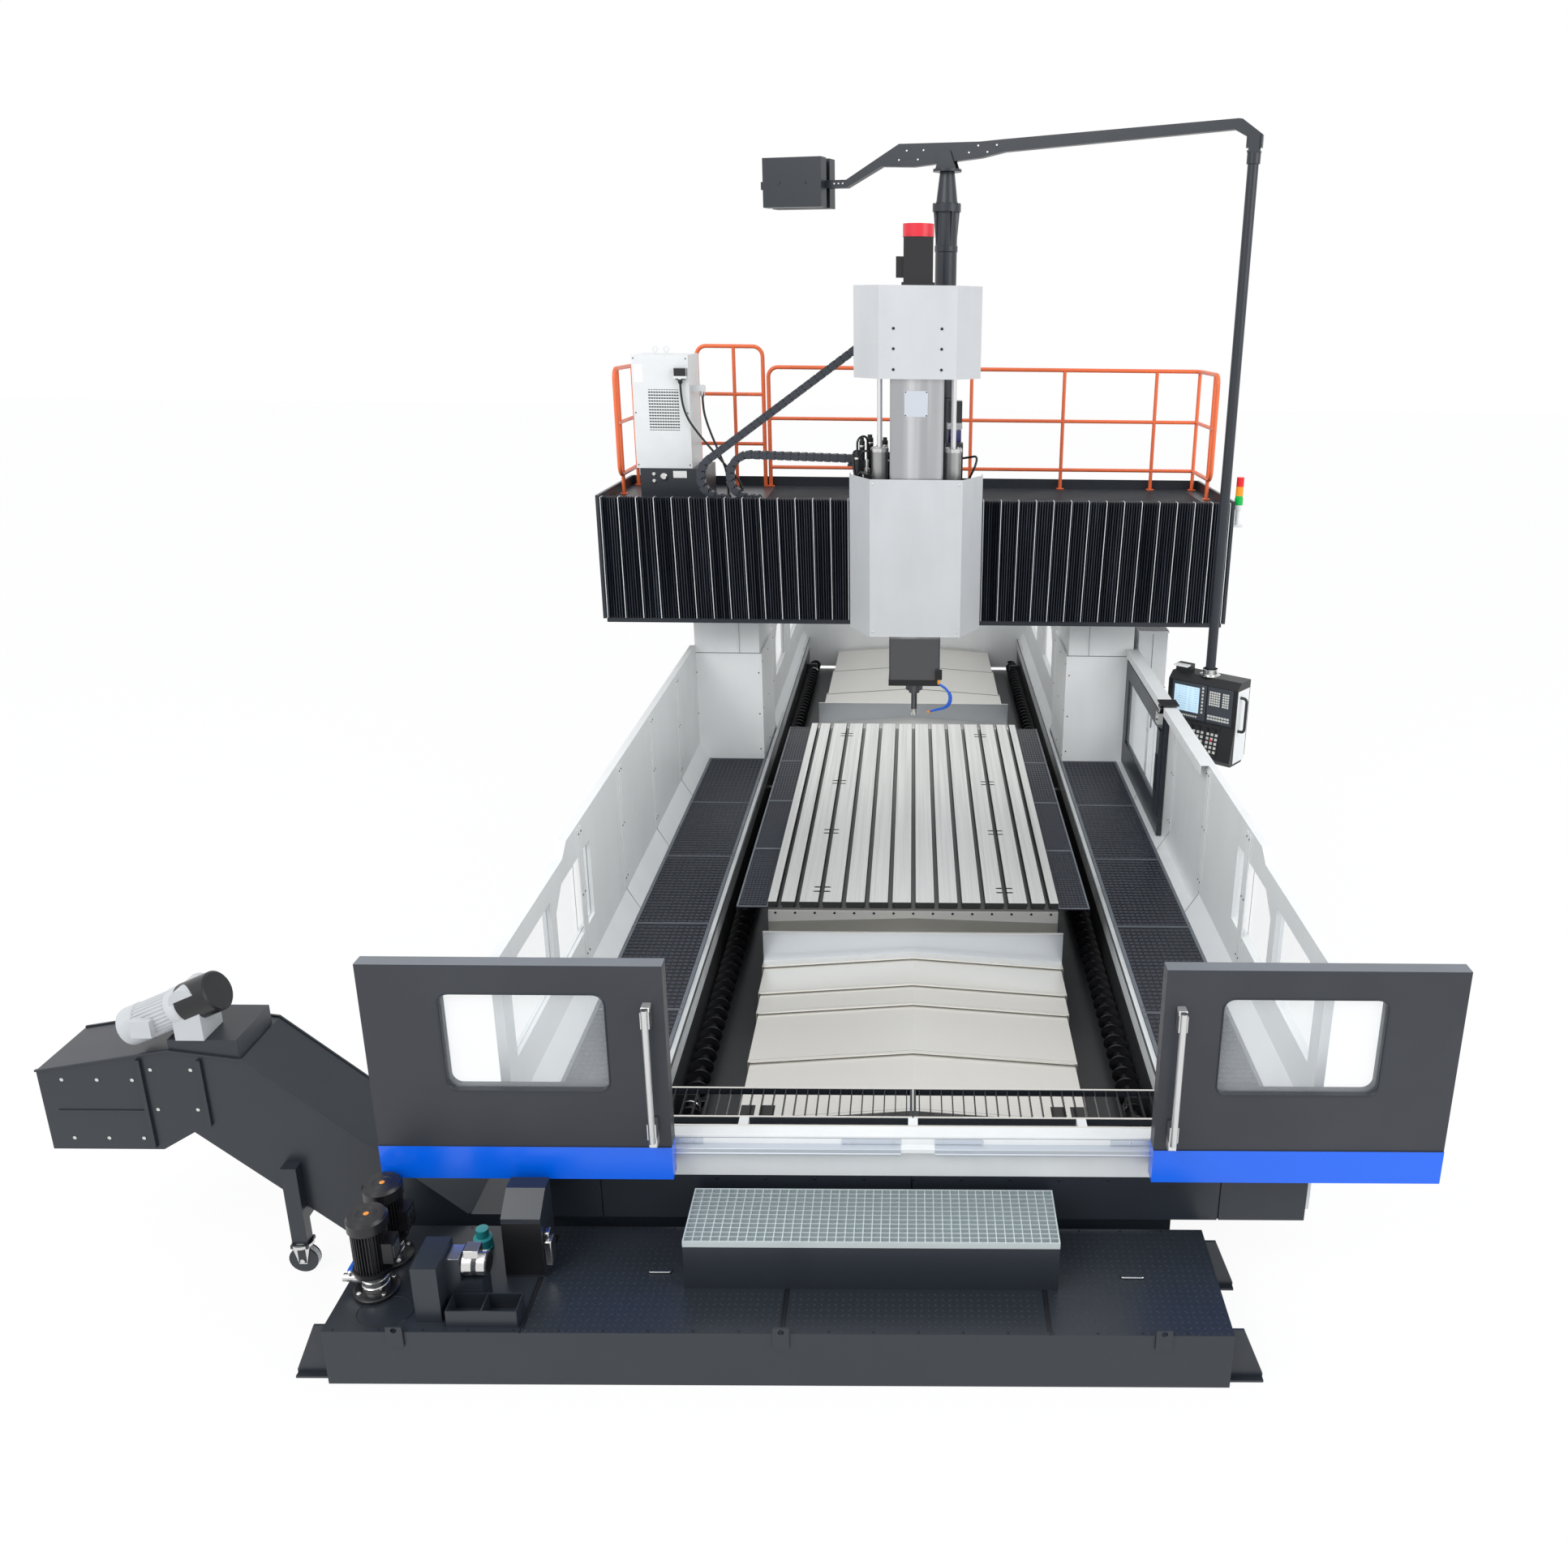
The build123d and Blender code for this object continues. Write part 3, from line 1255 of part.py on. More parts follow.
def conveyor_body():
    """The trough under the machine, the incline and the discharge head, on a leg frame with casters."""
    span = (CONVEYOR_FRONT, CONVEYOR_BACK)
    outline = (
        (CONVEYOR_RIGHT, 0),
        (CONVEYOR_RIGHT, CONVEYOR_TOP),
        (CONVEYOR_KNEE, CONVEYOR_TOP),
        (CONVEYOR_SHOULDER, CONVEYOR_HEAD_TOP),
        (CONVEYOR_HEAD_RIGHT, CONVEYOR_HEAD_TOP + CONVEYOR_HEAD_RISE),
        (CONVEYOR_HEAD_LEFT, CONVEYOR_HEAD_TOP - CONVEYOR_HEAD_FALL),
        (CONVEYOR_HEAD_LEFT, CONVEYOR_HEAD_BOTTOM),
        (CONVEYOR_CHUTE_RIGHT, CONVEYOR_HEAD_BOTTOM),
        CONVEYOR_ELBOW,
        (CONVEYOR_FOOT, 0),
    )
    body = along_y(outline, span)
    chute_x = (CONVEYOR_HEAD_LEFT + CONVEYOR_SHEET, CONVEYOR_CHUTE_RIGHT - CONVEYOR_SHEET)
    chute_y = (CONVEYOR_FRONT + CONVEYOR_SHEET, CONVEYOR_BACK - CONVEYOR_SHEET)
    chute_z = (CONVEYOR_HEAD_BOTTOM - OVERLAP, CONVEYOR_HEAD_BOTTOM + CONVEYOR_CHUTE_HEIGHT)
    body = body - block(chute_x, chute_y, chute_z)
    legs = (CONVEYOR_FRONT - CONVEYOR_LEG_HALF, CONVEYOR_BACK + CONVEYOR_LEG_HALF)
    for y in legs:
        body = body + conveyor_caster(y)
    return body + block(CONVEYOR_LEG, legs, around(CONVEYOR_BRACE, CONVEYOR_BRACE_HALF))


def conveyor_drive():
    """Gear motor on a slanting seat at the head of the conveyor."""
    slope = CONVEYOR_HEAD_RISE / (CONVEYOR_SHOULDER - CONVEYOR_HEAD_RIGHT)
    left = CONVEYOR_HEAD_RIGHT + DRIVE_SEAT_INSET
    right = CONVEYOR_SHOULDER - DRIVE_SEAT_INSET
    seat = (
        (left, CONVEYOR_HEAD_TOP + slope * (CONVEYOR_SHOULDER - left)),
        (right, CONVEYOR_HEAD_TOP + slope * DRIVE_SEAT_INSET),
        (right, DRIVE_SEAT_TOP),
        (left, DRIVE_SEAT_TOP),
    )
    drive = along_y(seat, (CONVEYOR_FRONT, CONVEYOR_BACK - DRIVE_SEAT_SHORT))
    top = DRIVE_SEAT_TOP + DRIVE_GEAR_HEIGHT
    middle = sum(DRIVE_GEAR_X) / 2
    drive = drive + block(DRIVE_GEAR_X, DRIVE_GEAR_Y, (DRIVE_SEAT_TOP, top))
    gear_radius = (DRIVE_GEAR_X[1] - DRIVE_GEAR_X[0]) / 2
    drive = drive + drum((middle, DRIVE_GEAR_Y[0], top), (middle, DRIVE_GEAR_Y[1], top), gear_radius)
    y = sum(DRIVE_GEAR_Y) / 2
    knee, joint, end = (Vector(x, y, z) for x, z in DRIVE_MOTOR_LINE)
    return drive + drum(knee, joint, DRIVE_MOTOR_RADIUS) + drum(joint, end, DRIVE_COWL_RADIUS)


# Columns and crossbeam
def columns():
    """Two columns: a base flange, the lower casing, and the upper casing that steps in under the beam."""
    x = (COLUMN_INNER, COLUMN_OUTER)
    y = (COLUMN_FRONT, COLUMN_BACK)
    step = COLUMN_STEP
    lower = block(x, y, (0, COLUMN_SHOULDER))
    flange = block((x[0], x[1] + step), (y[0], y[1]), (0, BED_FLANGE_TOP))
    upper = block((x[0] + step, x[1] - step), (y[0] + step, y[1] - step), (COLUMN_SHOULDER, BEAM_BOTTOM))
    return both_sides(lower + flange + upper)


def electrical_cabinet():
    """Two-door cabinet on a plinth, with a roof that overhangs and a joint between its doors."""
    x, y = CABINET_X, CABINET_Y
    cabinet = block(inset(x, CABINET_PLINTH_INSET), inset(y, CABINET_PLINTH_INSET), (0, CABINET_PLINTH))
    cabinet = cabinet + block(x, y, (CABINET_PLINTH, CABINET_TOP))
    roof_z = (CABINET_TOP, CABINET_TOP + CABINET_ROOF)
    cabinet = cabinet + block(inset(x, -CABINET_EAVES), inset(y, -CABINET_EAVES), roof_z)
    joint_x = (x[1] - CABINET_JOINT, x[1] + OVERLAP)
    joint_z = inset((CABINET_PLINTH, CABINET_TOP), CABINET_ROOF)
    return cabinet - block(joint_x, around(sum(y) / 2, CABINET_JOINT / 2), joint_z)


def crossbeam():
    """The beam with two linear rails, end plates, the lower ledge, and the platform tray on its top."""
    half = BEAM_HALF_WIDTH
    beam = block((-half, half), (BEAM_FRONT, BEAM_BACK), (BEAM_BOTTOM, BEAM_TOP))
    ends = block((half, half + BEAM_END_PLATE), (BELLOWS_FRONT, TRAY_BACK), (BEAM_BOTTOM, TRAY_RIM_TOP))
    ledge = block((-half, half), (LEDGE_FRONT, BEAM_FRONT), (BEAM_BOTTOM - LEDGE_DROP, BEAM_BOTTOM))
    for height in LINEAR_RAIL_HEIGHTS:
        rail_y = (BEAM_FRONT - LINEAR_RAIL_DEPTH, BEAM_FRONT)
        beam = beam + block((-half, half), rail_y, around(height, LINEAR_RAIL_WIDTH / 2))
    floor = block((-half, half), (BEAM_FRONT, TRAY_BACK), (BEAM_TOP, BEAM_TOP + TRAY_FLOOR))
    rim = block((-half, half), (TRAY_BACK - COVER_SHEET, TRAY_BACK), (BEAM_TOP, TRAY_RIM_TOP))
    beam = beam + both_sides(ends) + ledge + floor + rim
    for place in HOSE_FEET:
        beam = beam + upright_drum(place, (BEAM_TOP, HOSE_FOOT_TOP), GLAND_RADIUS)
    return beam


def rail_bar(start, end, height):
    return bent_tube(((*start, height), (*end, height)), RAIL_BEND)


def rail_post(place, floor, top):
    return bent_tube(((*place, floor), (*place, top)), RAIL_BEND, RAIL_TUBE - POST_THINNER)


def handrail_main(floor):
    """Back rails from the rounded left corner, and the rails that return along the right side."""
    top, low, middle = floor + RAIL_HEIGHT, floor + RAIL_LOW, floor + RAIL_MIDDLE
    start, back, side, front = RAIL_START, RAIL_BACK, RAIL_SIDE, RAIL_FRONT
    back_rail = ((start, back, floor), (start, back, top), (side, back, top), (side, front, top))
    rail = bent_tube((*back_rail, (side, front, low), (side, back, low)), RAIL_BEND)
    rail = rail + rail_bar((start, back), (side, back), low)
    rail = rail + rail_bar((start, back), (side, back), middle)
    rail = rail + rail_bar((side, back), (side, front), middle)
    for x in (*RAIL_POSTS, side):
        rail = rail + rail_post((x, back), floor, top)
    return rail + rail_post((side, front + RAIL_FRONT_POST), floor, top)


def handrail_left(floor):
    """The rounded rectangle that stands along the left side."""
    top, low, side = floor + RAIL_HEIGHT, floor + RAIL_LOW, -RAIL_SIDE
    back, front = RAIL_BACK, RAIL_FRONT
    loop = ((side, back, low), (side, front, low), (side, front, top), (side, back, top))
    rail = bent_tube(loop, RAIL_BEND)
    rail = rail + rail_bar((side, front), (side, back), floor + RAIL_MIDDLE)
    for y in (back, front + RAIL_FRONT_POST):
        rail = rail + rail_post((side, y), floor, top)
    return rail


def handrail_gate(floor):
    """The higher frame at the ladder, hooked on its own post."""
    top = floor + GATE_TOP
    left, right, back = GATE_LEFT, GATE_RIGHT, RAIL_BACK
    hook = (right, back, top - GATE_HOOK)
    gate = bent_tube(((left, back, floor), (left, back, top), (right, back, top), hook), GATE_BEND)
    gate = gate + bent_tube(((right, back, floor), hook), RAIL_BEND, RAIL_TUBE + POST_THINNER)
    gate = gate + rail_post((left + (right - left) * GATE_UPRIGHT_SHARE, back), floor, top)
    for height in GATE_BARS:
        gate = gate + rail_bar((left, back), (right, back), floor + height)
    return gate


def platform_handrail():
    floor = BEAM_TOP + TRAY_FLOOR
    return handrail_main(floor) + handrail_left(floor) + handrail_gate(floor)


def chiller():
    """Cooling unit on its base box, with lifting eyes, a recessed louvre field, valve and power plug."""
    floor = BEAM_TOP + TRAY_FLOOR
    x = (CHILLER_LEFT, CHILLER_RIGHT)
    y = (CHILLER_FRONT, CHILLER_FRONT + CHILLER_DEPTH)
    base_x = (x[0] + CHILLER_BASE_INSET, x[1] + CHILLER_BASE_REACH)
    unit = block(base_x, (y[0] - CHILLER_BASE_PROUD, y[1]), (floor, CHILLER_BOTTOM))
    unit = unit + block(x, y, (CHILLER_BOTTOM, CHILLER_TOP))
    field_x = (x[0] + CHILLER_FIELD_LEFT, x[1] - CHILLER_FIELD_RIGHT)
    field_z = (CHILLER_BOTTOM + CHILLER_FIELD_HEIGHTS[0], CHILLER_BOTTOM + CHILLER_FIELD_HEIGHTS[1])
    unit = unit - block(field_x, (y[0] - OVERLAP, y[0] + CHILLER_FIELD_DEPTH), field_z)
    for share in CHILLER_EYE_SHARES:
        unit = unit + eye_bolt((x[0] + share * (x[1] - x[0]), y[0] + CHILLER_EYE_BACK), CHILLER_TOP)
    plug_z = (CABLE_TOP[2] + GLAND_LENGTH, CABLE_TOP[2] + GLAND_LENGTH + PLUG_HEIGHT)
    unit = unit + block(around(CABLE_TOP[0], PLUG_HALF), (y[0] - PLUG_DEPTH, y[0]), plug_z)
    unit = unit + upright_drum(CABLE_TOP, (CABLE_TOP[2], plug_z[0]), GLAND_RADIUS)
    valve_z = (HOSE_TOP[2] + GLAND_LENGTH, HOSE_TOP[2] + GLAND_LENGTH + VALVE_HEIGHT)
    unit = unit + block((x[1], HOSE_TOP[0] + VALVE_HALF), around(HOSE_TOP[1], VALVE_HALF), valve_z)
    return unit + upright_drum(HOSE_TOP, (HOSE_TOP[2], valve_z[0]), GLAND_RADIUS)


def eye_bolt(place, level):
    """A lifting eye on a short shank."""
    x, y = place
    middle = level + EYE_HEIGHT
    ring = drum((x, y - EYE_THICKNESS / 2, middle), (x, y + EYE_THICKNESS / 2, middle), EYE_RADIUS)
    hole = drum((x, y - EYE_THICKNESS, middle), (x, y + EYE_THICKNESS, middle), EYE_HOLE)
    return upright_drum(place, (level, middle - EYE_HOLE), EYE_SHANK) + (ring - hole)


def hose(points):
    """A round hose along points, each corner as large an arc as its two runs allow."""
    corners = []
    for before, corner, after in zip(points, points[1:], points[2:]):
        first = Vector(*corner) - Vector(*before)
        second = Vector(*after) - Vector(*corner)
        turn = radians(first.get_angle(second))
        shorter = min(first.length, second.length)
        corners.append(HOSE_ARC_SHARE * shorter / (sin(turn / 2) / cos(turn / 2)))
    print("hose radii", [round(radius) for radius in corners])
    path = FilletPolyline(*points, radius=corners)
    print("hose length", round(path.length))
    section = Plane(origin=path @ 0, z_dir=path % 0) * RegularPolygon(HOSE_RADIUS, TUBE_SIDES)
    return sweep(section, path=path)


def chiller_hoses():
    """The power cable on the front and the coolant hose at the side, both down to the tray."""
    return hose((CABLE_TOP, *CABLE_ROUTE, (*HOSE_FEET[0], HOSE_FOOT_TOP))) + hose(
        (HOSE_TOP, *HOSE_ROUTE, (*HOSE_FEET[1], HOSE_FOOT_TOP))
    )


def signal_tower():
    """Bracket on the beam's end plate, stem and the stack of lamps."""
    x = BEAM_HALF_WIDTH + BEAM_END_PLATE
    shelf_z = (BEAM_TOP - TOWER_DROP, BEAM_TOP - TOWER_DROP + TOWER_SHELF)
    y = around(TOWER_Y, TOWER_SHELF_SIZE / 2)
    tower = block((x, x + TOWER_SHELF_SIZE), y, shelf_z)
    tower = tower + block((x, x + TOWER_SHELF / 2), y, (shelf_z[0] - TOWER_SHELF_SIZE, shelf_z[0]))
    place = (x + TOWER_REACH, TOWER_Y)
    level = shelf_z[1]
    for radius, height in TOWER_STAGES:
        tower = tower + upright_drum(place, (level, level + height), radius)
        level = level + height
    return tower


def bellows(side):
    """The space that the pleated way cover fills between the saddle and the beam's end plate."""
    x = (SADDLE_COVER_FULL + RAM_GAP, BEAM_HALF_WIDTH)
    fold = block(x, (BELLOWS_FRONT, BELLOWS_BACK), (BEAM_BOTTOM, BEAM_TOP + BELLOWS_RISE))
    if side < 0:
        return mirrored(fold)
    return fold


# Saddle and ram
def saddle():
    """The plate on the beam's rails, the cheeks that guide the ram, cover brackets and the chain's arm."""
    inner = RAM_SIZE / 2 + RAM_GAP
    half = SADDLE_HALF_WIDTH
    height = (SADDLE_BOTTOM, SADDLE_TOP)
    plate = block((-half, half), (inner, SADDLE_PLATE_BACK), height)
    seat_z = (SADDLE_TOP - SERVO_SEAT, SADDLE_TOP)
    plate = plate + block(SERVO_X, (SADDLE_PLATE_BACK, SERVO_BACK), seat_z)
    cheek = block((inner, half - CHEEK_INSET), (CHEEK_FRONT, inner), height)
    bore_z = inset(height, -OVERLAP)
    cheek = cheek - upright_rod((CYLINDER_OFFSET, 0), bore_z, CYLINDER_RADIUS + CHEEK_BORE_GAP)
    ear_x = (half - EAR_LAP, SADDLE_COVER_FULL - SADDLE_COVER_SHEET)
    for z in inset(height, EAR_INSET):
        cheek = cheek + block(ear_x, (inner - EAR_DEPTH, inner), around(z, EAR_LAP))
    return plate + both_sides(cheek) + chain_arm(inner)


def chain_arm(front):
    """The post and shelf at the saddle's left that hold the end of its cable chain."""
    shelf_z = (CHAIN_ARM_TOP, CHAIN_ARM_TOP + BRACKET_SHEET)
    arm = block(CHAIN_POST_X, (front, SADDLE_PLATE_BACK), (SADDLE_TOP, CHAIN_ARM_TOP))
    return arm + block(CHAIN_SHELF_X, (front, CHAIN_PLACE + CHAIN_WIDTH / 2), shelf_z)


def cover_outline(full, half, front, side, back):
    return ((-full, back), (-full, side), (-half, front), (half, front), (full, side), (full, back))


def saddle_cover():
    """Folded sheet around the saddle, open at its back, top and bottom."""
    full, half, sheet = SADDLE_COVER_FULL, SADDLE_COVER_HALF, SADDLE_COVER_SHEET
    z = (SADDLE_COVER_BOTTOM, SADDLE_COVER_TOP)
    front, side, back = SADDLE_COVER_FRONT, SADDLE_COVER_SIDE, SADDLE_COVER_BACK
    outer = upright(cover_outline(full, half, front, side, back), z)
    inside = cover_outline(full - sheet, half - sheet / 2, front + sheet, side + sheet / 2, back + OVERLAP)
    return outer - upright(inside, inset(z, -OVERLAP))


def balance_cylinders():
    """Hydraulic cylinders that carry the ram's weight, each through its cheek on a collar."""
    place = (CYLINDER_OFFSET, 0)
    cylinder = upright_rod(place, (CYLINDER_BOTTOM, CYLINDER_TOP), CYLINDER_RADIUS)
    cylinder = cylinder + upright_rod(place, (SADDLE_TOP, SADDLE_TOP + COLLAR_HEIGHT), CYLINDER_COLLAR)
    cylinder = cylinder + upright_rod(place, (CYLINDER_TOP, CYLINDER_TOP + CAP_HEIGHT), CYLINDER_CAP)
    bore_z = (CYLINDER_BOTTOM + BORE_FLOOR, CYLINDER_TOP + CAP_HEIGHT + OVERLAP)
    return both_sides(cylinder - upright_rod(place, bore_z, ROD_RADIUS + BORE_GAP))


def ram_servo():
    """Feed motor of the ram at the right, and the valve block with its pump at the left."""
    y = (RAM_COVER_BACK + SERVO_FRONT_GAP, SERVO_BACK)
    middle = (sum(SERVO_X) / 2, sum(y) / 2)
    waist, top, end = (SADDLE_TOP + height for height in SERVO_HEIGHTS)
    servo = block(SERVO_X, y, (SADDLE_TOP, waist))
    servo = servo + upright_drum(middle, (waist, top), SERVO_WAIST)
    servo = servo + block(around(middle[0], SERVO_HEAD_HALF), y, (top, end))
    valve_y = (RAM_COVER_BACK, VALVE_BLOCK_BACK)
    valve = block(VALVE_BLOCK_X, valve_y, (SADDLE_TOP, SADDLE_TOP + VALVE_BLOCK_TOP))
    step_x = (VALVE_BLOCK_X[0] + VALVE_STEP, VALVE_BLOCK_X[1] + VALVE_STEP)
    step_y = (VALVE_STEP_FRONT, RAM_COVER_BACK)
    valve = valve + block(step_x, step_y, (SADDLE_TOP, SADDLE_TOP + VALVE_STEP_TOP))
    coil = (sum(VALVE_BLOCK_X) / 2, (RAM_COVER_BACK + VALVE_BLOCK_BACK) / 2)
    coil_z = (SADDLE_TOP + VALVE_BLOCK_TOP, SADDLE_TOP + VALVE_COIL_TOP)
    return servo + valve + upright_drum(coil, coil_z, VALVE_COIL)


def ram():
    """The square ram with chamfered corners, and the nose plate at its foot."""
    half = RAM_SIZE / 2
    cut = RAM_CHAMFER
    outline = (
        (-half, -half + cut),
        (-half + cut, -half),
        (half - cut, -half),
        (half, -half + cut),
        (half, half - cut),
        (half - cut, half),
        (-half + cut, half),
        (-half, half - cut),
    )
    body = upright(outline, (RAM_BOTTOM, RAM_TOP))
    plate_z = (RAM_TOP + RAM_PLATE_HEIGHTS[0], RAM_TOP + RAM_PLATE_HEIGHTS[1])
    return body + block(RAM_PLATE_X, (-half - COVER_SHEET, -half), plate_z)


def ram_cover():
    """Closed eight-sided housing on the ram's head, with the chain's bracket on its back."""
    front, side, back = RAM_COVER_FRONT, RAM_COVER_SIDE, RAM_COVER_BACK
    outline = cover_outline(RAM_COVER_FULL, RAM_COVER_HALF, front, side, back)
    housing = upright(outline, (RAM_TOP, RAM_COVER_TOP))
    bracket_z = (CHAIN_BRACKET_TOP - BRACKET_SHEET, CHAIN_BRACKET_TOP)
    return housing + block(CHAIN_BRACKET, (back, CHAIN_PLACE + CHAIN_WIDTH / 2), bracket_z)


def balance_rods():
    return both_sides(upright_rod((CYLINDER_OFFSET, 0), (ROD_BOTTOM, RAM_TOP), ROD_RADIUS))


def spindle_motor():
    """Square spindle motor with a flange, a terminal box and a round fan cap."""
    half = MOTOR_HALF
    flange_top = RAM_COVER_TOP + MOTOR_FLANGE
    flange_half = half + MOTOR_FLANGE_REACH
    square = around(0, flange_half)
    body = block(square, square, (RAM_COVER_TOP, flange_top))
    body = body + block(around(0, half), around(0, half), (flange_top, MOTOR_TOP))
    box_z = (RAM_COVER_TOP + MOTOR_BOX_HEIGHTS[0], RAM_COVER_TOP + MOTOR_BOX_HEIGHTS[1])
    body = body + block((-half - MOTOR_BOX, -half), around(0, MOTOR_BOX), box_z)
    return body + upright_rod((0, 0), (MOTOR_TOP, MOTOR_TOP + MOTOR_CAP_HEIGHT), MOTOR_CAP)


def spindle():
    """The nose, the holder's flange and the tool."""
    level = RAM_BOTTOM
    stages = []
    for radius, height in SPINDLE_STAGES:
        stages.append(upright_rod((0, 0), (level - height, level), radius))
        level = level - height
    stages.append(upright_rod((0, 0), (TOOL_TIP, level), TOOL_RADIUS))
    return stages[0] + stages[1:]


def coolant_nozzle():
    """Valve block on the ram's foot with a jointed nozzle that bends round to the tool."""
    half = RAM_SIZE / 2
    block_x = (half + NOZZLE_OVERHANG - NOZZLE_BLOCK, half + NOZZLE_OVERHANG)
    block_z = (RAM_BOTTOM + NOZZLE_BLOCK_BASE, RAM_BOTTOM + NOZZLE_BLOCK_TOP)
    valve = block(block_x, (-half - NOZZLE_DEPTH, -half), block_z)
    x, y = sum(block_x) / 2, -half - NOZZLE_DEPTH / 2
    elbow = (half - NOZZLE_BLOCK / 2, -half + NOZZLE_DEPTH, TOOL_TIP + NOZZLE_ELBOW)
    points = ((x, y, block_z[0]), (x, y, RAM_BOTTOM - NOZZLE_DROP), elbow, NOZZLE_TIP)
    path = FilletPolyline(*points, radius=NOZZLE_BEND)
    section = Plane(origin=path @ 0, z_dir=path % 0) * RegularPolygon(NOZZLE_RADIUS, TUBE_SIDES)
    return valve + sweep(section, path=path)


# Operator arm, turned about its post
def on_arm(shape):
    """Places a shape drawn along +X from the post axis on the arm's bearing."""
    return Pos(POST_X, POST_Y, 0) * Rot(0, 0, ARM_BEARING) * shape


def operator_post():
    """The post: foot plate, tube, ribs under the collar, and the cone that carries the bearing."""
    floor = BEAM_TOP + TRAY_FLOOR
    place = (POST_X, POST_Y)
    collar_top = POST_COLLAR + POST_COLLAR_HEIGHT
    post = upright_rod(place, (floor, POST_COLLAR), POST_RADIUS)
    post = post + upright_rod(place, (POST_COLLAR, collar_top), POST_RADIUS + POST_COLLAR_REACH)
    cone_height = POST_TOP - collar_top
    post = post + Pos(*place, collar_top + cone_height / 2) * Cone(POST_RADIUS, POST_NECK, cone_height)
    foot = POST_FOOT / 2
    post = post + block(around(POST_X, foot), around(POST_Y, foot), (floor, floor + POST_FOOT_PLATE))
    inner, outer = POST_RADIUS - POST_RIB_THICKNESS / 2, POST_RADIUS + POST_COLLAR_REACH - OVERLAP
    rib = ((inner, POST_COLLAR), (outer, POST_COLLAR), (inner, POST_COLLAR - POST_RIB))
    for turn in range(4):
        fin = along_y(rib, around(0, POST_RIB_THICKNESS / 2))
        post = post + Pos(*place, 0) * Rot(0, 0, ARM_BEARING + 45 + 90 * turn) * fin
    return post


def arm_yoke():
    """Turning plate with two cheeks and the arm's pivot pin."""
    foot = POST_TOP + SLIDE_GAP + YOKE_PLATE
    top = ARM_PIVOT_HEIGHT + YOKE_HEAD
    plate = upright_rod((0, 0), (POST_TOP + SLIDE_GAP, foot), YOKE_RADIUS)
    near = ARM_WIDTH / 2 + YOKE_GAP
    far = near + YOKE_CHEEK
    outline = ((-YOKE_FOOT, foot), (YOKE_FOOT, foot), (YOKE_HEAD, top), (-YOKE_HEAD, top))
    cheek = along_y(outline, (near, far))
    pin = rod((0, -far, ARM_PIVOT_HEIGHT), (0, far, ARM_PIVOT_HEIGHT), PIN_RADIUS)
    return on_arm(plate + cheek + mirror(cheek, about=Plane.XZ) + pin)


def operator_arm():
    """The cranked arm with its counterweights behind the post."""
    arm = along_y(ARM_OUTLINE, (-ARM_WIDTH / 2, ARM_WIDTH / 2))
    weight_y = (ARM_WIDTH / 2, ARM_WIDTH / 2 + WEIGHT_THICKNESS)
    weight_x = (WEIGHT_START, WEIGHT_START + WEIGHT_LENGTH)
    weight = block(weight_x, weight_y, (WEIGHT_BOTTOM, WEIGHT_BOTTOM + WEIGHT_HEIGHT))
    arm = arm + weight + mirror(weight, about=Plane.XZ)
    for reach, height in ((0, ARM_PIVOT_HEIGHT), (ARM_TIP_REACH, ARM_TIP_PIVOT)):
        bore = rod((reach, -ARM_WIDTH, height), (reach, ARM_WIDTH, height), PIN_RADIUS + PIN_PLAY)
        arm = arm - bore
    return on_arm(arm)


def drop_tube():
    """The tube that hangs from the arm's tip, with its collar, cap, two cheeks and pin."""
    reach = ARM_TIP_REACH
    inner = ARM_WIDTH / 2 + TIP_GAP
    outer = inner + TIP_CHEEK
    end = TUBE_TOP - TUBE_CAP
    tube = upright_rod((reach, 0), (TUBE_BOTTOM, end), TUBE_RADIUS)
    tube = tube + upright_rod((reach, 0), (end - TUBE_COLLAR, end), TUBE_RADIUS + TIP_CHEEK)
    tube = tube + block(around(reach, TUBE_CAP_HALF), (-outer, outer), (end, TUBE_TOP))
    cheek = block(around(reach, YOKE_HEAD), (inner, outer), (TUBE_TOP, ARM_TIP_PIVOT + YOKE_HEAD))
    pin = rod((reach, -outer, ARM_TIP_PIVOT), (reach, outer, ARM_TIP_PIVOT), PIN_RADIUS)
    return on_arm(tube + cheek + mirror(cheek, about=Plane.XZ) + pin)


def box_profile(top):
    """The panel's side outline: sloping hood, screen face and the keyboard ledge that stands proud below."""
    depth, foot = BOX_DEPTH / 2, top - BOX_HEIGHT
    ledge = top - BOX_HEIGHT * BOX_LEDGE_SHARE
    return (
        (-depth + BOX_SLOPE, top),
        (depth, top),
        (depth, foot + BOX_SLOPE),
        (depth - BOX_SLOPE, foot),
        (-depth - BOX_LEDGE / 2, foot),
        (-depth - BOX_LEDGE, foot + BOX_LEDGE_EDGE),
        (-depth, ledge),
        (-depth, top - BOX_SLOPE),
    )


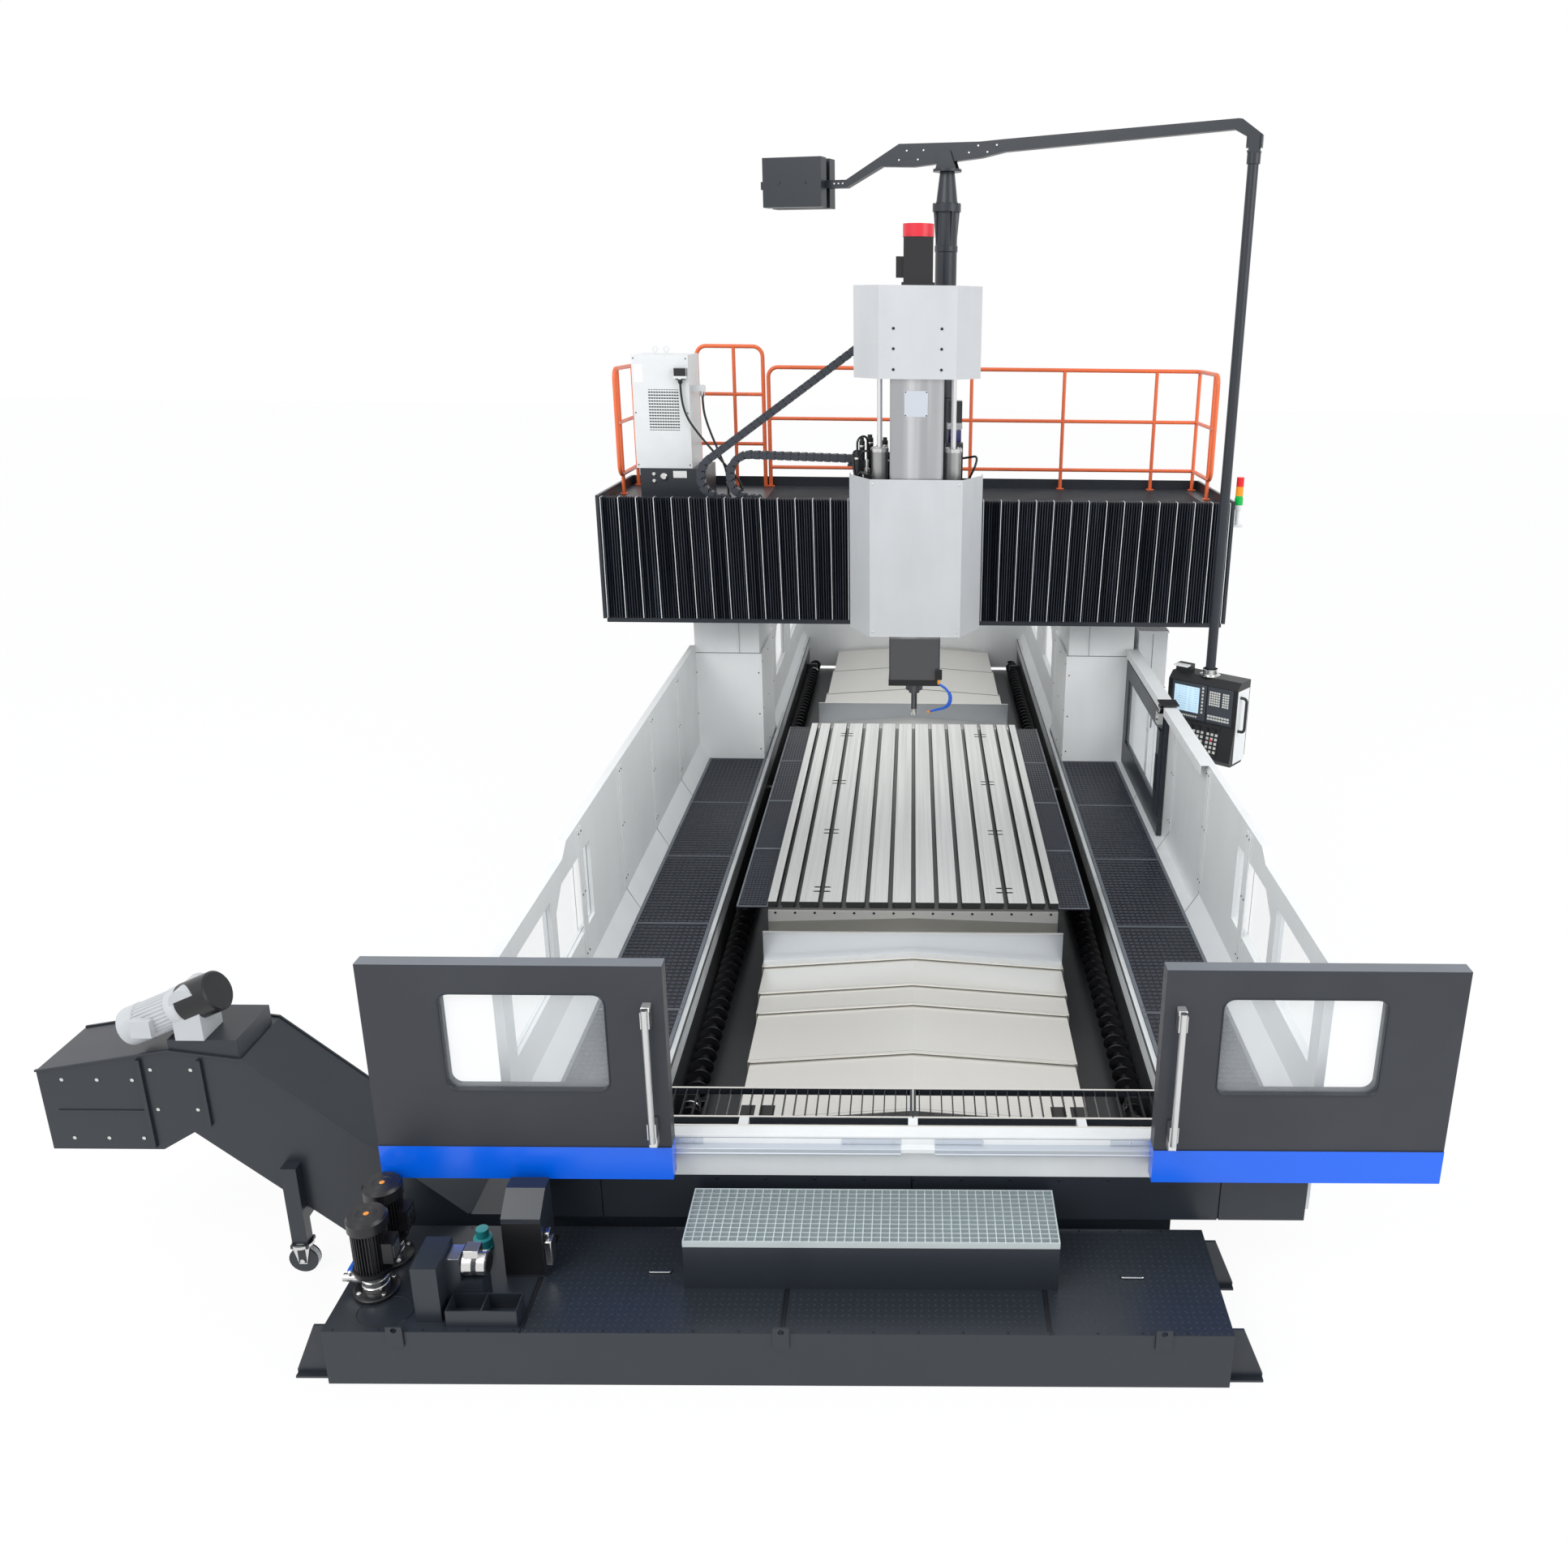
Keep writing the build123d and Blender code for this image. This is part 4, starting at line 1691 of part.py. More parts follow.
def control_box():
    """Operator panel with a neck to the tube, a side handle and the hand unit on top."""
    reach = ARM_TIP_REACH * cos(radians(ARM_BEARING)) + POST_X
    across = ARM_TIP_REACH * sin(radians(ARM_BEARING)) + POST_Y
    top = TUBE_BOTTOM - SLIDE_GAP - BOX_NECK
    half, front = BOX_WIDTH / 2, -BOX_DEPTH / 2 + BOX_SLOPE
    case = along_x(box_profile(top), (-half, half))
    neck = upright_rod((0, 0), (top, top + BOX_NECK), BOX_NECK_RADIUS)
    high, low = top - BOX_HANDLE_HEIGHTS[0], top - BOX_HANDLE_HEIGHTS[1]
    out = half + BOX_HANDLE_REACH
    grip = ((half, front, high), (out, front, high), (out, front, low), (half, front, low))
    handle = bent_tube(grip, BOX_HANDLE_REACH / 2, BOX_HANDLE_RADIUS)
    unit_x = (-half + HAND_UNIT_INSET, -half + HAND_UNIT_INSET + HAND_UNIT_WIDTH)
    unit = block(unit_x, (front, front + HAND_UNIT_DEPTH), (top, top + HAND_UNIT_HEIGHT))
    return Pos(reach, across, 0) * Rot(0, 0, -BOX_YAW) * (case + neck + handle + unit)


# Cable chains
def cable_chain(points, turn):
    """A flat chain along points in the XZ plane, with round turns."""
    corners = [(x, CHAIN_PLACE, z) for x, z in points]
    path = FilletPolyline(*corners, radius=turn)
    plane = Plane(origin=path @ 0, x_dir=(0, 1, 0), z_dir=path % 0)
    return sweep(plane * Rectangle(CHAIN_WIDTH, CHAIN_DEPTH), path=path)


def ram_cable_chain():
    return cable_chain(RAM_CHAIN_ROUTE, RAM_CHAIN_TURN)


def saddle_cable_chain():
    return cable_chain(SADDLE_CHAIN_ROUTE, SADDLE_CHAIN_TURN)


def build():
    save("table", table())
    save("table_lands", table_lands())
    save("table_side_guards", table_guards())
    aprons = apron(TABLE_FRONT) + Pos(0, COVER_SHEET, 0) * apron(TABLE_FRONT + TABLE_LENGTH)
    save("table_end_covers", front_section(0) + rear_section(0) + aprons)
    for order in (1, 2, 3):
        save(f"front_way_cover_{order}", front_section(order))
    for order in (1, 2):
        save(f"rear_way_cover_{order}", rear_section(order))
    fixed_front = front_section(len(FRONT_COVER_EDGES) - 1)
    save("way_covers_fixed", fixed_front + rear_section(REAR_COVER_COUNT - 1))
    save("bed", bed())
    save("chip_troughs", chip_troughs())
    save("chip_auger_left", auger(-1))
    save("chip_auger_right", auger(1))
    save("side_wall_left", side_wall(-1))
    save("side_wall_right", side_wall(1))
    save("wall_window_panes", wall_panes())
    save("side_door", side_door())
    save("side_door_glass", side_door_glass())
    save("rear_enclosure", rear_enclosure())
    save("walkways", walkways())
    save("front_sill", front_sill())
    save("lower_front_cover", lower_front_cover())
    save("front_grating", front_grating())
    save("front_step", front_step())
    save("front_door_left", front_door(-1))
    save("front_door_right", front_door(1))
    save("front_door_glass_left", front_door_glass(-1))
    save("front_door_glass_right", front_door_glass(1))
    save("coolant_tank", coolant_tank())
    save("coolant_pumps", coolant_pumps())
    save("tank_fittings", tank_fittings())
    save("conveyor_body", conveyor_body())
    save("conveyor_drive", conveyor_drive())
    save("columns", columns())
    save("electrical_cabinet", electrical_cabinet())
    save("crossbeam", crossbeam())
    save("platform_handrail", platform_handrail())
    save("chiller", chiller())
    save("chiller_hoses", chiller_hoses())
    save("signal_tower", signal_tower())
    save("bellows_left", bellows(-1))
    save("bellows_right", bellows(1))
    save("saddle", saddle())
    save("saddle_cover", saddle_cover())
    save("balance_cylinders", balance_cylinders())
    save("ram_servo", ram_servo())
    save("ram", ram())
    save("ram_cover", ram_cover())
    save("balance_rods", balance_rods())
    save("spindle_motor", spindle_motor())
    save("spindle", spindle())
    save("coolant_nozzle", coolant_nozzle())
    save("operator_post", operator_post())
    save("arm_yoke", arm_yoke())
    save("operator_arm", operator_arm())
    save("drop_tube", drop_tube())
    save("control_box", control_box())
    save("ram_cable_chain", ram_cable_chain())
    save("saddle_cable_chain", saddle_cable_chain())


build()
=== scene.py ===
import logging
import math
from dataclasses import dataclass, field
from enum import Enum
from typing import Sequence

import bmesh
import bpy
import numpy as np
from mathutils import Matrix, Vector


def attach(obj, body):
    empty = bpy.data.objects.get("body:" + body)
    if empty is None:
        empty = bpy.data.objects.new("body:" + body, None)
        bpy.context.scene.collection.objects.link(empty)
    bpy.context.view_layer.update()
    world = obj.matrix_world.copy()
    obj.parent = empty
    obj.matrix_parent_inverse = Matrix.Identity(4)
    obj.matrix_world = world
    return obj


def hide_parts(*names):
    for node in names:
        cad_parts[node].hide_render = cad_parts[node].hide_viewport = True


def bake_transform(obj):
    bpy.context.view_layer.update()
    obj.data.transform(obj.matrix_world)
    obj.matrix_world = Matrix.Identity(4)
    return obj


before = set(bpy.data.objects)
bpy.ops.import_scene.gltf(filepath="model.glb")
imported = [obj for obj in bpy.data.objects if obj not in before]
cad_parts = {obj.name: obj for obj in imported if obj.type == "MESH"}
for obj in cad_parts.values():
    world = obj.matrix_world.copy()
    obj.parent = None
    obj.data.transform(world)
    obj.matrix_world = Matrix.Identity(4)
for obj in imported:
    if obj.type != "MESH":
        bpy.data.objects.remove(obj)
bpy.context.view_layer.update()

LOG = logging.getLogger("gantry_mill")
FULL_TURN = 2.0 * np.pi
Array = np.ndarray
Point = tuple[float, float, float]
Colour = tuple[float, float, float]
Places = Array | Sequence[Point]
Span = tuple[float | Array, float | Array]
CUBE = np.array([(x, y, z) for x in (0, 1) for y in (0, 1) for z in (0, 1)], dtype=float)
CUBE_SIDES = np.array([(0, 1, 3, 2), (4, 6, 7, 5), (0, 4, 5, 1), (2, 3, 7, 6), (0, 2, 6, 4), (1, 5, 7, 3)])
AXES = {
    "x": (1.0, 0.0, 0.0), "y": (0.0, 1.0, 0.0), "z": (0.0, 0.0, 1.0),
    "-x": (-1.0, 0.0, 0.0), "-y": (0.0, -1.0, 0.0), "-z": (0.0, 0.0, -1.0),
}
BLACK, LIGHT = (0.0, 0.0, 0.0), (1.0, 1.0, 1.0)
SHARP, BEVELLED = math.radians(32.0), math.radians(40.0)
GLOW_SHARE, LEG_SHARE = 0.93, 0.48


class Sock:
    """One shader socket, with Python operators that add Math nodes."""

    def __init__(self, maker: "NodeMaker", socket: bpy.types.NodeSocket) -> None:
        """Wraps a socket of the maker's node tree."""
        self.maker, self.socket = maker, socket

    def math(self, operation: str, *others: "Sock | float") -> "Sock":
        """Adds a Math node.

        Args:
            operation: Blender's name of the operation.
            others: the second and third operands.

        Returns:
            The node's value.
        """
        return self.maker.node("ShaderNodeMath", {"operation": operation}, dict(enumerate((self, *others))))

    def __add__(self, other: "Sock | float") -> "Sock":
        """Sum."""
        return self.math("ADD", other)

    def __sub__(self, other: "Sock | float") -> "Sock":
        """Difference."""
        return self.math("SUBTRACT", other)

    def __rsub__(self, other: float) -> "Sock":
        """Difference, reflected."""
        return self.math("MULTIPLY", -1.0).math("ADD", other)

    def __mul__(self, other: "Sock | float") -> "Sock":
        """Product."""
        return self.math("MULTIPLY", other)

    __radd__, __rmul__ = __add__, __mul__

    def above(self, limit: float) -> "Sock":
        """One where the value is over the limit, or else zero."""
        return self.math("GREATER_THAN", limit)

    def below(self, limit: float) -> "Sock":
        """One where the value is under the limit, or else zero."""
        return self.math("LESS_THAN", limit)

    def size(self) -> "Sock":
        """The value without its sign."""
        return self.math("ABSOLUTE")

    def ramp(self, low: float, high: float) -> "Sock":
        """A smooth rise from zero at low to one at high."""
        settings = {"interpolation_type": "SMOOTHSTEP"}
        return self.maker.node("ShaderNodeMapRange", settings, {"Value": self, "From Min": low, "From Max": high})

    def wave(self, pitch: float) -> "Sock":
        """A sine of the value between zero and one, one turn a pitch."""
        return (self * (2.0 * math.pi / pitch)).math("SINE") * 0.5 + 0.5

    def every(self, pitch: float) -> "Sock":
        """The place inside its own pitch, from zero to one."""
        return (self * (1.0 / pitch)).math("FRACT")


@dataclass
class NodeMaker:
    """Adds nodes to one node tree."""

    tree: bpy.types.NodeTree

    def node(self, kind: str, settings: dict | None = None, values: dict | None = None, out: int | str = 0) -> Sock:
        """Adds any node.

        Args:
            kind: the node's type name.
            settings: attributes that are set first.
            values: numbers, colours or links by socket name or number.
            out: the output that is wanted.

        Returns:
            That output.
        """
        made = self.tree.nodes.new(kind)
        for key, value in (settings or {}).items():
            setattr(made, key, value)
        for key, value in (values or {}).items():
            self.feed(made.inputs[key], value)
        return Sock(self, made.outputs[out])

    def feed(self, socket: bpy.types.NodeSocket, value: "Sock | float | Sequence[float]") -> None:
        """Links or sets one input."""
        if isinstance(value, Sock):
            self.tree.links.new(value.socket, socket)
        elif isinstance(value, tuple) and socket.type == "RGBA":
            socket.default_value = (*value, 1.0)
        else:
            socket.default_value = value

    def seen(self, share: float, plain: Sock, glow: Sock) -> Sock:
        """A shader that turns from plain to glow, by a share, for rays from the camera, a gloss or a clear sheet."""
        kinds = ("Is Camera Ray", "Is Glossy Ray", "Is Transmission Ray")
        camera, gloss, clear = (self.node("ShaderNodeLightPath", out=kind) for kind in kinds)
        return self.node("ShaderNodeMixShader", None, {0: (camera + gloss + clear) * share, 1: plain, 2: glow})

    def show(self, kind: str, surface: Sock) -> None:
        """Links a surface to a new output node of the given kind."""
        self.tree.links.new(surface.socket, self.tree.nodes.new(kind).inputs["Surface"])


class ShaderMaker(NodeMaker):
    """Builds one material around a Principled shader."""

    def __init__(self, name: str) -> None:
        """Starts an empty material of the given name."""
        self.material = bpy.data.materials.new(name)
        self.material.use_nodes = True
        super().__init__(self.material.node_tree)
        self.tree.nodes.clear()
        self.shader = self.tree.nodes.new("ShaderNodeBsdfPrincipled")

    def axis(self, name: str) -> Sock:
        """One coordinate of the point on the object, in metres."""
        place = self.node("ShaderNodeTexCoord", out="Object")
        return self.node("ShaderNodeSeparateXYZ", None, {0: place}, out=name)

    def noise(self, scale: float | Sequence[float], detail: float = 3.0, roughness: float = 0.5) -> Sock:
        """Smooth noise; three scales stretch it along the axes."""
        vector, size = self.node("ShaderNodeTexCoord", out="Object"), scale
        if isinstance(scale, tuple):
            vector, size = self.node("ShaderNodeVectorMath", {"operation": "MULTIPLY"}, {0: vector, 1: scale}), 1.0
        values = {"Vector": vector, "Scale": size, "Detail": detail, "Roughness": roughness}
        return self.node("ShaderNodeTexNoise", None, values, out="Fac")

    def mix(self, factor: "Sock | float", first: "Sock | Colour", second: "Sock | Colour") -> Sock:
        """A colour between two."""
        return self.node("ShaderNodeMix", {"data_type": "RGBA"}, {0: factor, 6: first, 7: second}, out=2)

    def bump(self, height: Sock, distance: float) -> Sock:
        """A bumped normal of the given depth in metres."""
        values = {"Height": height, "Distance": distance, "Strength": 1.0}
        return self.node("ShaderNodeBump", None, values, out="Normal")

    def finish(self, glow: Sock | None = None, **inputs: "Sock | float | Colour") -> bpy.types.Material:
        """Feeds the shader's sockets, named with underscores, mixes in a glow, and returns the material."""
        for key, value in inputs.items():
            self.feed(self.shader.inputs[key.replace("_", " ")], value)
        surface = Sock(self, self.shader.outputs[0])
        self.show("ShaderNodeOutputMaterial", surface if glow is None else self.seen(GLOW_SHARE, surface, glow))
        return self.material


def unit(vectors: Array) -> Array:
    """Vectors divided by their lengths."""
    return vectors / np.linalg.norm(vectors, axis=-1, keepdims=True)


def across(direction: Array) -> tuple[Array, Array]:
    """Two unit vectors square to a direction and to each other."""
    helper = np.eye(3)[int(np.argmin(np.abs(direction)))]
    first = unit(np.cross(direction, helper))
    return first, np.cross(direction, first)


def rows(*values: Sequence[float] | Array | float) -> Array:
    """Every combination of the given x, y and z values, one a row."""
    mesh = np.meshgrid(*(np.atleast_1d(np.asarray(v, dtype=float)) for v in values), indexing="ij")
    return np.stack([part.ravel() for part in mesh], axis=1)


def ring(centre: Point, radius: float | Array, count: int, start: float = 0.0, closed: bool = False) -> Array:
    """Points round a level circle: centre + radius * (cos(angle), sin(angle), 0).

    Args:
        centre: the circle's middle.
        radius: one radius, a column with one for each point, or a row with one for each direction.
        count: how many points.
        start: angle of the first.
        closed: whether the first point comes again at the end.

    Returns:
        The points.
    """
    angle = start + np.linspace(0.0, FULL_TURN, count + closed, endpoint=closed)
    level = radius * np.stack((np.cos(angle), np.sin(angle)), axis=1)
    return np.asarray(centre, dtype=float) + np.insert(level, 2, 0.0, axis=1)


def rounded(corners: Sequence[Point], radius: float, steps: int = 6) -> Array:
    """A path whose inner corners are round.

    Each corner is a circular arc about the centre that both legs touch: it blends the two spokes by
    sin((1-t)a) and sin(ta) over sin(a), where a is the turn, with the tangent points nearer on a short run.

    Args:
        corners: the path's corner points.
        radius: distance from each corner to its tangent points.
        steps: stretches in each arc.

    Returns:
        The path's points.
    """
    route = np.asarray(corners, dtype=float)
    before, corner, after = route[:-2], route[1:-1], route[2:]
    share = np.full(len(route) - 1, LEG_SHARE)
    share[[0, -1]] = 2 * LEG_SHARE
    lengths = share * np.linalg.norm(np.diff(route, axis=0), axis=1)
    reach = np.minimum(radius, np.minimum(lengths[:-1], lengths[1:]))[:, None]
    back, ahead = unit(before - corner), unit(after - corner)
    half = np.arccos(np.clip(np.sum(back * ahead, axis=1, keepdims=True), -1.0, 1.0)) / 2
    centre = corner + unit(back + ahead) * reach / np.cos(half)
    first, second = corner + back * reach - centre, corner + ahead * reach - centre
    turn = (np.pi - 2 * half)[:, None]
    t = np.linspace(0.0, 1.0, steps + 1)[None, :, None]
    arcs = (np.sin((1 - t) * turn) * first[:, None] + np.sin(t * turn) * second[:, None]) / np.sin(turn)
    arcs = arcs + centre[:, None]
    return np.vstack((route[:1], arcs.reshape(-1, 3), route[-1:]))


def path_frames(path: Array) -> tuple[Array, Array]:
    """Two unit vectors square to a path at each of its points, carried along it with no twist."""
    tangents = unit(np.gradient(path, axis=0))
    sides = [across(tangents[0])[0]]
    for tangent in tangents[1:]:
        sides.append(unit(sides[-1] - tangent * float(sides[-1] @ tangent)))
    side = np.array(sides)
    return side, np.cross(tangents, side)


def resample(path: Array, lengths: Array, places: Array) -> Array:
    """The points at the given places along a path whose own points stand at the given lengths."""
    return np.stack([np.interp(places, lengths, path[:, axis]) for axis in range(3)], axis=1)


def along(path: Array, pitch: float, start: float) -> tuple[Array, Array]:
    """Points and directions at equal arc lengths along a path.

    Args:
        path: the path's points.
        pitch: arc length between neighbours.
        start: arc length before the first.

    Returns:
        The points and the unit tangents there.
    """
    lengths = np.concatenate(([0.0], np.cumsum(np.linalg.norm(np.diff(path, axis=0), axis=1))))
    places, reach = np.arange(start, lengths[-1], pitch), 0.2 * pitch
    ahead, behind = resample(path, lengths, places + reach), resample(path, lengths, places - reach)
    return resample(path, lengths, places), unit(ahead - behind)


def shaded(colour: Colour, factor: float) -> Colour:
    """A colour times a factor."""
    return tuple(channel * factor for channel in colour)


def new_object(name: str, data: bpy.types.ID) -> bpy.types.Object:
    """Puts a new object with the given data into the scene."""
    made = bpy.data.objects.new(name, data)
    bpy.context.scene.collection.objects.link(made)
    return made


@dataclass
class Shape:
    """A growing mesh: points and faces kept as whole arrays."""

    points: list[Array] = field(default_factory=list)
    faces: list[Array] = field(default_factory=list)
    size: int = 0

    def add(self, points: Array, *faces: Array) -> "Shape":
        """Takes in points and the faces between them, counted from zero."""
        flat = np.asarray(points, dtype=float).reshape(-1, 3)
        self.points.append(flat)
        self.faces.extend(np.atleast_2d(face) + self.size for face in faces)
        self.size += len(flat)
        return self

    def boxes(self, x: Span, y: Span, z: Span) -> "Shape":
        """Square-edged bars, one for each entry of the spans.

        Every corner is low + bit * (high - low), with the eight on-off bits of a cube.

        Args:
            x: low and high values across, as numbers or arrays.
            y: the same along the table's travel.
            z: the same upwards.

        Returns:
            The shape itself.
        """
        values = np.broadcast_arrays(*(np.atleast_1d(np.asarray(v, dtype=float)) for v in (*x, *y, *z)))
        low = np.stack(values[0::2], axis=1)[:, None, :]
        high = np.stack(values[1::2], axis=1)[:, None, :]
        sides = CUBE_SIDES[None] + 8 * np.arange(len(low))[:, None, None]
        return self.add(low + CUBE[None] * (high - low), sides.reshape(-1, 4))

    def loft(self, rings: Array) -> "Shape":
        """Walls between rings of equal count, with flat ends: point j of ring i joins j and j+1 of rings i and i+1."""
        count, around = rings.shape[:2]
        i, j = np.meshgrid(np.arange(count - 1), np.arange(around), indexing="ij")
        ahead = (j + 1) % around
        walls = np.stack((i * around + j, i * around + ahead, (i + 1) * around + ahead, (i + 1) * around + j), axis=-1)
        last = np.arange(around) + (count - 1) * around
        return self.add(rings, walls.reshape(-1, 4), np.arange(around)[None, ::-1], last[None])

    def tube(self, path: Places, radius: float | Array, sides: int = 12) -> "Shape":
        """A round tube: path + radius * (cos(angle) * side + sin(angle) * up), the frame carried with no twist."""
        path = np.asarray(path, dtype=float)
        side, up = path_frames(path)
        angle = np.linspace(0.0, FULL_TURN, sides, endpoint=False)[None, :, None]
        reach = np.broadcast_to(np.asarray(radius, dtype=float), (len(path),))[:, None, None]
        circle = np.cos(angle) * side[:, None, :] + np.sin(angle) * up[:, None, :]
        return self.loft(path[:, None, :] + reach * circle)

    def lathe(self, origin: Point | Array, axis: str | Array, profile: Sequence[tuple[float, float]],
              sides: int = 28) -> "Shape":
        """A turned form: origin + height * axis + radius * (cos(angle) * side + sin(angle) * up)."""
        direction = unit(np.asarray(AXES[axis] if isinstance(axis, str) else axis))
        side, up = across(direction)
        table = np.asarray(profile, dtype=float)
        angle = np.linspace(0.0, FULL_TURN, sides, endpoint=False)[None, :, None]
        circle = np.cos(angle) * side + np.sin(angle) * up
        middle = np.asarray(origin, dtype=float) + table[:, 1, None] * direction
        return self.loft(middle[:, None, :] + table[:, 0, None, None] * circle)

    def prism(self, outline: Sequence[tuple[float, float]] | Array, axis: str, span: tuple[float, float]) -> "Shape":
        """An outline in the other two axes, drawn out along one axis from the span's first value to its second."""
        flat, order = np.asarray(outline, dtype=float), "xyz".index(axis)
        return self.loft(np.stack([np.insert(flat, order, value, axis=1) for value in span]))

    def placed(self, other: "Shape", centres: Array, first: Array, second: Array, third: Array) -> "Shape":
        """Copies of another shape, each with its own centre and its own three directions."""
        turned = np.stack(np.broadcast_arrays(first, second, third, centres)[:3], axis=1)
        moved = centres[:, None, :] + np.concatenate(other.points)[None] @ turned
        shift = (np.arange(len(centres)) * other.size)[:, None, None]
        return self.add(moved, *((face[None] + shift).reshape(-1, face.shape[1]) for face in other.faces))

    def repeat(self, other: "Shape", places: Places) -> "Shape":
        """Copies of another shape, each moved by one place."""
        return self.placed(other, np.asarray(places, dtype=float), *np.eye(3))

    def heads(self, places: Places, axis: str, radius: float = 0.008, height: float = 0.004) -> "Shape":
        """Small eight-sided screw heads at the places, standing along an axis such as y or -y."""
        profile = ((radius, 0.0), (radius, height * 0.7), (radius * 0.7, height))
        return self.repeat(Shape().lathe((0, 0, 0), axis, profile, 8), places)

    def mirrored(self) -> "Shape":
        """Takes in the shape's own mirror image across the middle plane."""
        self.points.extend([part * np.array([-1.0, 1.0, 1.0]) for part in self.points])
        self.faces.extend([face[:, ::-1] + self.size for face in self.faces])
        self.size *= 2
        return self

    def make(self, name: str, finish: "Finish", body: str = "frame", replaces: Sequence[str] = (), bevel: float = 0.0,
             blend: tuple | None = None) -> None:
        """Turns the arrays into a Blender piece.

        Args:
            name: the piece's plain name.
            finish: its material.
            body: the body that it rides on.
            replaces: solids that it stands for.
            bevel: width of the rounded edges, or zero.
            blend: second body, start and end, for a piece that crosses a joint; these values are not used: when it is
                given, the piece only keeps its place in the world and rides on no body.
        """
        mesh = bpy.data.meshes.new(name)
        faces = [row for face in self.faces for row in face.tolist()]
        mesh.from_pydata(np.concatenate(self.points).tolist(), [], faces)
        grown = bmesh.new()
        grown.from_mesh(mesh)
        bmesh.ops.recalc_face_normals(grown, faces=grown.faces)
        grown.to_mesh(mesh)
        grown.free()
        mesh.polygons.foreach_set("use_smooth", np.ones(len(mesh.polygons), dtype=bool))
        mesh.set_sharp_from_angle(angle=SHARP)
        mesh.materials.append(finish.material())
        piece = new_object(name, mesh)
        if bevel > 0.0:
            edge = piece.modifiers.new("rounded_edges", "BEVEL")
            edge.width, edge.segments, edge.limit_method, edge.angle_limit = bevel, 2, "ANGLE", BEVELLED
        if blend is not None:
            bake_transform(piece)
        else:
            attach(piece, body)
        if replaces:
            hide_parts(*replaces)
        LOG.info("%s: %d faces", name, len(mesh.polygons))


def bars(name: str, finish: "Finish", *spans: tuple[Span, Span, Span], body: str = "frame", bevel: float = 0.0) -> None:
    """Makes a piece of square-edged bars.

    Args:
        name: the piece's plain name.
        finish: its material.
        spans: each bar's low and high values across, along and upwards.
        body: the body that it rides on.
        bevel: width of the rounded edges, or zero.
    """
    shape = Shape()
    for span in spans:
        shape.boxes(*span)
    shape.make(name, finish, body, bevel=bevel)


@dataclass(frozen=True)
class Paint:
    """Powder or brush paint on steel: a fine orange peel, faint dirt and duller patches."""

    name: str
    colour: Colour
    roughness: float = 0.4
    peel: float = 0.00012
    dirt: float = 0.12

    def build(self) -> bpy.types.Material:
        """Makes the material."""
        maker = ShaderMaker(self.name)
        cloud = maker.noise(1.7, 5.0, 0.6)
        fine = maker.noise(380.0, 2.0)
        streak = maker.noise((5.0, 5.0, 0.7), 3.0, 0.6)
        dirty = (cloud * 0.6 + streak * 0.4).ramp(0.38, 0.72)
        return maker.finish(
            Base_Color=maker.mix(dirty, self.colour, shaded(self.colour, 1.0 - self.dirt)),
            Roughness=cloud * 0.12 + (self.roughness - 0.06),
            Normal=maker.bump(fine, self.peel),
        )


@dataclass(frozen=True)
class Steel:
    """Bare steel with grinding or brushing lines along one axis."""

    name: str
    colour: Colour
    roughness: float = 0.32
    grain: tuple[float, float, float] = (4.0, 900.0, 900.0)
    contrast: float = 0.12
    depth: float = 0.00006
    metallic: float = 1.0

    def build(self) -> bpy.types.Material:
        """Makes the material."""
        maker = ShaderMaker(self.name)
        lines = maker.noise(self.grain, 4.0, 0.7)
        cloud = maker.noise(1.3, 4.0, 0.6)
        return maker.finish(
            Base_Color=maker.mix(lines * 0.5 + cloud * 0.5, self.colour, shaded(self.colour, 1.0 - self.contrast)),
            Roughness=lines * 0.16 + cloud * 0.08 + (self.roughness - 0.12),
            Metallic=self.metallic,
            Normal=maker.bump(lines, self.depth),
        )


@dataclass(frozen=True)
class LandIron:
    """Ground table lands: bright long streaks on top, and near-black painted shade down in the slots and on the lands'
    sides.
    """

    name: str
    top: float = 0.9495
    edge: float = 0.0168
    bright: Colour = (0.93, 0.935, 0.91)
    worn: Colour = (0.74, 0.75, 0.735)
    # Near-black colour painted as shade on every face below the ground tops: the slots and the lands' sides.
    slot: Colour = (0.008, 0.011, 0.01)

    def build(self) -> bpy.types.Material:
        """Makes the material."""
        maker = ShaderMaker(self.name)
        streaks = maker.noise((38.0, 0.35, 1.0), 4.0, 0.65)
        grain = maker.noise((900.0, 4.0, 900.0), 3.0, 0.6)
        across = maker.axis("X")
        inner = ((across + 0.08).every(0.16) * 0.16 - 0.08).size().above(self.edge)
        inner = 1.0 - (1.0 - inner) * across.size().below(0.88)
        outer = (across.size() - 0.925).size().above(self.edge)
        face = maker.axis("Z").ramp(self.top - 0.003, self.top) * inner * outer
        steel = maker.mix(streaks.ramp(0.3, 0.72) * 0.8 + grain * 0.2, self.bright, self.worn)
        # Base colour: steel on the ground tops, and the near-black painted shade on every face below them.
        return maker.finish(
            Base_Color=maker.mix(face, self.slot, steel),
            Roughness=(streaks * 0.2 + grain * 0.1 - 0.45) * face + 0.7,
            Metallic=face * 0.7,
            Normal=maker.bump(grain, 0.00005),
        )


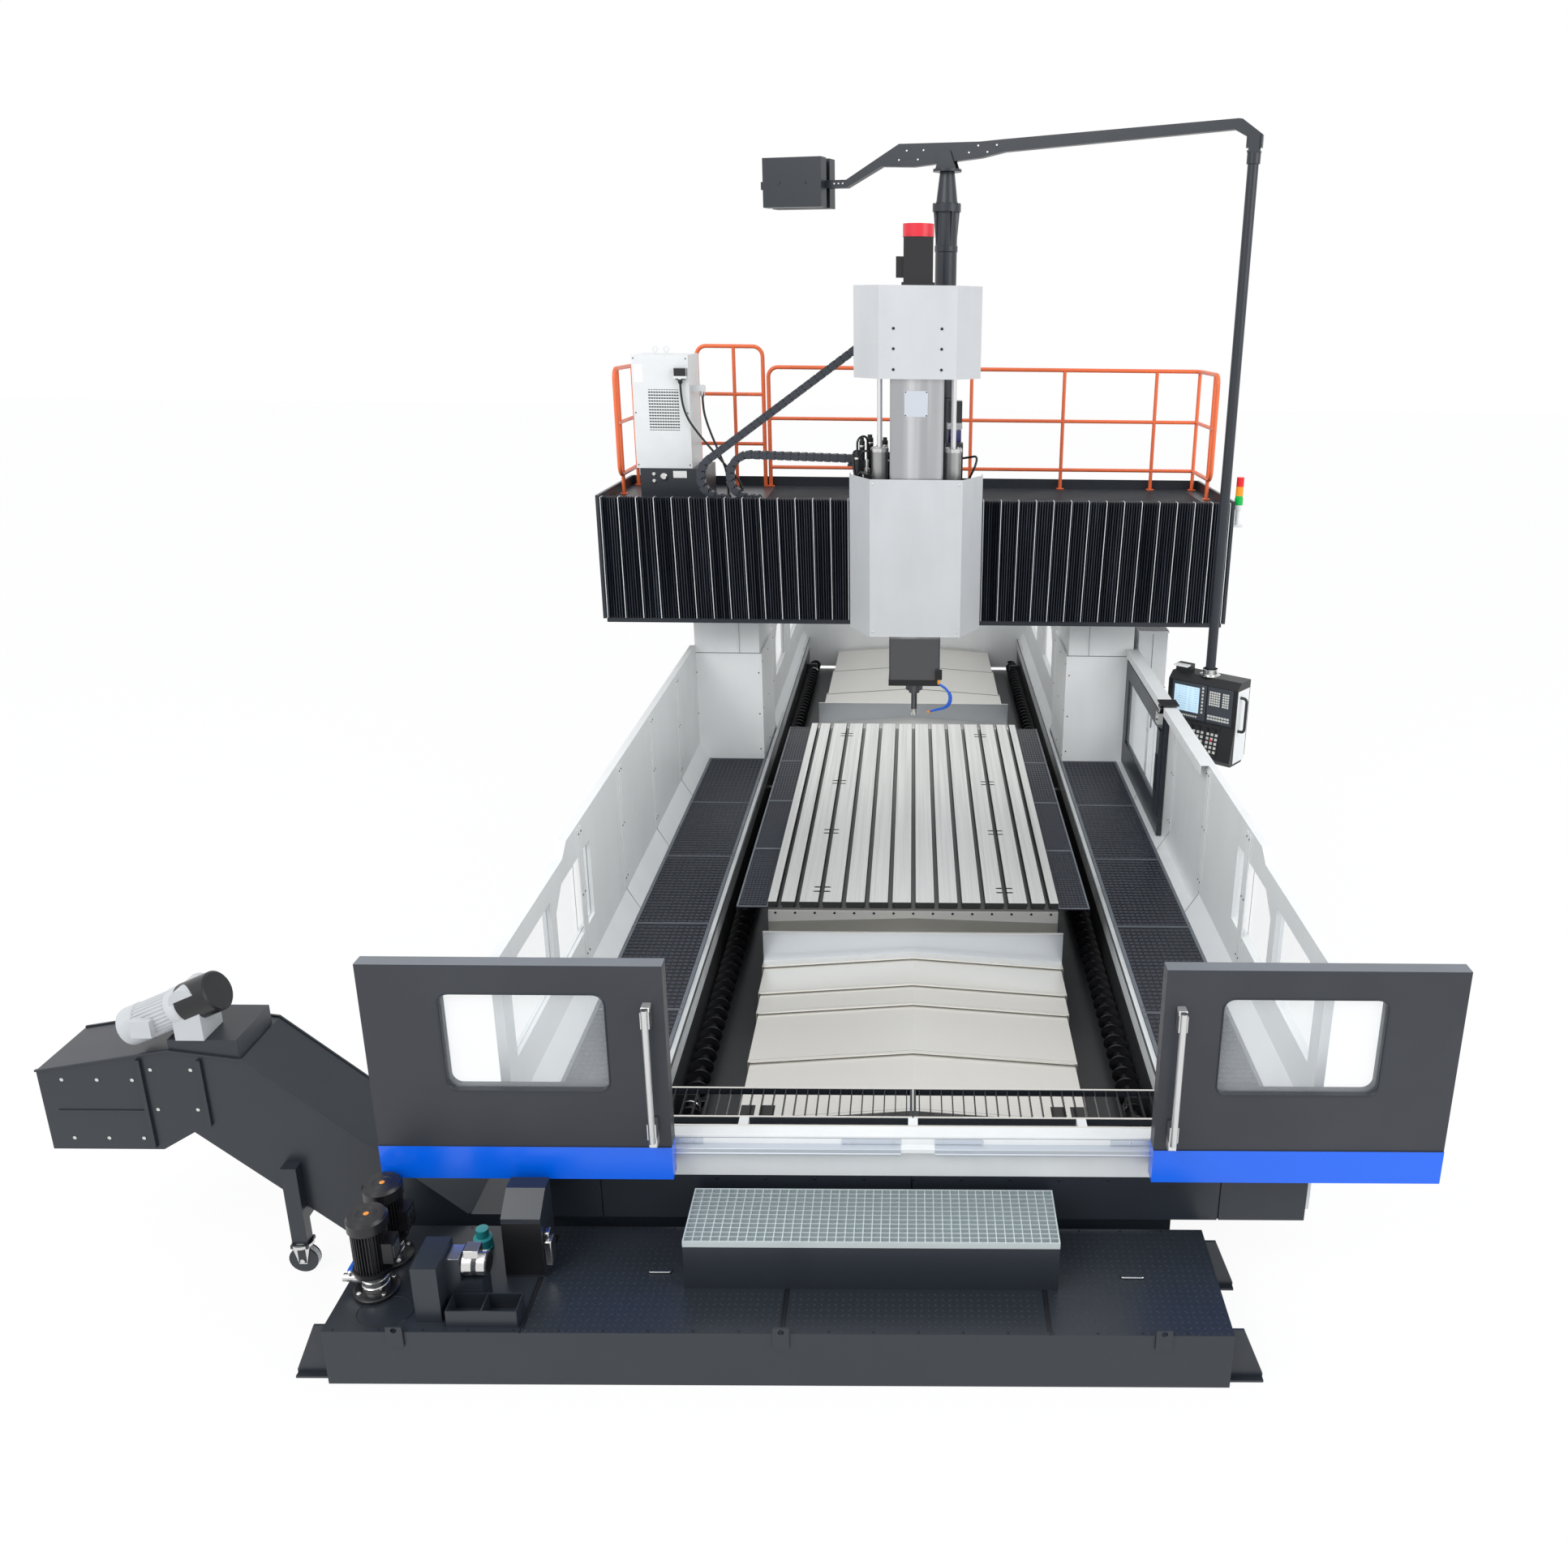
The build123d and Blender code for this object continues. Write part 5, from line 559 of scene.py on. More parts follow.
@dataclass(frozen=True)
class DoorPaint:
    """Dark door paint with a blue band along the foot, and the brushed steel of the handle in front."""

    name: str
    band_top: float = 0.872
    handle_back: float = -5.5125
    dark: Colour = (0.024, 0.027, 0.035)
    blue: Colour = (0.0, 0.115, 0.76)
    steel: Colour = (0.7, 0.7, 0.7)

    def build(self) -> bpy.types.Material:
        """Makes the material."""
        maker = ShaderMaker(self.name)
        cloud = maker.noise(1.4, 4.0, 0.6)
        fine = maker.noise(420.0, 2.0)
        band = maker.axis("Z").below(self.band_top)
        handle = maker.axis("Y").below(self.handle_back)
        painted = maker.mix(band, maker.mix(cloud.ramp(0.35, 0.75), self.dark, shaded(self.dark, 1.25)), self.blue)
        return maker.finish(
            Base_Color=maker.mix(handle, painted, self.steel),
            Roughness=cloud * 0.1 + 0.36 - band * 0.16 - handle * 0.1,
            Metallic=handle,
            Coat_Weight=band * 0.15,
            Coat_Roughness=0.12,
            Normal=maker.bump(fine, 0.0001),
        )


@dataclass(frozen=True)
class Bands:
    """A plastic or painted stack whose colour changes at heights along one axis."""

    name: str
    axis: str
    colours: tuple[Colour, ...]
    limits: tuple[float, ...]
    roughness: float = 0.3
    glow: float = 0.0

    def build(self) -> bpy.types.Material:
        """Makes the material: each limit passed swaps in the next colour."""
        maker = ShaderMaker(self.name)
        height = maker.axis(self.axis)
        colour: Sock | Colour = self.colours[0]
        for limit, following in zip(self.limits, self.colours[1:]):
            colour = maker.mix(height.above(limit), colour, following)
        cloud = maker.noise(6.0, 3.0, 0.6)
        shade = maker.mix(cloud * 0.12, colour, BLACK)
        fine = maker.noise(300.0, 2.0)
        inputs = {"Base_Color": shade, "Roughness": cloud * 0.1 + (self.roughness - 0.05)}
        if self.glow > 0.0:
            inputs.update(Emission_Color=shade, Emission_Strength=self.glow)
        return maker.finish(Normal=maker.bump(fine, 0.00008), **inputs)


@dataclass(frozen=True)
class Cloth:
    """Coated way-bellows cloth: a soft sheen, dusty folds and a fine weave."""

    name: str
    colour: Colour = (0.011, 0.015, 0.024)
    dust: Colour = (0.045, 0.055, 0.078)

    def build(self) -> bpy.types.Material:
        """Makes the material."""
        maker = ShaderMaker(self.name)
        dust = maker.noise((9.0, 9.0, 1.1), 5.0, 0.65)
        weave = maker.axis("X").wave(0.0016) * maker.axis("Z").wave(0.0016)
        return maker.finish(
            Base_Color=maker.mix(dust.ramp(0.5, 0.85), self.colour, self.dust),
            Roughness=dust * 0.2 + 0.4,
            Normal=maker.bump(weave, 0.0001),
        )


@dataclass(frozen=True)
class Pane:
    """Clear sheet with a faint tint and smears."""

    name: str
    colour: Colour = (0.86, 0.9, 0.92)

    def build(self) -> bpy.types.Material:
        """Makes the material."""
        maker = ShaderMaker(self.name)
        smear = maker.noise(2.2, 4.0, 0.6)
        return maker.finish(
            Base_Color=self.colour,
            Roughness=smear * 0.08 + 0.03,
            Alpha=smear * 0.08 + 0.1,
            IOR=1.3,
        )


@dataclass(frozen=True)
class Screen:
    """The lit display: a pale field with faint rows and a darker heading, with no words."""

    name: str
    row: float = 0.021

    def build(self) -> bpy.types.Material:
        """Makes the material."""
        maker = ShaderMaker(self.name)
        height = maker.axis("Z")
        lines = height.every(self.row).below(0.3) * maker.noise((60.0, 60.0, 3.0), 2.0, 0.5).above(0.53)
        colour = maker.mix(lines * 0.5, (0.55, 0.74, 0.86), (0.12, 0.3, 0.55))
        return maker.finish(Base_Color=colour, Roughness=0.18, Emission_Color=colour, Emission_Strength=0.35)


@dataclass(frozen=True)
class RamSteel:
    """The ram's ground faces: broad upright bands between a bright and a dull colour, painted reflections of the
    surroundings, and a darker colour below a set height near its foot.
    """

    name: str
    # Bright and dull ends of the painted reflection bands.
    bright: Colour = (0.69, 0.7, 0.715)
    dull_reflection: Colour = (0.36, 0.365, 0.38)
    # Darker colour below a set height near the ram's foot.
    dark_foot: Colour = (0.1, 0.1, 0.105)
    dark_below: float = 2.15

    def build(self) -> bpy.types.Material:
        """Makes the material."""
        maker = ShaderMaker(self.name)
        # Painted reflections: broad upright bands of bright and dull colour stand for the surroundings mirrored in the
        # ground steel.
        painted_reflection_bands = maker.noise((7.0, 7.0, 0.25), 2.0, 0.4)
        lines = maker.noise((700.0, 700.0, 3.0), 3.0, 0.6)
        steel = maker.mix(painted_reflection_bands.ramp(0.34, 0.66) * 0.8 + lines * 0.2, self.bright, self.dull_reflection)
        upper = maker.axis("Z").ramp(self.dark_below - 0.02, self.dark_below + 0.02)
        return maker.finish(
            Base_Color=maker.mix(upper, self.dark_foot, steel),
            Roughness=lines * 0.12 + 0.28,
            Metallic=upper * 0.3 + 0.55,
            Normal=maker.bump(lines, 0.00005),
        )


@dataclass(frozen=True)
class DrivePaint:
    """Grey motor paint, with the dark paint of the bracket and its sole plate below and at the hood's side."""

    name: str
    level: float = 1.352
    place: float = -3.7
    grey: Colour = (0.5, 0.515, 0.53)
    dark: Colour = (0.018, 0.023, 0.031)

    def build(self) -> bpy.types.Material:
        """Makes the material."""
        maker = ShaderMaker(self.name)
        cloud = maker.noise(3.0, 4.0, 0.6)
        low = maker.axis("Z").below(self.level) * maker.axis("X").above(self.place)
        colour = maker.mix(low, self.grey, self.dark)
        fine = maker.noise(380.0, 2.0)
        dusty = maker.mix(cloud * 0.15, colour, BLACK)
        return maker.finish(Base_Color=dusty, Roughness=cloud * 0.1 + 0.33, Normal=maker.bump(fine, 0.0001))


@dataclass(frozen=True)
class TroughPaint:
    """Dark oily trough sheet whose outer curbs and their tops are pale."""

    name: str
    curb: float = 1.3705
    foot: float = 0.6
    dark: Colour = (0.03, 0.032, 0.034)
    pale: Colour = (0.66, 0.68, 0.69)

    def build(self) -> bpy.types.Material:
        """Makes the material: the square of the place across stands for its distance from the middle."""
        maker = ShaderMaker(self.name)
        across = maker.axis("X")
        cloud = maker.noise((2.0, 0.7, 2.0), 4.0, 0.6)
        stain = maker.mix(cloud.ramp(0.45, 0.75) * 0.6, self.pale, self.dark)
        curb = (across * across).above(self.curb**2) * maker.axis("Z").above(self.foot)
        colour = maker.mix(curb, self.dark, stain)
        fine = maker.noise(300.0, 2.0)
        return maker.finish(Base_Color=colour, Roughness=cloud * 0.15 + 0.27, Normal=maker.bump(fine, 0.0001))


class Finish(Enum):
    """Every finish on the machine."""

    WHITE = Paint("white_cover_paint", (0.74, 0.755, 0.76), 0.38, dirt=0.07)
    # The white paint, darkened as painted shade for the head covers, which face the key lamp.
    COVER = Paint("white_paint_painted_shade", (0.56, 0.57, 0.585), 0.38, dirt=0.07)
    # The white paint, lightened as painted light for the columns, which lie in the beam's shadow.
    COLUMN = Paint("white_paint_painted_light", (0.86, 0.875, 0.88), 0.38, dirt=0.05)
    DARK = Paint("dark_grey_paint", (0.018, 0.023, 0.031), 0.34)
    BLACK = Paint("black_paint", (0.007, 0.007, 0.009), 0.34)
    TREAD = Paint("blue_black_tread_paint", (0.008, 0.009, 0.014), 0.34, 0.0003)
    # Lighter colour of the tread louvres: a painted highlight on the raised dashes.
    DASH = Paint("blue_grey_dashes_painted_highlight", (0.032, 0.038, 0.056), 0.32, 0.0002)
    SPINDLE = Steel("dark_spindle_steel", (0.16, 0.16, 0.17), 0.26, (900.0, 900.0, 3.0), 0.1)
    BARE = Steel("bare_plate_sheet", (0.9, 0.9, 0.9), 0.45, (90.0, 90.0, 90.0), 0.15, metallic=0.3)
    MOTOR = Bands("spindle_motor_paint", "Z", ((0.012, 0.012, 0.014), (0.72, 0.02, 0.04)), (5.382,), 0.3)
    CHILLER = Bands("chiller_paint", "Z", ((0.02, 0.025, 0.033), (0.76, 0.775, 0.78)), (3.471,), 0.38)
    # Ground ram steel with painted reflections in its colour.
    RAM = RamSteel("brushed_ram_steel_painted_reflections")
    DRIVE = DrivePaint("drive_paint")
    TROUGH = TroughPaint("trough_paint")
    BED = Paint("oiled_bed_iron", (0.085, 0.083, 0.074), 0.36, 0.0002, 0.4)
    TREAD_EDGE = Paint("grey_tread_edge_paint", (0.14, 0.155, 0.18), 0.35)
    GREY = Paint("grey_motor_paint", (0.5, 0.515, 0.53), 0.38)
    DOOR = DoorPaint("door_paint_with_blue_band")
    ORANGE = Paint("orange_rail_paint", (0.84, 0.16, 0.05), 0.34)
    RED = Paint("red_cap_paint", (0.75, 0.03, 0.05), 0.3)
    TEAL = Paint("teal_cap_paint", (0.02, 0.28, 0.3), 0.35)
    BLUE = Paint("blue_joint_plastic", (0.006, 0.12, 0.62), 0.3, dirt=0.05)
    AMBER = Paint("amber_nozzle_plastic", (0.85, 0.3, 0.03), 0.35, dirt=0.05)
    STAINLESS = Steel("brushed_cover_steel", (0.86, 0.845, 0.8), 0.4, (900.0, 3.0, 900.0), 0.12, metallic=0.75)
    PLATE = Steel("bluish_plate_steel", (0.66, 0.7, 0.76), 0.36, (3.0, 900.0, 900.0), 0.1, metallic=0.7)
    APRON = Steel("dull_apron_sheet", (0.5, 0.5, 0.48), 0.5, (160.0, 160.0, 160.0), 0.4, 0.0003)
    IRON = Steel("table_body_iron", (0.3, 0.3, 0.3), 0.42, (700.0, 3.0, 700.0), 0.3)
    LANDS = LandIron("ground_table_lands")
    GROUND = Steel("ground_ram_steel", (0.42, 0.42, 0.425), 0.34, (900.0, 900.0, 4.0), 0.18)
    ALUMINIUM = Steel("drawn_aluminium", (0.82, 0.82, 0.82), 0.3, (900.0, 900.0, 900.0), 0.08, metallic=0.75)
    GALVANISED = Steel("galvanised_grating", (0.72, 0.79, 0.8), 0.4, (60.0, 60.0, 60.0), 0.2, metallic=0.7)
    BRIGHT = Steel("bright_fitting_steel", (0.72, 0.72, 0.71), 0.22, (300.0, 300.0, 300.0), 0.1)
    CHROME = Steel("hard_chrome", (0.8, 0.8, 0.82), 0.12, (900.0, 900.0, 3.0), 0.04)
    PANE = Pane("clear_window_sheet")
    CLOTH = Cloth("folded_cover_cloth")
    STRIPE = Paint("white_edge_strip", (0.75, 0.76, 0.77), 0.3, dirt=0.1)
    PLASTIC = Paint("black_moulded_plastic", (0.009, 0.01, 0.012), 0.42, 0.0001)
    CHAIN = Paint("grey_chain_plastic", (0.03, 0.036, 0.047), 0.38, 0.0001)
    KEY = Paint("pale_key_plastic", (0.72, 0.72, 0.68), 0.4, dirt=0.15)
    BEZEL = Paint("screen_bezel_plastic", (0.045, 0.052, 0.066), 0.4)
    LAMPS = Bands(
        "signal_lamp_plastic", "Z",
        ((0.7, 0.71, 0.72), (0.0, 0.42, 0.06), (0.85, 0.3, 0.01), (0.7, 0.01, 0.015)), (3.24, 3.32, 3.4), 0.2, 0.15,
    )
    SERVO = Bands(
        "servo_paint", "Z",
        ((0.03, 0.034, 0.04), (0.012, 0.016, 0.12), (0.5, 0.51, 0.52), (0.02, 0.022, 0.026)), (3.76, 3.86, 3.92), 0.35,
    )
    SCREEN = Screen("lit_display")

    def material(self) -> bpy.types.Material:
        """The finish's material, made once."""
        return bpy.data.materials.get(self.value.name) or self.value.build()


NODE_FINISH = {
    Finish.IRON: ("table",),
    Finish.LANDS: ("table_lands",),
    Finish.STAINLESS: (
        "table_end_covers", "front_way_cover_1", "front_way_cover_2", "front_way_cover_3",
        "rear_way_cover_1", "rear_way_cover_2", "way_covers_fixed",
    ),
    Finish.DARK: (
        "lower_front_cover", "coolant_tank", "conveyor_body", "crossbeam", "operator_post", "arm_yoke",
        "operator_arm", "drop_tube", "side_door", "saddle", "tank_fittings",
    ),
    Finish.DOOR: ("front_door_left", "front_door_right"),
    Finish.BLACK: ("chip_auger_left", "chip_auger_right", "front_grating", "coolant_pumps"),
    Finish.MOTOR: ("spindle_motor",),
    Finish.CHILLER: ("chiller",),
    Finish.BED: ("bed",),
    Finish.TROUGH: ("chip_troughs",),
    Finish.RAM: ("ram",),
    # Head covers and columns take the white paint with painted shade and with painted light.
    Finish.COVER: ("saddle_cover", "ram_cover"),
    Finish.COLUMN: ("columns",),
    Finish.TREAD: ("table_side_guards", "walkways"),
    Finish.SERVO: ("ram_servo",),
    Finish.WHITE: ("side_wall_left", "side_wall_right", "rear_enclosure", "front_sill", "electrical_cabinet"),
    Finish.PANE: ("wall_window_panes", "side_door_glass", "front_door_glass_left", "front_door_glass_right"),
    Finish.GALVANISED: ("front_step",),
    Finish.ORANGE: ("platform_handrail",),
    Finish.CLOTH: ("bellows_left", "bellows_right"),
    Finish.GROUND: ("balance_cylinders",),
    Finish.SPINDLE: ("spindle",),
    Finish.CHROME: ("balance_rods",),
    Finish.PLASTIC: ("control_box", "chiller_hoses", "coolant_nozzle"),
    Finish.CHAIN: ("ram_cable_chain", "saddle_cable_chain"),
    Finish.LAMPS: ("signal_tower",),
    Finish.DRIVE: ("conveyor_drive",),
}


def dress_nodes() -> None:
    """Gives every carried-over node its finish."""
    for finish, nodes in NODE_FINISH.items():
        for node in nodes:
            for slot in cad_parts[node].material_slots:
                slot.material = finish.material()


@dataclass
class Studio:
    """Camera, floor, backdrop light and lamps."""

    eye: Point = (-0.032, -10.824, 4.794)
    pitch: float = 18.079
    yaw: float = 0.475
    roll: float = -0.643
    focal: float = 1563.6
    centre: tuple[float, float] = (1134.4, 898.6)
    picture: tuple[int, int] = (1933, 1904)
    sensor: float = 36.0
    target: Point = (0.0, -1.0, 1.5)
    lamp_size: float = 9.0
    lamps: tuple[tuple[str, Point, float], ...] = (
        ("key", (-9.0, -12.0, 13.0), 1100.0), ("fill", (11.0, -9.0, 9.0), 700.0),
    )
    floor_half: float = 60.0
    floor_level: float = -0.002
    floor_signs: tuple[tuple[int, int], ...] = ((-1, -1), (1, -1), (1, 1), (-1, 1))

    def camera(self) -> None:
        """Sets up the camera: its axes are right, up and backward vectors turned by pitch, yaw and roll."""
        pitch, yaw, roll = (math.radians(value) for value in (self.pitch, self.yaw, self.roll))
        forward = Vector((math.sin(yaw) * math.cos(pitch), math.cos(yaw) * math.cos(pitch), -math.sin(pitch)))
        level = Vector((math.cos(yaw), -math.sin(yaw), 0.0))
        down = forward.cross(level)
        right = math.cos(roll) * level + math.sin(roll) * down
        lower = -math.sin(roll) * level + math.cos(roll) * down
        data = bpy.data.cameras.new("camera")
        width, height = self.picture
        data.sensor_fit = "HORIZONTAL"
        data.sensor_width = self.sensor
        data.lens = self.focal / width * self.sensor
        data.shift_x = (width / 2 - self.centre[0]) / width
        data.shift_y = (self.centre[1] - height / 2) / width
        data.clip_end = 200.0
        camera = new_object("camera", data)
        axes = Matrix((right, -lower, -forward)).transposed().to_4x4()
        camera.matrix_world = Matrix.Translation(self.eye) @ axes
        bpy.context.scene.camera = camera

    def floor(self) -> None:
        """A plain white floor that shows as white to the camera and keeps a soft shadow."""
        maker = ShaderMaker("studio_floor")
        glow = maker.node("ShaderNodeEmission", None, {"Color": LIGHT, "Strength": 1.0})
        mesh = bpy.data.meshes.new("studio_floor")
        corners = [(x * self.floor_half, y * self.floor_half, self.floor_level) for x, y in self.floor_signs]
        mesh.from_pydata(corners, [], [(0, 1, 2, 3)])
        mesh.materials.append(maker.finish(glow, Base_Color=(0.85, 0.85, 0.85), Roughness=0.8))
        new_object("studio_floor", mesh)

    def world(self) -> None:
        """A white surround for the camera and for gloss, and a plain light for the rest."""
        world = bpy.data.worlds.new("studio")
        bpy.context.scene.world = world
        world.use_nodes = True
        world.node_tree.nodes.clear()
        maker = NodeMaker(world.node_tree)
        looks = (((0.95, 0.98, 1.0), 0.98), (LIGHT, 1.0))
        light, seen = (maker.node("ShaderNodeBackground", None, {"Color": c, "Strength": s}) for c, s in looks)
        maker.show("ShaderNodeOutputWorld", maker.seen(1.0, light, seen))

    def lamp(self, name: str, place: Point, power: float) -> None:
        """One large soft lamp aimed at the machine's middle."""
        data = bpy.data.lights.new(name, "AREA")
        data.shape = "SQUARE"
        data.size = self.lamp_size
        data.energy = power
        turn = (Vector(self.target) - Vector(place)).to_track_quat("-Z", "Y")
        new_object(name, data).matrix_world = Matrix.Translation(place) @ turn.to_matrix().to_4x4()

    def build(self) -> None:
        """Floor, surround and lamps."""
        self.floor()
        self.world()
        for name, place, power in self.lamps:
            self.lamp(name, place, power)
        bpy.context.scene.view_settings.view_transform = "Standard"


@dataclass
class ChillerLines:
    """The chiller's power cable and its water hose, each one smooth line down to its gland in the platform."""

    cable: tuple[Point, ...] = (
        (-2.057, 0.600, 4.205), (-2.057, 0.600, 4.085), (-2.020, 0.603, 3.925), (-1.930, 0.606, 3.790),
        (-1.800, 0.601, 3.635), (-1.665, 0.597, 3.480), (-1.540, 0.600, 3.345), (-1.540, 0.600, 3.235),
    )
    hose: tuple[Point, ...] = (
        (-1.900, 0.800, 4.090), (-1.900, 0.800, 3.980), (-1.870, 0.803, 3.850), (-1.815, 0.802, 3.700),
        (-1.755, 0.798, 3.560), (-1.700, 0.800, 3.400), (-1.700, 0.800, 3.235),
    )
    diameter: float = 0.020
    cable_length: float = 1.142
    hose_length: float = 0.888

    def line(self, name: str, points: Sequence[Point], length: float) -> None:
        """Args:
            name: the piece's name.
            points: the route's control points.
            length: its real length; not used.
        """
        data = bpy.data.curves.new(name, "CURVE")
        data.dimensions = "3D"
        data.bevel_depth = self.diameter / 2
        data.bevel_resolution = 4
        data.resolution_u = 16
        spline = data.splines.new("NURBS")
        spline.points.add(len(points) - 1)
        spline.points.foreach_set("co", np.insert(np.array(points), 3, 1.0, axis=1).ravel())
        spline.order_u = 3
        spline.use_endpoint_u = True
        data.materials.append(Finish.PLASTIC.material())
        piece = new_object(name, data)
        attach(piece, "frame")
        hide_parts("chiller_hoses")

    def build(self) -> None:
        """Both lines."""
        self.line("chiller_power_cable", self.cable, self.cable_length)
        self.line("chiller_water_hose", self.hose, self.hose_length)


@dataclass
class WayBellows:
    """The pleated cover on one side of the saddle, with a white strip on each section's edge."""

    side: int
    inner: float = 0.575
    outer: float = 2.738
    bottom: float = 2.206
    top: float = 3.268
    front: float = 0.2035
    depth: float = 0.04
    back: float = 0.294
    sections: int = 14
    folds: int = 7
    lean: float = 0.03
    edge: float = 0.24
    strip: float = 0.0026
    seed: int = 5
    uneven: tuple[float, float] = (0.0018, 0.007)
    sag: float = 0.006
    dip: float = 0.028
    cap: float = 0.003
    fold: float = 0.004

    def shift(self, x: Array, height: Array) -> Array:
        """Sideways lean: lean times the square of the share outward, less towards the top."""
        share = (np.abs(x) - self.inner) / (self.outer - self.inner)
        return -self.side * self.lean * share * (1.0 - share) * 4.0 * (1.0 - height)

    def pleats(self) -> Shape:
        """The folded wall.

        Each fold has three stations, the two sides of its front edge and the valley a fold's depth behind, with a
        small seeded unevenness; every station is a ring over the front, the top and the straight back.
        """
        folds = self.sections * self.folds
        share = (np.arange(folds)[:, None] + np.array((0.0, self.edge, 0.5 + 0.5 * self.edge))).ravel() / folds
        share, count = np.append(share, 1.0), 3 * folds + 1
        chance = np.random.default_rng(self.seed + self.side)
        x = self.side * (self.outer + (self.inner - self.outer) * share)
        ends = np.arange(count) % (count - 1) == 0
        x = x + np.where(ends, 0.0, chance.uniform(-self.uneven[0], self.uneven[0], count))
        valley = (np.arange(count) % 3 == 2).astype(float)
        crease = valley * self.depth + chance.uniform(0.0, self.uneven[1], count)
        height = np.linspace(0.0, 1.0, 9)
        level = self.bottom + (self.top - valley * self.dip - self.bottom)[:, None] * height[None, :]
        sag = self.sag * np.sin(np.pi * height)[None, :] * chance.uniform(0.0, 1.0, count)[:, None]
        xs = x[:, None] + self.shift(x[:, None], height[None, :])
        wall = np.stack((xs, self.front + crease[:, None] + sag, level), axis=2)
        back = np.full((count, 2, 3), self.back)
        back[:, :, 0], back[:, 0, 2], back[:, 1, 2] = x[:, None], level[:, -1], self.bottom
        return Shape().loft(np.concatenate((wall, back), axis=1))

    def strips(self) -> Shape:
        """White strips up the front and back over the top, one at each section's edge."""
        shape, inward = Shape(), self.fold * np.array(((0, 1, 0), (0, 1, -1), (0, 0, -1)))
        for place in self.side * np.linspace(self.outer - 0.012, self.inner + 0.012, self.sections + 1):
            foot = place + float(self.shift(np.array(place), np.array(0.0)))
            top = self.top + self.cap
            route = np.array(((foot, self.front, self.bottom), (place, self.front, top), (place, self.back, top)))
            inner, wide = route + inward, np.array((self.strip, 0, 0))
            shape.loft(np.stack((route - wide, route + wide, inner + wide, inner - wide), axis=1))
        return shape

    def build(self) -> None:
        """Wall and strips, from the beam's end to the saddle."""
        name = "left" if self.side < 0 else "right"
        ends = ("saddle", (self.side * self.outer, 0.25, 2.7), (self.side * self.inner, 0.25, 2.7))
        self.pleats().make(f"bellows_pleats_{name}", Finish.CLOTH, "frame", (f"bellows_{name}",), blend=ends)
        self.strips().make(f"bellows_strips_{name}", Finish.STRIPE, "frame", blend=ends)


@dataclass
class Treads:
    """Rows of short raised louvres on a dark plate, in framed sections."""

    across: tuple[float, float]
    along: tuple[float, float]
    level: float
    pitch: tuple[float, float]
    dash: tuple[float, float, float]
    sections: int
    edge: float = 0.022
    rim: float = 0.006
    gap: float = 0.003
    cross: float = 0.008

    def louvre(self) -> Shape:
        """One raised dash, low in front and high behind."""
        length, depth, rise = self.dash
        outline = ((0.0, -0.001), (depth, -0.001), (depth, rise), (depth * 0.55, rise), (0.0, rise * 0.25))
        return Shape().prism(outline, "x", (-length / 2, length / 2))

    def plates(self) -> tuple[Shape, Shape]:
        """The dashes and the raised frames of all sections.

        Returns:
            The dashes' shape and the frames' shape.
        """
        low, high = self.across
        start, end = self.along
        length = (end - start) / self.sections
        dashes, frames, top = Shape(), Shape(), self.level + self.rim
        xs = np.arange(low + 1.6 * self.edge, high - 1.2 * self.edge, self.pitch[0])
        xs = xs + (low + high) / 2 - xs.mean()
        for index in range(self.sections):
            first = start + index * length
            last = first + length
            ys = np.arange(first + 1.2 * self.edge, last - 1.2 * self.edge, self.pitch[1])
            dashes.repeat(self.louvre(), rows(xs, ys, self.level))
            for x in (low, high - self.edge):
                frames.boxes((x, x + self.edge), (first + self.gap, last - self.gap), (self.level - 0.001, top))
            cross = np.array((first + self.gap, last - self.gap - self.cross))
            span = (cross, cross + self.cross)
            frames.boxes((low + self.edge, high - self.edge), span, (self.level - 0.001, top - 0.002))
            ends = (first + 0.06, (first + last) / 2, last - 0.06)
            frames.heads(rows((low + self.edge / 2, high - self.edge / 2), ends, top), "z", 0.007)
        return dashes, frames

    def build(self, name: str, body: str) -> None:
        """Both sides of the machine.

        Args:
            name: start of the pieces' names.
            body: the body that carries them.
        """
        dashes, frames = self.plates()
        # The louvres take the lighter dash colour, a painted highlight.
        dashes.mirrored().make(f"{name}_louvres", Finish.DASH, body)
        frames.mirrored().make(f"{name}_frames", Finish.TREAD_EDGE, body)


@dataclass
class TableTrim:
    """Screws and plates at the table's ends and on the chip plates."""

    half: float = 1.0
    front: float = -2.904
    plate: float = -3.1
    rear_plate: float = 2.204
    plate_top: float = 0.823
    cover_half: float = 1.015
    eaves: float = 0.603
    rise: float = 0.075

    def build(self) -> None:
        """The light apron strip, its screws and the chip plate's sheet with its bright lip."""
        half, ridge = self.half, (0.0, 0.832)
        strip = ((-half, 0.800), ridge, (half, 0.800), (half, 0.884), (-half, 0.884))
        Shape().prism(strip, "y", (self.front - 0.003, self.front)).make("apron_strip", Finish.ALUMINIUM, "table")
        skirt = ((-half, 0.72), (half, 0.72), (half, 0.8), ridge, (-half, 0.8))
        Shape().prism(skirt, "y", (self.front - 0.002, self.front)).make("apron_skirt", Finish.APRON, "table")
        places = rows(np.linspace(-0.95, 0.95, 15), self.front - 0.003, 0.868)
        Shape().heads(places, "-y", 0.009).make("apron_screws", Finish.BLACK, "table")
        half, top = self.cover_half, self.plate_top
        outline = ((-half, self.eaves), (0.0, self.eaves + self.rise), (half, self.eaves), (half, top), (-half, top))
        sheet = Shape().prism(outline, "y", (self.plate - 0.0062, self.plate - 0.0038))
        sheet.prism(outline, "y", (self.rear_plate - 0.0022, self.rear_plate - 0.0004))
        sheet.make("chip_plate_sheets", Finish.PLATE, "table")
        runs = ((self.plate - 0.018, self.plate + 0.003), (self.rear_plate - 0.003, self.rear_plate + 0.012))
        lips = (((-half, half), run, (top - 0.001, top + 0.002)) for run in runs)
        bars("chip_plate_lips", Finish.ALUMINIUM, *lips, body="table")


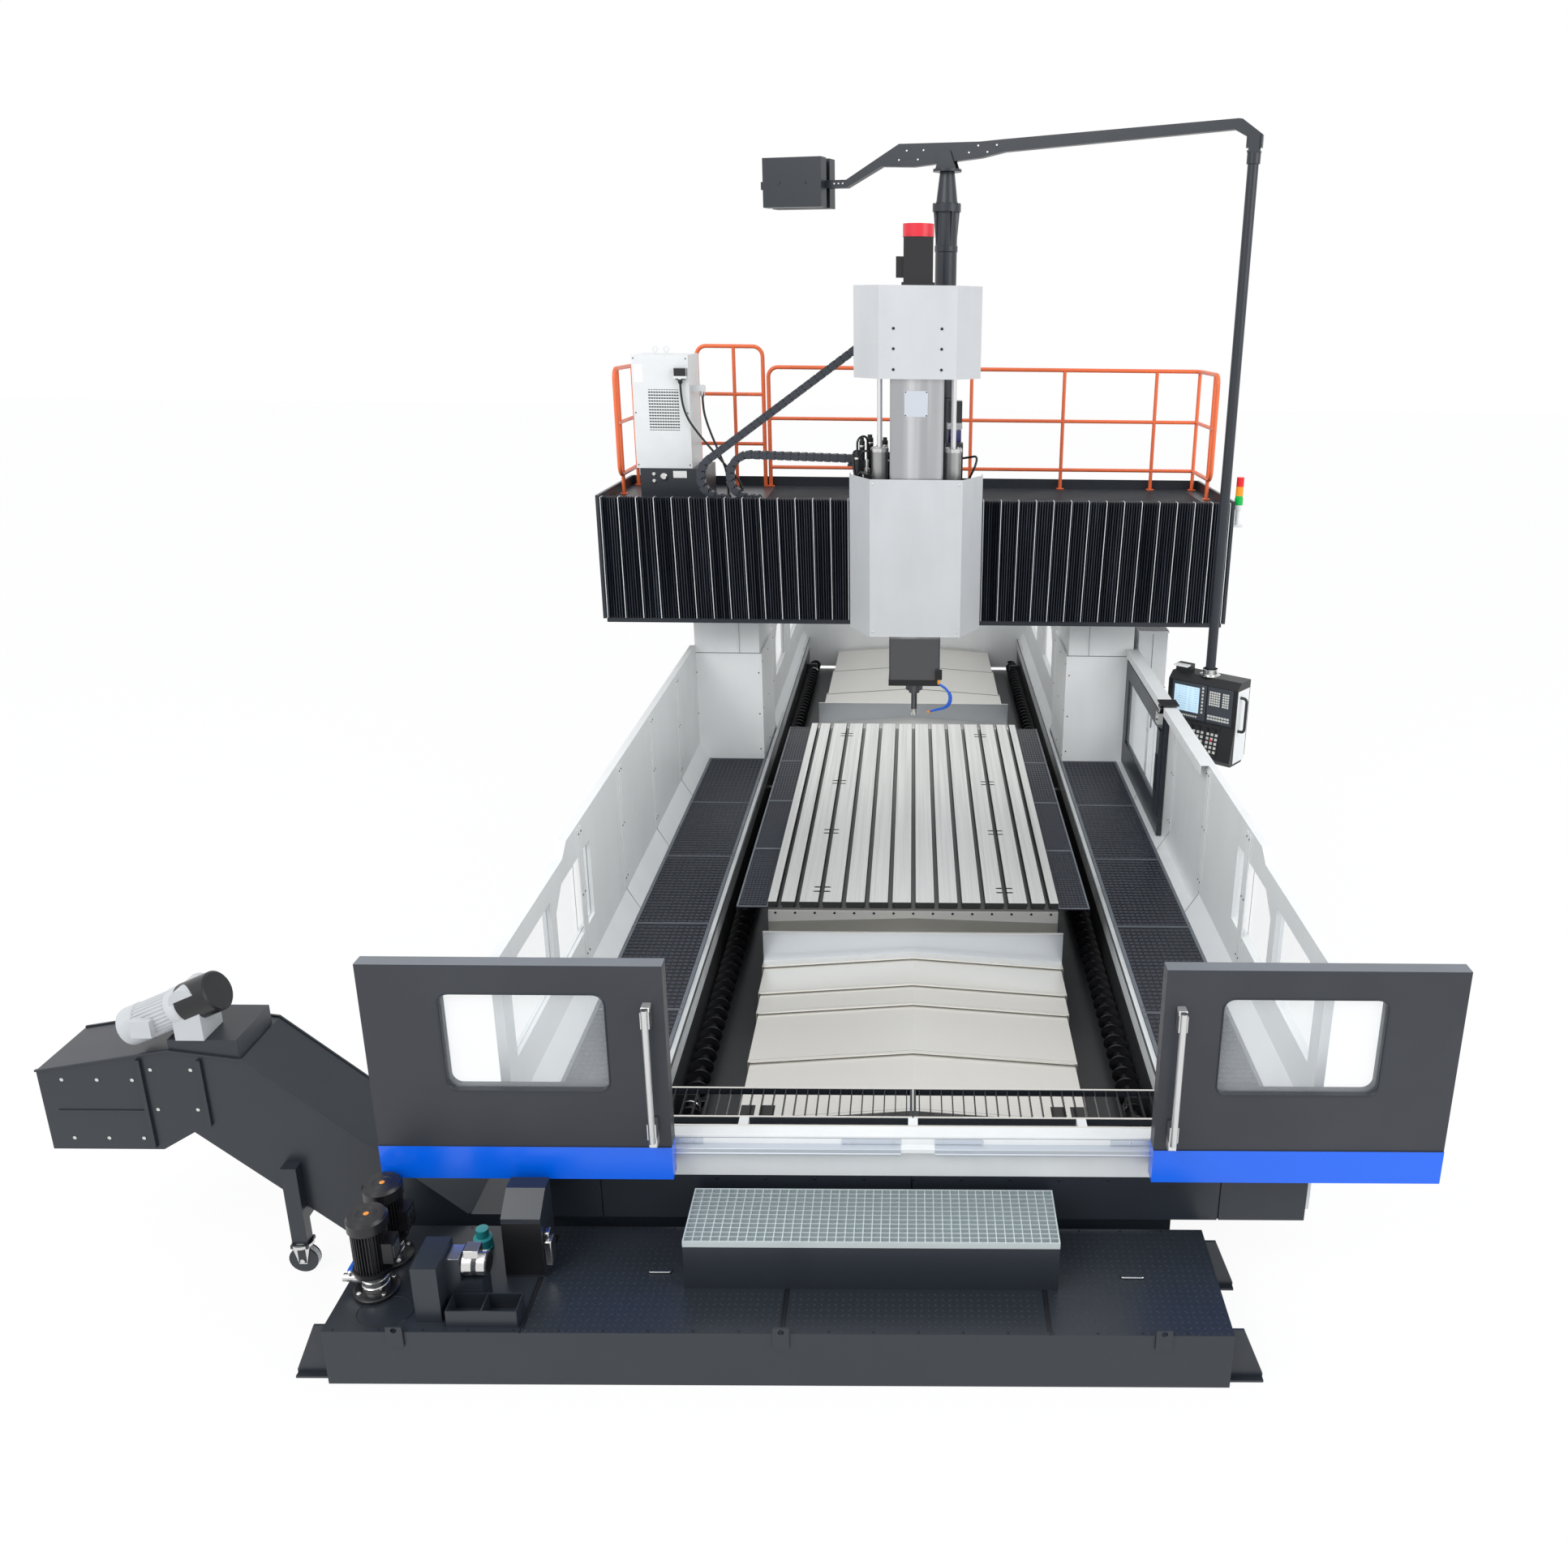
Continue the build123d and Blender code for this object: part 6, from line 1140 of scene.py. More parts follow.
@dataclass
class CoverLips:
    """Painted shade along the fold behind each way cover's front edge: a thin darker strip over the roof from eaves to
    eaves.
    """

    sections: tuple[tuple[str, float, float], ...] = (
        ("table", -3.192, 0.0), ("front_cover_one", -3.526, 0.012), ("front_cover_two", -3.752, 0.024),
        ("front_cover_three", -4.286, 0.036), ("frame", -4.851, 0.048),
        ("table", 2.3, 0.0), ("rear_cover_one", 3.333, 0.012), ("rear_cover_two", 4.367, 0.024), ("frame", 5.4, 0.036),
    )
    half: float = 1.013
    eaves: float = 0.603
    rise: float = 0.075
    inset: float = 0.026
    thick: float = 0.0015

    def build(self) -> None:
        """One strip a section."""
        for index, (body, edge, drop) in enumerate(self.sections):
            half, eaves = self.half - drop, self.eaves - drop
            roof = ((-half, eaves), (0.0, eaves + self.rise), (half, eaves))
            outline = (*roof, *((x, z + self.thick) for x, z in roof[::-1]))
            place = edge + self.inset if edge < 0 else edge - self.inset
            strip = Shape().prism(outline, "y", (place - 0.0015, place + 0.0015))
            # Darker iron strip on the bright cover, painted as the shade in the fold.
            strip.make(f"cover_fold_painted_shade_{index + 1}", Finish.IRON, body)


@dataclass
class ChipAuger:
    """One chip screw: shaft and four stretches of a helical flight between the hangers."""

    side: int
    offset: float = 1.285
    height: float = 0.41
    radius: float = 0.072
    shaft: float = 0.0305
    span: tuple[float, float] = (-4.84, 5.33)
    hangers: tuple[float, ...] = (-4.49, 0.5, 4.98)
    pitch: float = 0.12
    turn_steps: int = 22
    inner: float = 0.027
    thick: tuple[float, float] = (0.011, 0.006)
    clear: float = 0.045

    def flight(self, start: float, end: float) -> Shape:
        """A helical blade: angle grows by a turn a pitch, and its section is a thin four-cornered wedge."""
        count = max(8, int((end - start) / self.pitch * self.turn_steps))
        along_y = np.linspace(start, end, count)
        angle = self.side * FULL_TURN * (along_y - start) / self.pitch
        out = np.stack((np.cos(angle), np.zeros(count), np.sin(angle)), axis=1)[:, None, :]
        middle = np.stack((np.full(count, self.side * self.offset), along_y, np.full(count, self.height)), axis=1)
        root, tip = self.thick
        section = np.array(((self.inner, -root), (self.radius, -tip), (self.radius, tip), (self.inner, root)))
        rings = middle[:, None, :] + section[None, :, 0, None] * out
        return Shape().loft(rings + section[None, :, 1, None] * np.array((0.0, 1.0, 0.0)))

    def build(self) -> None:
        """Flights and shaft in one turning piece, and the bright bearing blocks that stay."""
        name = "left" if self.side < 0 else "right"
        x = self.side * self.offset
        start, end = self.span
        screw = Shape().lathe((x, start, self.height), "y", ((self.shaft, 0.0), (self.shaft, end - start)), 16)
        edges = [start + 0.02, *(p + s for p in self.hangers for s in (-self.clear, self.clear)), end - 0.02]
        for start, end in zip(edges[0::2], edges[1::2]):
            flight = self.flight(start, end)
            screw.add(np.concatenate(flight.points), *flight.faces)
        screw.make(f"auger_flights_{name}", Finish.BLACK, f"auger_{name}", (f"chip_auger_{name}",))
        block = Shape()
        profile = ((0.036, 0.0), (0.052, 0.0), (0.055, 0.004), (0.055, 0.064), (0.052, 0.068), (0.036, 0.068))
        for place in self.hangers:
            block.lathe((x, place - 0.034, self.height), "y", profile, 24)
            block.heads(rows((x - 0.02, x + 0.02), place, self.height + 0.05), "z", 0.008, 0.008)
        block.make(f"auger_bearing_blocks_{name}", Finish.BRIGHT, "frame")


@dataclass
class FrontGrating:
    """The walk-over grating behind the sill: two framed halves of serrated bars."""

    half: float = 1.372
    span: tuple[float, float] = (-5.15, -4.88)
    heights: tuple[float, float] = (0.76, 0.80)
    bars: int = 23
    bar: float = 0.006
    teeth: int = 9
    bite: float = 0.009
    rim: float = 0.012
    worn: float = 0.003

    def serrated_bar(self) -> Shape:
        """One bar on edge whose top is a row of scallops: height falls by the square of a sine."""
        y = np.linspace(self.span[0] + self.rim, self.span[1] - self.rim, self.teeth * 6 + 1)
        share = (y - y[0]) / (y[-1] - y[0])
        top = self.heights[1] - 0.002 - self.bite * np.abs(np.sin(np.pi * share * self.teeth))
        foot = self.heights[0] + 0.004
        outline = np.concatenate((np.stack((y, top), axis=1), ((y[-1], foot), (y[0], foot))))
        return Shape().prism(outline, "x", (-self.bar / 2, self.bar / 2))

    def build(self) -> None:
        """Bars, frames and the two access plates."""
        bars, frame_bars, edges = Shape(), Shape(), Shape()
        low, high = self.heights
        for start, end in ((-self.half, -0.004), (0.004, self.half)):
            places = np.linspace(start + 0.03, end - 0.03, self.bars)
            bars.repeat(self.serrated_bar(), rows(places, 0.0, 0.0))
            for y in (self.span[0], self.span[1] - self.rim):
                frame_bars.boxes((start, end), (y, y + self.rim), (low, high - self.worn))
                edges.boxes((start, end), (y, y + self.rim), (high - self.worn, high))
            for x in (start, end - self.rim):
                frame_bars.boxes((x, x + self.rim), (self.span[0] + self.rim, self.span[1] - self.rim), (low, high))
            middle = (start + end) / 2 * 1.2
            for x in (middle - 0.09, middle + 0.015):
                bars.boxes((x, x + 0.075), (self.span[0] + 0.03, self.span[0] + 0.15), (low + 0.002, low + 0.008))
        bars.make("grating_bars", Finish.BLACK, "frame", ("front_grating",))
        frame_bars.make("grating_frames", Finish.DARK)
        edges.make("grating_worn_edges", Finish.STAINLESS)


@dataclass
class Sill:
    """Door rails and fastenings on the white sill and the dark cover under it."""

    front: float = -5.374
    rail: tuple[float, float] = (-5.4195, -5.373)
    half: float = 1.3

    def build(self) -> None:
        """Bright door rails, their strips, screws and the bolts of the lower cover."""
        rails, strips = Shape(), Shape()
        for start, end in ((-self.half, -0.06), (0.11, self.half)):
            rails.boxes((start, end), self.rail, (0.7785, 0.8015))
            rails.tube(((start, -5.414, 0.772), (end, -5.414, 0.772)), 0.009, 10)
            for x in ((start, start + 0.24), (end - 0.3, end)):
                strips.boxes(x, (self.front - 0.004, self.front), (0.806, 0.832))
        rails.make("sill_door_rails", Finish.PLATE, bevel=0.002)
        strips.make("sill_rail_strips", Finish.PLATE)
        skin, levels = (self.front - 0.0008, self.front), ((0.7585, 0.761), (0.8345, 0.8365))
        gaps = (((-self.half, self.half), skin, span) for span in levels)
        bars("sill_rail_shadow_gaps", Finish.TREAD_EDGE, *gaps)
        places = rows((-1.25, -1.1, -0.3, -0.1, 0.15, 0.35, 1.1, 1.25), self.front - 0.004, 0.819)
        Shape().heads(places, "-y", 0.006).make("sill_rail_screws", Finish.BRIGHT)
        bolts = rows(np.arange(-2.0, 2.1, 0.25), self.front, 0.592)
        Shape().heads(bolts, "-y", 0.008).make("lower_cover_screws", Finish.BLACK)
        bars("sill_worn_top_edge", Finish.STAINLESS, ((-self.half, self.half), (-5.292, -5.284), (0.8455, 0.8495)))


@dataclass
class StepGrating:
    """The galvanised grating on the step: bearing bars and cross bars in a flat frame."""

    left: float = -1.1
    right: float = 0.708
    front: float = -5.827
    back: float = -5.44
    bottom: float = 0.546
    top: float = 0.58
    edge: float = 0.004
    columns: int = 43
    lines: int = 13

    def build(self) -> None:
        """Bars and frame, with a floor sheet under them."""
        left, right, front, back, low, top = self.left, self.right, self.front, self.back, self.bottom, self.top
        edge = self.edge
        inside = ((left + edge, right - edge), (front + edge, back - edge))
        x, y = np.linspace(*inside[0], self.columns), np.linspace(*inside[1], self.lines)
        grid = Shape().boxes((x - 0.0025, x + 0.0025), inside[1], (top - 0.012, top - 0.0006))
        grid.boxes(inside[0], (y - 0.002, y + 0.002), (low + 0.003, top - 0.001))
        grid.boxes((left, right), (np.array((front, back - edge)), np.array((front + edge, back))), (low, top))
        grid.boxes((np.array((left, right - edge)), np.array((left + edge, right))), inside[1], (low, top))
        grid.make("step_grating_bars", Finish.GALVANISED, "frame", ("front_step",))
        bars("step_floor_sheet", Finish.PLATE, (*inside, (low, low + 0.002)))


@dataclass
class TankLid:
    """The coolant tank's lid: raised tear pattern on its walked part, edge strips, lift handles and screws."""

    left: float = -1.79
    right: float = 1.485
    front: float = -6.098
    back: float = -5.41
    level: float = 0.303
    pitch: float = 0.034
    tear: tuple[float, float, float] = (0.0125, 0.0035, 0.0016)
    seams: tuple[float, float, float] = (-1.812, -0.603, 0.642)
    step: tuple[float, float, float] = (-1.125, 0.735, -5.85)
    hatch: Point = (-2.48, -5.985, 0.3032)
    lean: float = 0.7071

    def tears(self) -> Shape:
        """Raised lenses in a woven order: neighbours lean by plus and minus 45 degrees, as flat double pyramids."""
        x, y = np.meshgrid(np.arange(self.left, self.right, self.pitch), np.arange(self.front, self.back, self.pitch),
                           indexing="ij")
        i, j = np.indices(x.shape)
        lean = np.where((i + j) % 2 == 0, 1.0, -1.0).ravel()
        centres = np.stack((x.ravel(), y.ravel(), np.full(x.size, self.level)), axis=1)
        clear = np.all(np.abs(centres[:, 0, None] - np.array(self.seams[1:])) > 0.03, axis=1)
        left, right, front = self.step
        under_step = (centres[:, 0] > left) & (centres[:, 0] < right) & (centres[:, 1] > front)
        keep = clear & ~under_step
        centres, lean = centres[keep], lean[keep]
        half, wide, rise = self.tear
        points = np.array(((-half, 0, 0), (0, -wide, 0), (half, 0, 0), (0, wide, 0), (0, 0, rise), (0, 0, -0.001)))
        faces = np.array(((0, 1, 4), (1, 2, 4), (2, 3, 4), (3, 0, 4), (1, 0, 5), (2, 1, 5), (3, 2, 5), (0, 3, 5)))
        lens = Shape().add(points, faces)
        turned, flat = self.lean * lean, 0 * lean
        first = np.stack((flat + self.lean, turned, flat), axis=1)
        second = np.stack((-turned, flat + self.lean, flat), axis=1)
        return Shape().placed(lens, centres, first, second, np.array(AXES["z"]))

    def handles(self) -> Shape:
        """Folded-down lift handles in the lid."""
        shape = Shape()
        for x, y in ((-1.238, -5.697), (1.083, -5.719)):
            left, right, front = x - 0.055, x + 0.055, y - 0.03
            corners = ((left, y, 0.302), (left, front, 0.311), (right, front, 0.311), (right, y, 0.302))
            shape.tube(rounded(corners, 0.012), 0.004, 8)
        return shape

    def build(self) -> None:
        """Tears, edge strips, handles, the round hatch at the left and its screws."""
        self.tears().make("tank_lid_tears", Finish.DARK)
        self.handles().make("tank_lid_handles", Finish.BRIGHT)
        strips = Shape()
        for x in self.seams:
            for start in (x - 0.012, x + 0.005):
                strips.boxes((start, start + 0.007), (-6.09, -5.46), (0.302, 0.3055))
        strips.make("tank_lid_strips", Finish.BLACK, bevel=0.0008)
        seam = ring(self.hatch, np.array((0.13, 0.1)), 48, closed=True)
        Shape().tube(seam, 0.0022, 6).make("tank_hatch_seam", Finish.BLACK)
        places = rows(np.arange(-2.68, 1.49, 0.2085), (-6.1, -5.405), 0.303)
        Shape().heads(places, "z", 0.006, 0.003).make("tank_lid_screws", Finish.BLACK)


@dataclass
class CoolantPump:
    """One upright pump: foot, bright stages, ribbed motor, pierced cowl and terminal box."""

    name: str
    place: tuple[float, float]
    level: float = 0.303
    ribs: int = 36
    stages: tuple[float, ...] = (0.022, 0.056, 0.09)
    cowl_rings: tuple[float, ...] = (0.036, 0.046, 0.056, 0.066, 0.076)

    def motor(self) -> Shape:
        """Turned parts, and the motor's wall as a ring whose radius alternates between rib and groove."""
        x, y = self.place
        body = Shape().lathe((x, y, self.level), "z", ((0.1055, 0.0), (0.1055, 0.016), (0.1, 0.02), (0.07, 0.024)), 40)
        body.lathe((x, y, self.level + 0.12), "z", ((0.066, 0.0), (0.092, 0.006), (0.093, 0.028), (0.07, 0.034)), 40)
        radius = np.where(np.arange(self.ribs * 4) % 4 < 2, 0.0845, 0.073)[:, None]
        body.loft(np.stack([ring((x, y, self.level + rise), radius, self.ribs * 4) for rise in (0.152, 0.372)]))
        cowl = ((0.09, 0.368), (0.0945, 0.372), (0.0945, 0.424), (0.084, 0.438), (0.03, 0.4398))
        body.lathe((x, y, self.level), "z", cowl, 40)
        return body.boxes((x + 0.07, x + 0.12), (y - 0.046, y + 0.046), (self.level + 0.19, self.level + 0.302))

    def build(self, replaces: Sequence[str] = ()) -> None:
        """All the pump's pieces."""
        x, y = self.place
        self.motor().make(f"{self.name}_motor", Finish.BLACK, "frame", replaces)
        bright, stage = Shape(), ((0.058, 0.0), (0.0625, 0.003), (0.0625, 0.027), (0.058, 0.031))
        for base in self.stages:
            bright.lathe((x, y, self.level + base), "z", stage, 32)
        bright.heads(ring((x, y, self.level + 0.02), 0.085, 4, 0.78), "z", 0.011, 0.012)
        bright.tube(((x - 0.06, y, self.level + 0.07), (x - 0.099, y, self.level + 0.07)), 0.0245, 20)
        bright.boxes((x + 0.12, x + 0.1225), (y - 0.032, y + 0.032), (self.level + 0.21, self.level + 0.28))
        bright.make(f"{self.name}_bright_parts", Finish.BRIGHT)
        slots = Shape()
        for radius in self.cowl_rings:
            level = self.level + 0.4392 if radius < 0.05 else self.level + 0.4375
            slots.tube(ring((x, y, level), radius, 36, closed=True), 0.0016, 4)
        slots.make(f"{self.name}_cowl_slots", Finish.PLASTIC)
        cap = Shape().lathe((x, y, self.level + 0.436), "z", ((0.013, 0.0), (0.013, 0.004), (0.006, 0.0055)), 16)
        cap.make(f"{self.name}_cap", Finish.AMBER)


@dataclass
class TankFittings:
    """Bright skimmer motor, teal float cap, connector and the blue valve handle."""

    def build(self) -> None:
        """Skimmer motor, float cap, junction box fittings, and the outlet valve with its lever."""
        motor = (
            (0.05, 0.0), (0.0572, 0.004), (0.0572, 0.05), (0.053, 0.054), (0.053, 0.07), (0.0572, 0.074),
            (0.0572, 0.112), (0.05, 0.1205), (0.02, 0.121),
        )
        ribs = Shape().lathe((-2.12, -5.9, 0.513), "x", motor, 32)
        ribs.boxes((-2.105, -2.035), (-5.935, -5.865), (0.562, 0.605))
        ribs.boxes((-2.187, -2.122), (-5.953, -5.847), (0.455, 0.5735))
        ribs.make("skimmer_motor_casing", Finish.BRIGHT, bevel=0.003)
        cap = (
            (0.05, 0.0), (0.05, 0.012), (0.047, 0.016), (0.047, 0.06), (0.031, 0.066), (0.031, 0.1105), (0.02, 0.112),
        )
        Shape().lathe((-2.158, -5.545, 0.303), "z", cap).make("float_cap", Finish.TEAL)
        plug = (((-1.789, -1.752), (-5.745, -5.675), (0.36, 0.5)), ((-1.789, -1.762), (-5.735, -5.685), (0.5, 0.545)))
        bars("junction_connector", Finish.BRIGHT, *plug, bevel=0.006)
        bars("junction_door", Finish.BLACK, ((-1.9805, -1.7895), (-5.7585, -5.7565), (0.318, 0.62)), bevel=0.001)
        valve = Shape().tube(((-2.672, -5.843, 0.373), (-2.726, -5.843, 0.373)), 0.02, 16)
        valve.lathe((-2.69, -5.843, 0.37), "z", ((0.014, 0.0), (0.014, 0.04), (0.008, 0.046)), 12)
        valve.make("outlet_valve", Finish.BRIGHT)
        bars("outlet_valve_lever", Finish.BLUE, ((-2.703, -2.677), (-5.85, -5.7), (0.412, 0.421)), bevel=0.003)


@dataclass
class Conveyor:
    """Details of the chip conveyor: geared motor, hood edges, bolts and the bright casters."""

    motor_start: Point = (-3.6, -5.25, 1.512)
    motor_end: Point = (-3.905, -5.25, 1.375)
    cowl_start: Point = (-3.6, -5.25, 1.512)
    cowl_end: Point = (-3.44, -5.25, 1.584)
    front: float = -5.33
    back: float = -4.93
    caster: float = -3.17
    ribs: int = 30
    fan_rings: tuple[float, ...] = (0.03, 0.045, 0.06, 0.075)
    caster_rows: tuple[float, float] = (-5.36, -4.9)

    def motor(self) -> tuple[Shape, Shape]:
        """Ribbed casing with its fan cover, and the dark cover at the drive end.

        The casing's ring has a radius that alternates between rib and groove, and stands square to the motor's axis.

        Returns:
            The grey casing and the dark cover.
        """
        start, end = np.array(self.motor_start), np.array(self.motor_end)
        axis = unit(end - start)
        side, up = across(axis)
        angle = np.linspace(0.0, FULL_TURN, self.ribs * 4, endpoint=False)
        radius = np.where(np.arange(self.ribs * 4) % 4 < 2, 0.0955, 0.0888)[:, None]
        ring = radius * (np.cos(angle)[:, None] * side + np.sin(angle)[:, None] * up)
        length = float(np.linalg.norm(end - start))
        grey = Shape().loft(np.stack((start + axis * 0.06 + ring, start + axis * (length - 0.09) + ring)))
        grey.lathe(start, axis, ((0.097, 0.002), (0.1, 0.008), (0.1, 0.054), (0.097, 0.06)), 32)
        cap = ((0.094, -0.09), (0.099, -0.086), (0.099, -0.01), (0.088, 0.002), (0.02, 0.003))
        grey.lathe(start, axis, [(radius, length + height) for radius, height in cap], 32)
        x, _, z = start + axis * 0.2
        grey.boxes((x - 0.05, x + 0.05), (self.front - 0.045, self.front), (z - 0.045, z + 0.045))
        cowl = unit(np.array(self.cowl_end) - np.array(self.cowl_start))
        profile = ((0.094, 0.0), (0.1035, 0.006), (0.1035, 0.172), (0.095, 0.1795), (0.03, 0.18))
        dark = Shape().lathe(np.array(self.cowl_start) - cowl * 0.002, cowl, profile, 40)
        turn = np.linspace(0.0, FULL_TURN, 33)[:, None]
        for radius in self.fan_rings:
            circle = start + axis * (length + 0.0008) + radius * (np.cos(turn) * side + np.sin(turn) * up)
            dark.tube(circle, 0.0022, 4)
        return grey, dark

    def hood(self) -> Shape:
        """Folded edges along the hood, the joint flanges and the flap at the chute."""
        shape = Shape()
        line = np.array(((-4.37, 0, 1.172), (-3.7, 0, 1.292), (-3.34, 0, 1.242), (-2.3, 0, 0.33)))
        offsets = np.array(((0.0, -0.012, -0.004), (0.0, 0.0, -0.004), (0.0, 0.0, 0.006), (0.0, -0.012, 0.006)))
        for y, turn in ((self.front, 1.0), (self.back, -1.0)):
            base = line + np.array((0.0, y, 0.0))
            shape.loft(base[:, None, :] + offsets[None] * np.array((1.0, turn, 1.0)))
        shape.boxes((-4.3, -3.86), (self.front - 0.006, self.front), (0.93, 0.945))
        for x, low in ((-3.86, 0.73), (-3.56, 0.86)):
            shape.boxes((x, x + 0.02), (self.front - 0.016, self.front), (low, 1.24))
        return shape

    def casters(self) -> tuple[Shape, Shape]:
        """Forks and wheels on both feet.

        Returns:
            The bright forks and the pale wheels.
        """
        forks, wheels, x = Shape(), Shape(), self.caster
        wheel = ((0.03, 0.0), (0.066, 0.0), (0.0755, 0.006), (0.0755, 0.031), (0.066, 0.037), (0.03, 0.037))
        outline = ((x - 0.045, 0.16), (x + 0.045, 0.16), (x + 0.02, 0.055), (x - 0.02, 0.055))
        swivel = ((0.05, 0.0), (0.056, 0.004), (0.056, 0.02), (0.02, 0.024), (0.02, 0.05))
        for y in self.caster_rows:
            wheels.lathe((x, y - 0.0185, 0.0755), "y", wheel, 32)
            for edge in (y - 0.03, y + 0.024):
                forks.prism(outline, "y", (edge, edge + 0.006))
            forks.lathe((x, y, 0.158), "z", swivel, 24)
            forks.lathe((x, y - 0.036, 0.0755), "y", ((0.012, 0.0), (0.012, 0.072)), 12)
        return forks, wheels

    def build(self) -> None:
        """All the conveyor's pieces."""
        grey, dark = self.motor()
        toward = unit(np.array(self.motor_end) - np.array(self.motor_start))
        cap = Shape().lathe(self.motor_end, toward, ((0.03, 0.0), (0.03, 0.005), (0.024, 0.007)), 20)
        cap.make("conveyor_fan_cap", Finish.AMBER)
        grey.make("conveyor_motor_casing", Finish.GREY)
        dark.make("conveyor_motor_cover", Finish.BLACK)
        self.hood().make("conveyor_hood_edges", Finish.DARK)
        forks, wheels = self.casters()
        forks.make("conveyor_caster_forks", Finish.BRIGHT)
        wheels.make("conveyor_caster_wheels", Finish.STRIPE)
        places = rows(np.linspace(-4.25, -3.9, 3), self.front, (0.78, 1.12))
        heads = Shape().heads(places, "-y", 0.01, 0.006)
        heads.heads(rows((-3.8, -3.6), self.front, (0.95, 1.18)), "-y", 0.01, 0.006)
        heads.make("conveyor_bolts", Finish.BRIGHT)


@dataclass
class Handrail:
    """The platform's rails as smooth round tubes with bent corners."""

    floor: float = 3.2
    back: float = 1.6
    front: float = 0.83
    side: float = 2.68
    start: float = -1.4
    heights: tuple[float, float, float] = (1.11, 0.64, 0.182)
    posts: tuple[float, ...] = (-0.354, 0.522, 1.4, 2.274, 2.68)
    gate: tuple[float, float] = (-2.07, -1.45)
    gate_top: float = 1.295
    tube: float = 0.019
    bend: float = 0.09

    def pipe(self, shape: Shape, *corners: Point, radius: float | None = None) -> None:
        """Adds one bent tube along its corners."""
        path = rounded(corners, self.bend, 7) if len(corners) > 2 else corners
        shape.tube(path, radius or self.tube, 14)

    def build(self) -> None:
        """Main rails, left loop, gate and the foot plates."""
        floor, back, front, side, start = self.floor, self.back, self.front, self.side, self.start
        top, middle, low = (floor + height for height in self.heights)
        thin = self.tube - 0.002
        shape = Shape()
        loop = ((side, back, top), (side, front, top), (side, front, low), (side, back, low))
        self.pipe(shape, (start, back, floor), (start, back, top), *loop)
        for level in (middle, low):
            self.pipe(shape, (start, back, level), (side, back, level), radius=thin)
        self.pipe(shape, (side, back, middle), (side, front, middle), radius=thin)
        self.pipe(shape, (-side, back, low), (-side, front, low), (-side, front, top), (-side, back, top))
        self.pipe(shape, (-side, front, middle), (-side, back, middle), radius=thin)
        feet = [(x, back) for x in self.posts] + [(side, front + 0.12), (-side, back), (-side, front + 0.12)]
        for x, y in feet:
            self.pipe(shape, (x, y, floor), (x, y, top), radius=thin)
        left, right = self.gate
        peak = floor + self.gate_top
        hook = (right, back, peak - 0.145)
        self.pipe(shape, (left, back, floor), (left, back, peak), (right, back, peak), hook)
        self.pipe(shape, (right, back, floor), hook)
        middle_x = left + (right - left) * 0.56
        self.pipe(shape, (middle_x, back, floor), (middle_x, back, peak), radius=thin)
        for level in (floor + 0.86, floor + 0.4):
            self.pipe(shape, (left, back, level), (right, back, level), radius=thin)
        shape.make("handrail_tubes", Finish.ORANGE, "frame", ("platform_handrail",))
        plates = Shape()
        for x, y in feet[:-2] + [(start, back), (-side, back), (-side, front + 0.12)]:
            plates.boxes((x - 0.035, x + 0.035), (y - 0.03, y + 0.03), (floor, floor + 0.008))
        plates.make("handrail_feet", Finish.ORANGE, bevel=0.002)
        run = np.arange(0.5, 1.5, 0.06)
        bars("platform_tread_bars", Finish.DARK, ((-1.35, 2.6), (run, run + 0.012), (floor, floor + 0.004)))


@dataclass
class Chiller:
    """Louvre slats, plug, glands and bare plates on the cooling unit."""

    field: tuple[float, float, float, float] = (-2.353, -2.08, 3.8, 4.15)
    front: float = 0.64
    slats: int = 14

    def build(self) -> None:
        """Slats in their field, the plug, the valve and the bare plates."""
        left, right, low, high = self.field
        pitch = (high - low) / self.slats
        outline = ((0.0035, 0.0), (-0.0005, 0.003), (-0.0005, 0.0105), (0.0035, 0.0145))
        slat = Shape().prism(outline, "x", (left + 0.004, right - 0.004))
        slats = Shape().repeat(slat, rows(0.0, self.front, low + pitch * (np.arange(self.slats) + 0.2)))
        x = np.linspace(left, right - 0.004, 13)
        slats.boxes((x, x + 0.004), (self.front - 0.0008, self.front + 0.004), (low, high))
        slats.make("chiller_louvres", Finish.WHITE)
        sheet = ((left, right), (self.front + 0.0045, self.front + 0.0055), (low, high))
        bars("chiller_filter", Finish.PLASTIC, sheet)
        plug = Shape().boxes((-2.113, -2.001), (0.589, 0.64), (4.262, 4.336))
        plug.boxes((-2.1, -2.014), (0.594, 0.64), (4.236, 4.262))
        plug.lathe((-2.057, 0.6, 4.2), "z", ((0.014, 0.0), (0.02, 0.012), (0.02, 0.04)), 16)
        plug.make("chiller_power_plug", Finish.PLASTIC, bevel=0.006)
        valve = Shape().lathe((-1.9, 0.8, 4.082), "z", ((0.015, 0.0), (0.021, 0.01), (0.021, 0.05)), 16)
        valve.lathe((-1.99, 0.8, 4.16), "x", ((0.016, 0.0), (0.016, 0.06), (0.024, 0.066), (0.024, 0.105)), 16)
        valve.make("chiller_hose_coupling", Finish.BRIGHT)
        plate = ((-2.463, -2.39), (self.front - 0.0012, self.front), (4.21, 4.36))
        bars("chiller_bare_plates", Finish.BARE, plate, ((-2.16, -2.04), (0.6188, 0.62), (3.39, 3.45)))
        base = Shape().lathe((-2.24, 0.62, 3.4), "-y", ((0.032, 0.0), (0.032, 0.02), (0.02, 0.03)), 20)
        for z in (3.36, 3.42):
            base.lathe((-2.33, 0.62, z), "-y", ((0.018, 0.0), (0.018, 0.012), (0.01, 0.02)), 12)
        base.make("chiller_base_valves", Finish.BRIGHT)
        places = rows((-2.465, -2.01), self.front, (3.5, 3.95, 4.41))
        Shape().heads(places, "-y", 0.006).make("chiller_screws", Finish.BLACK)


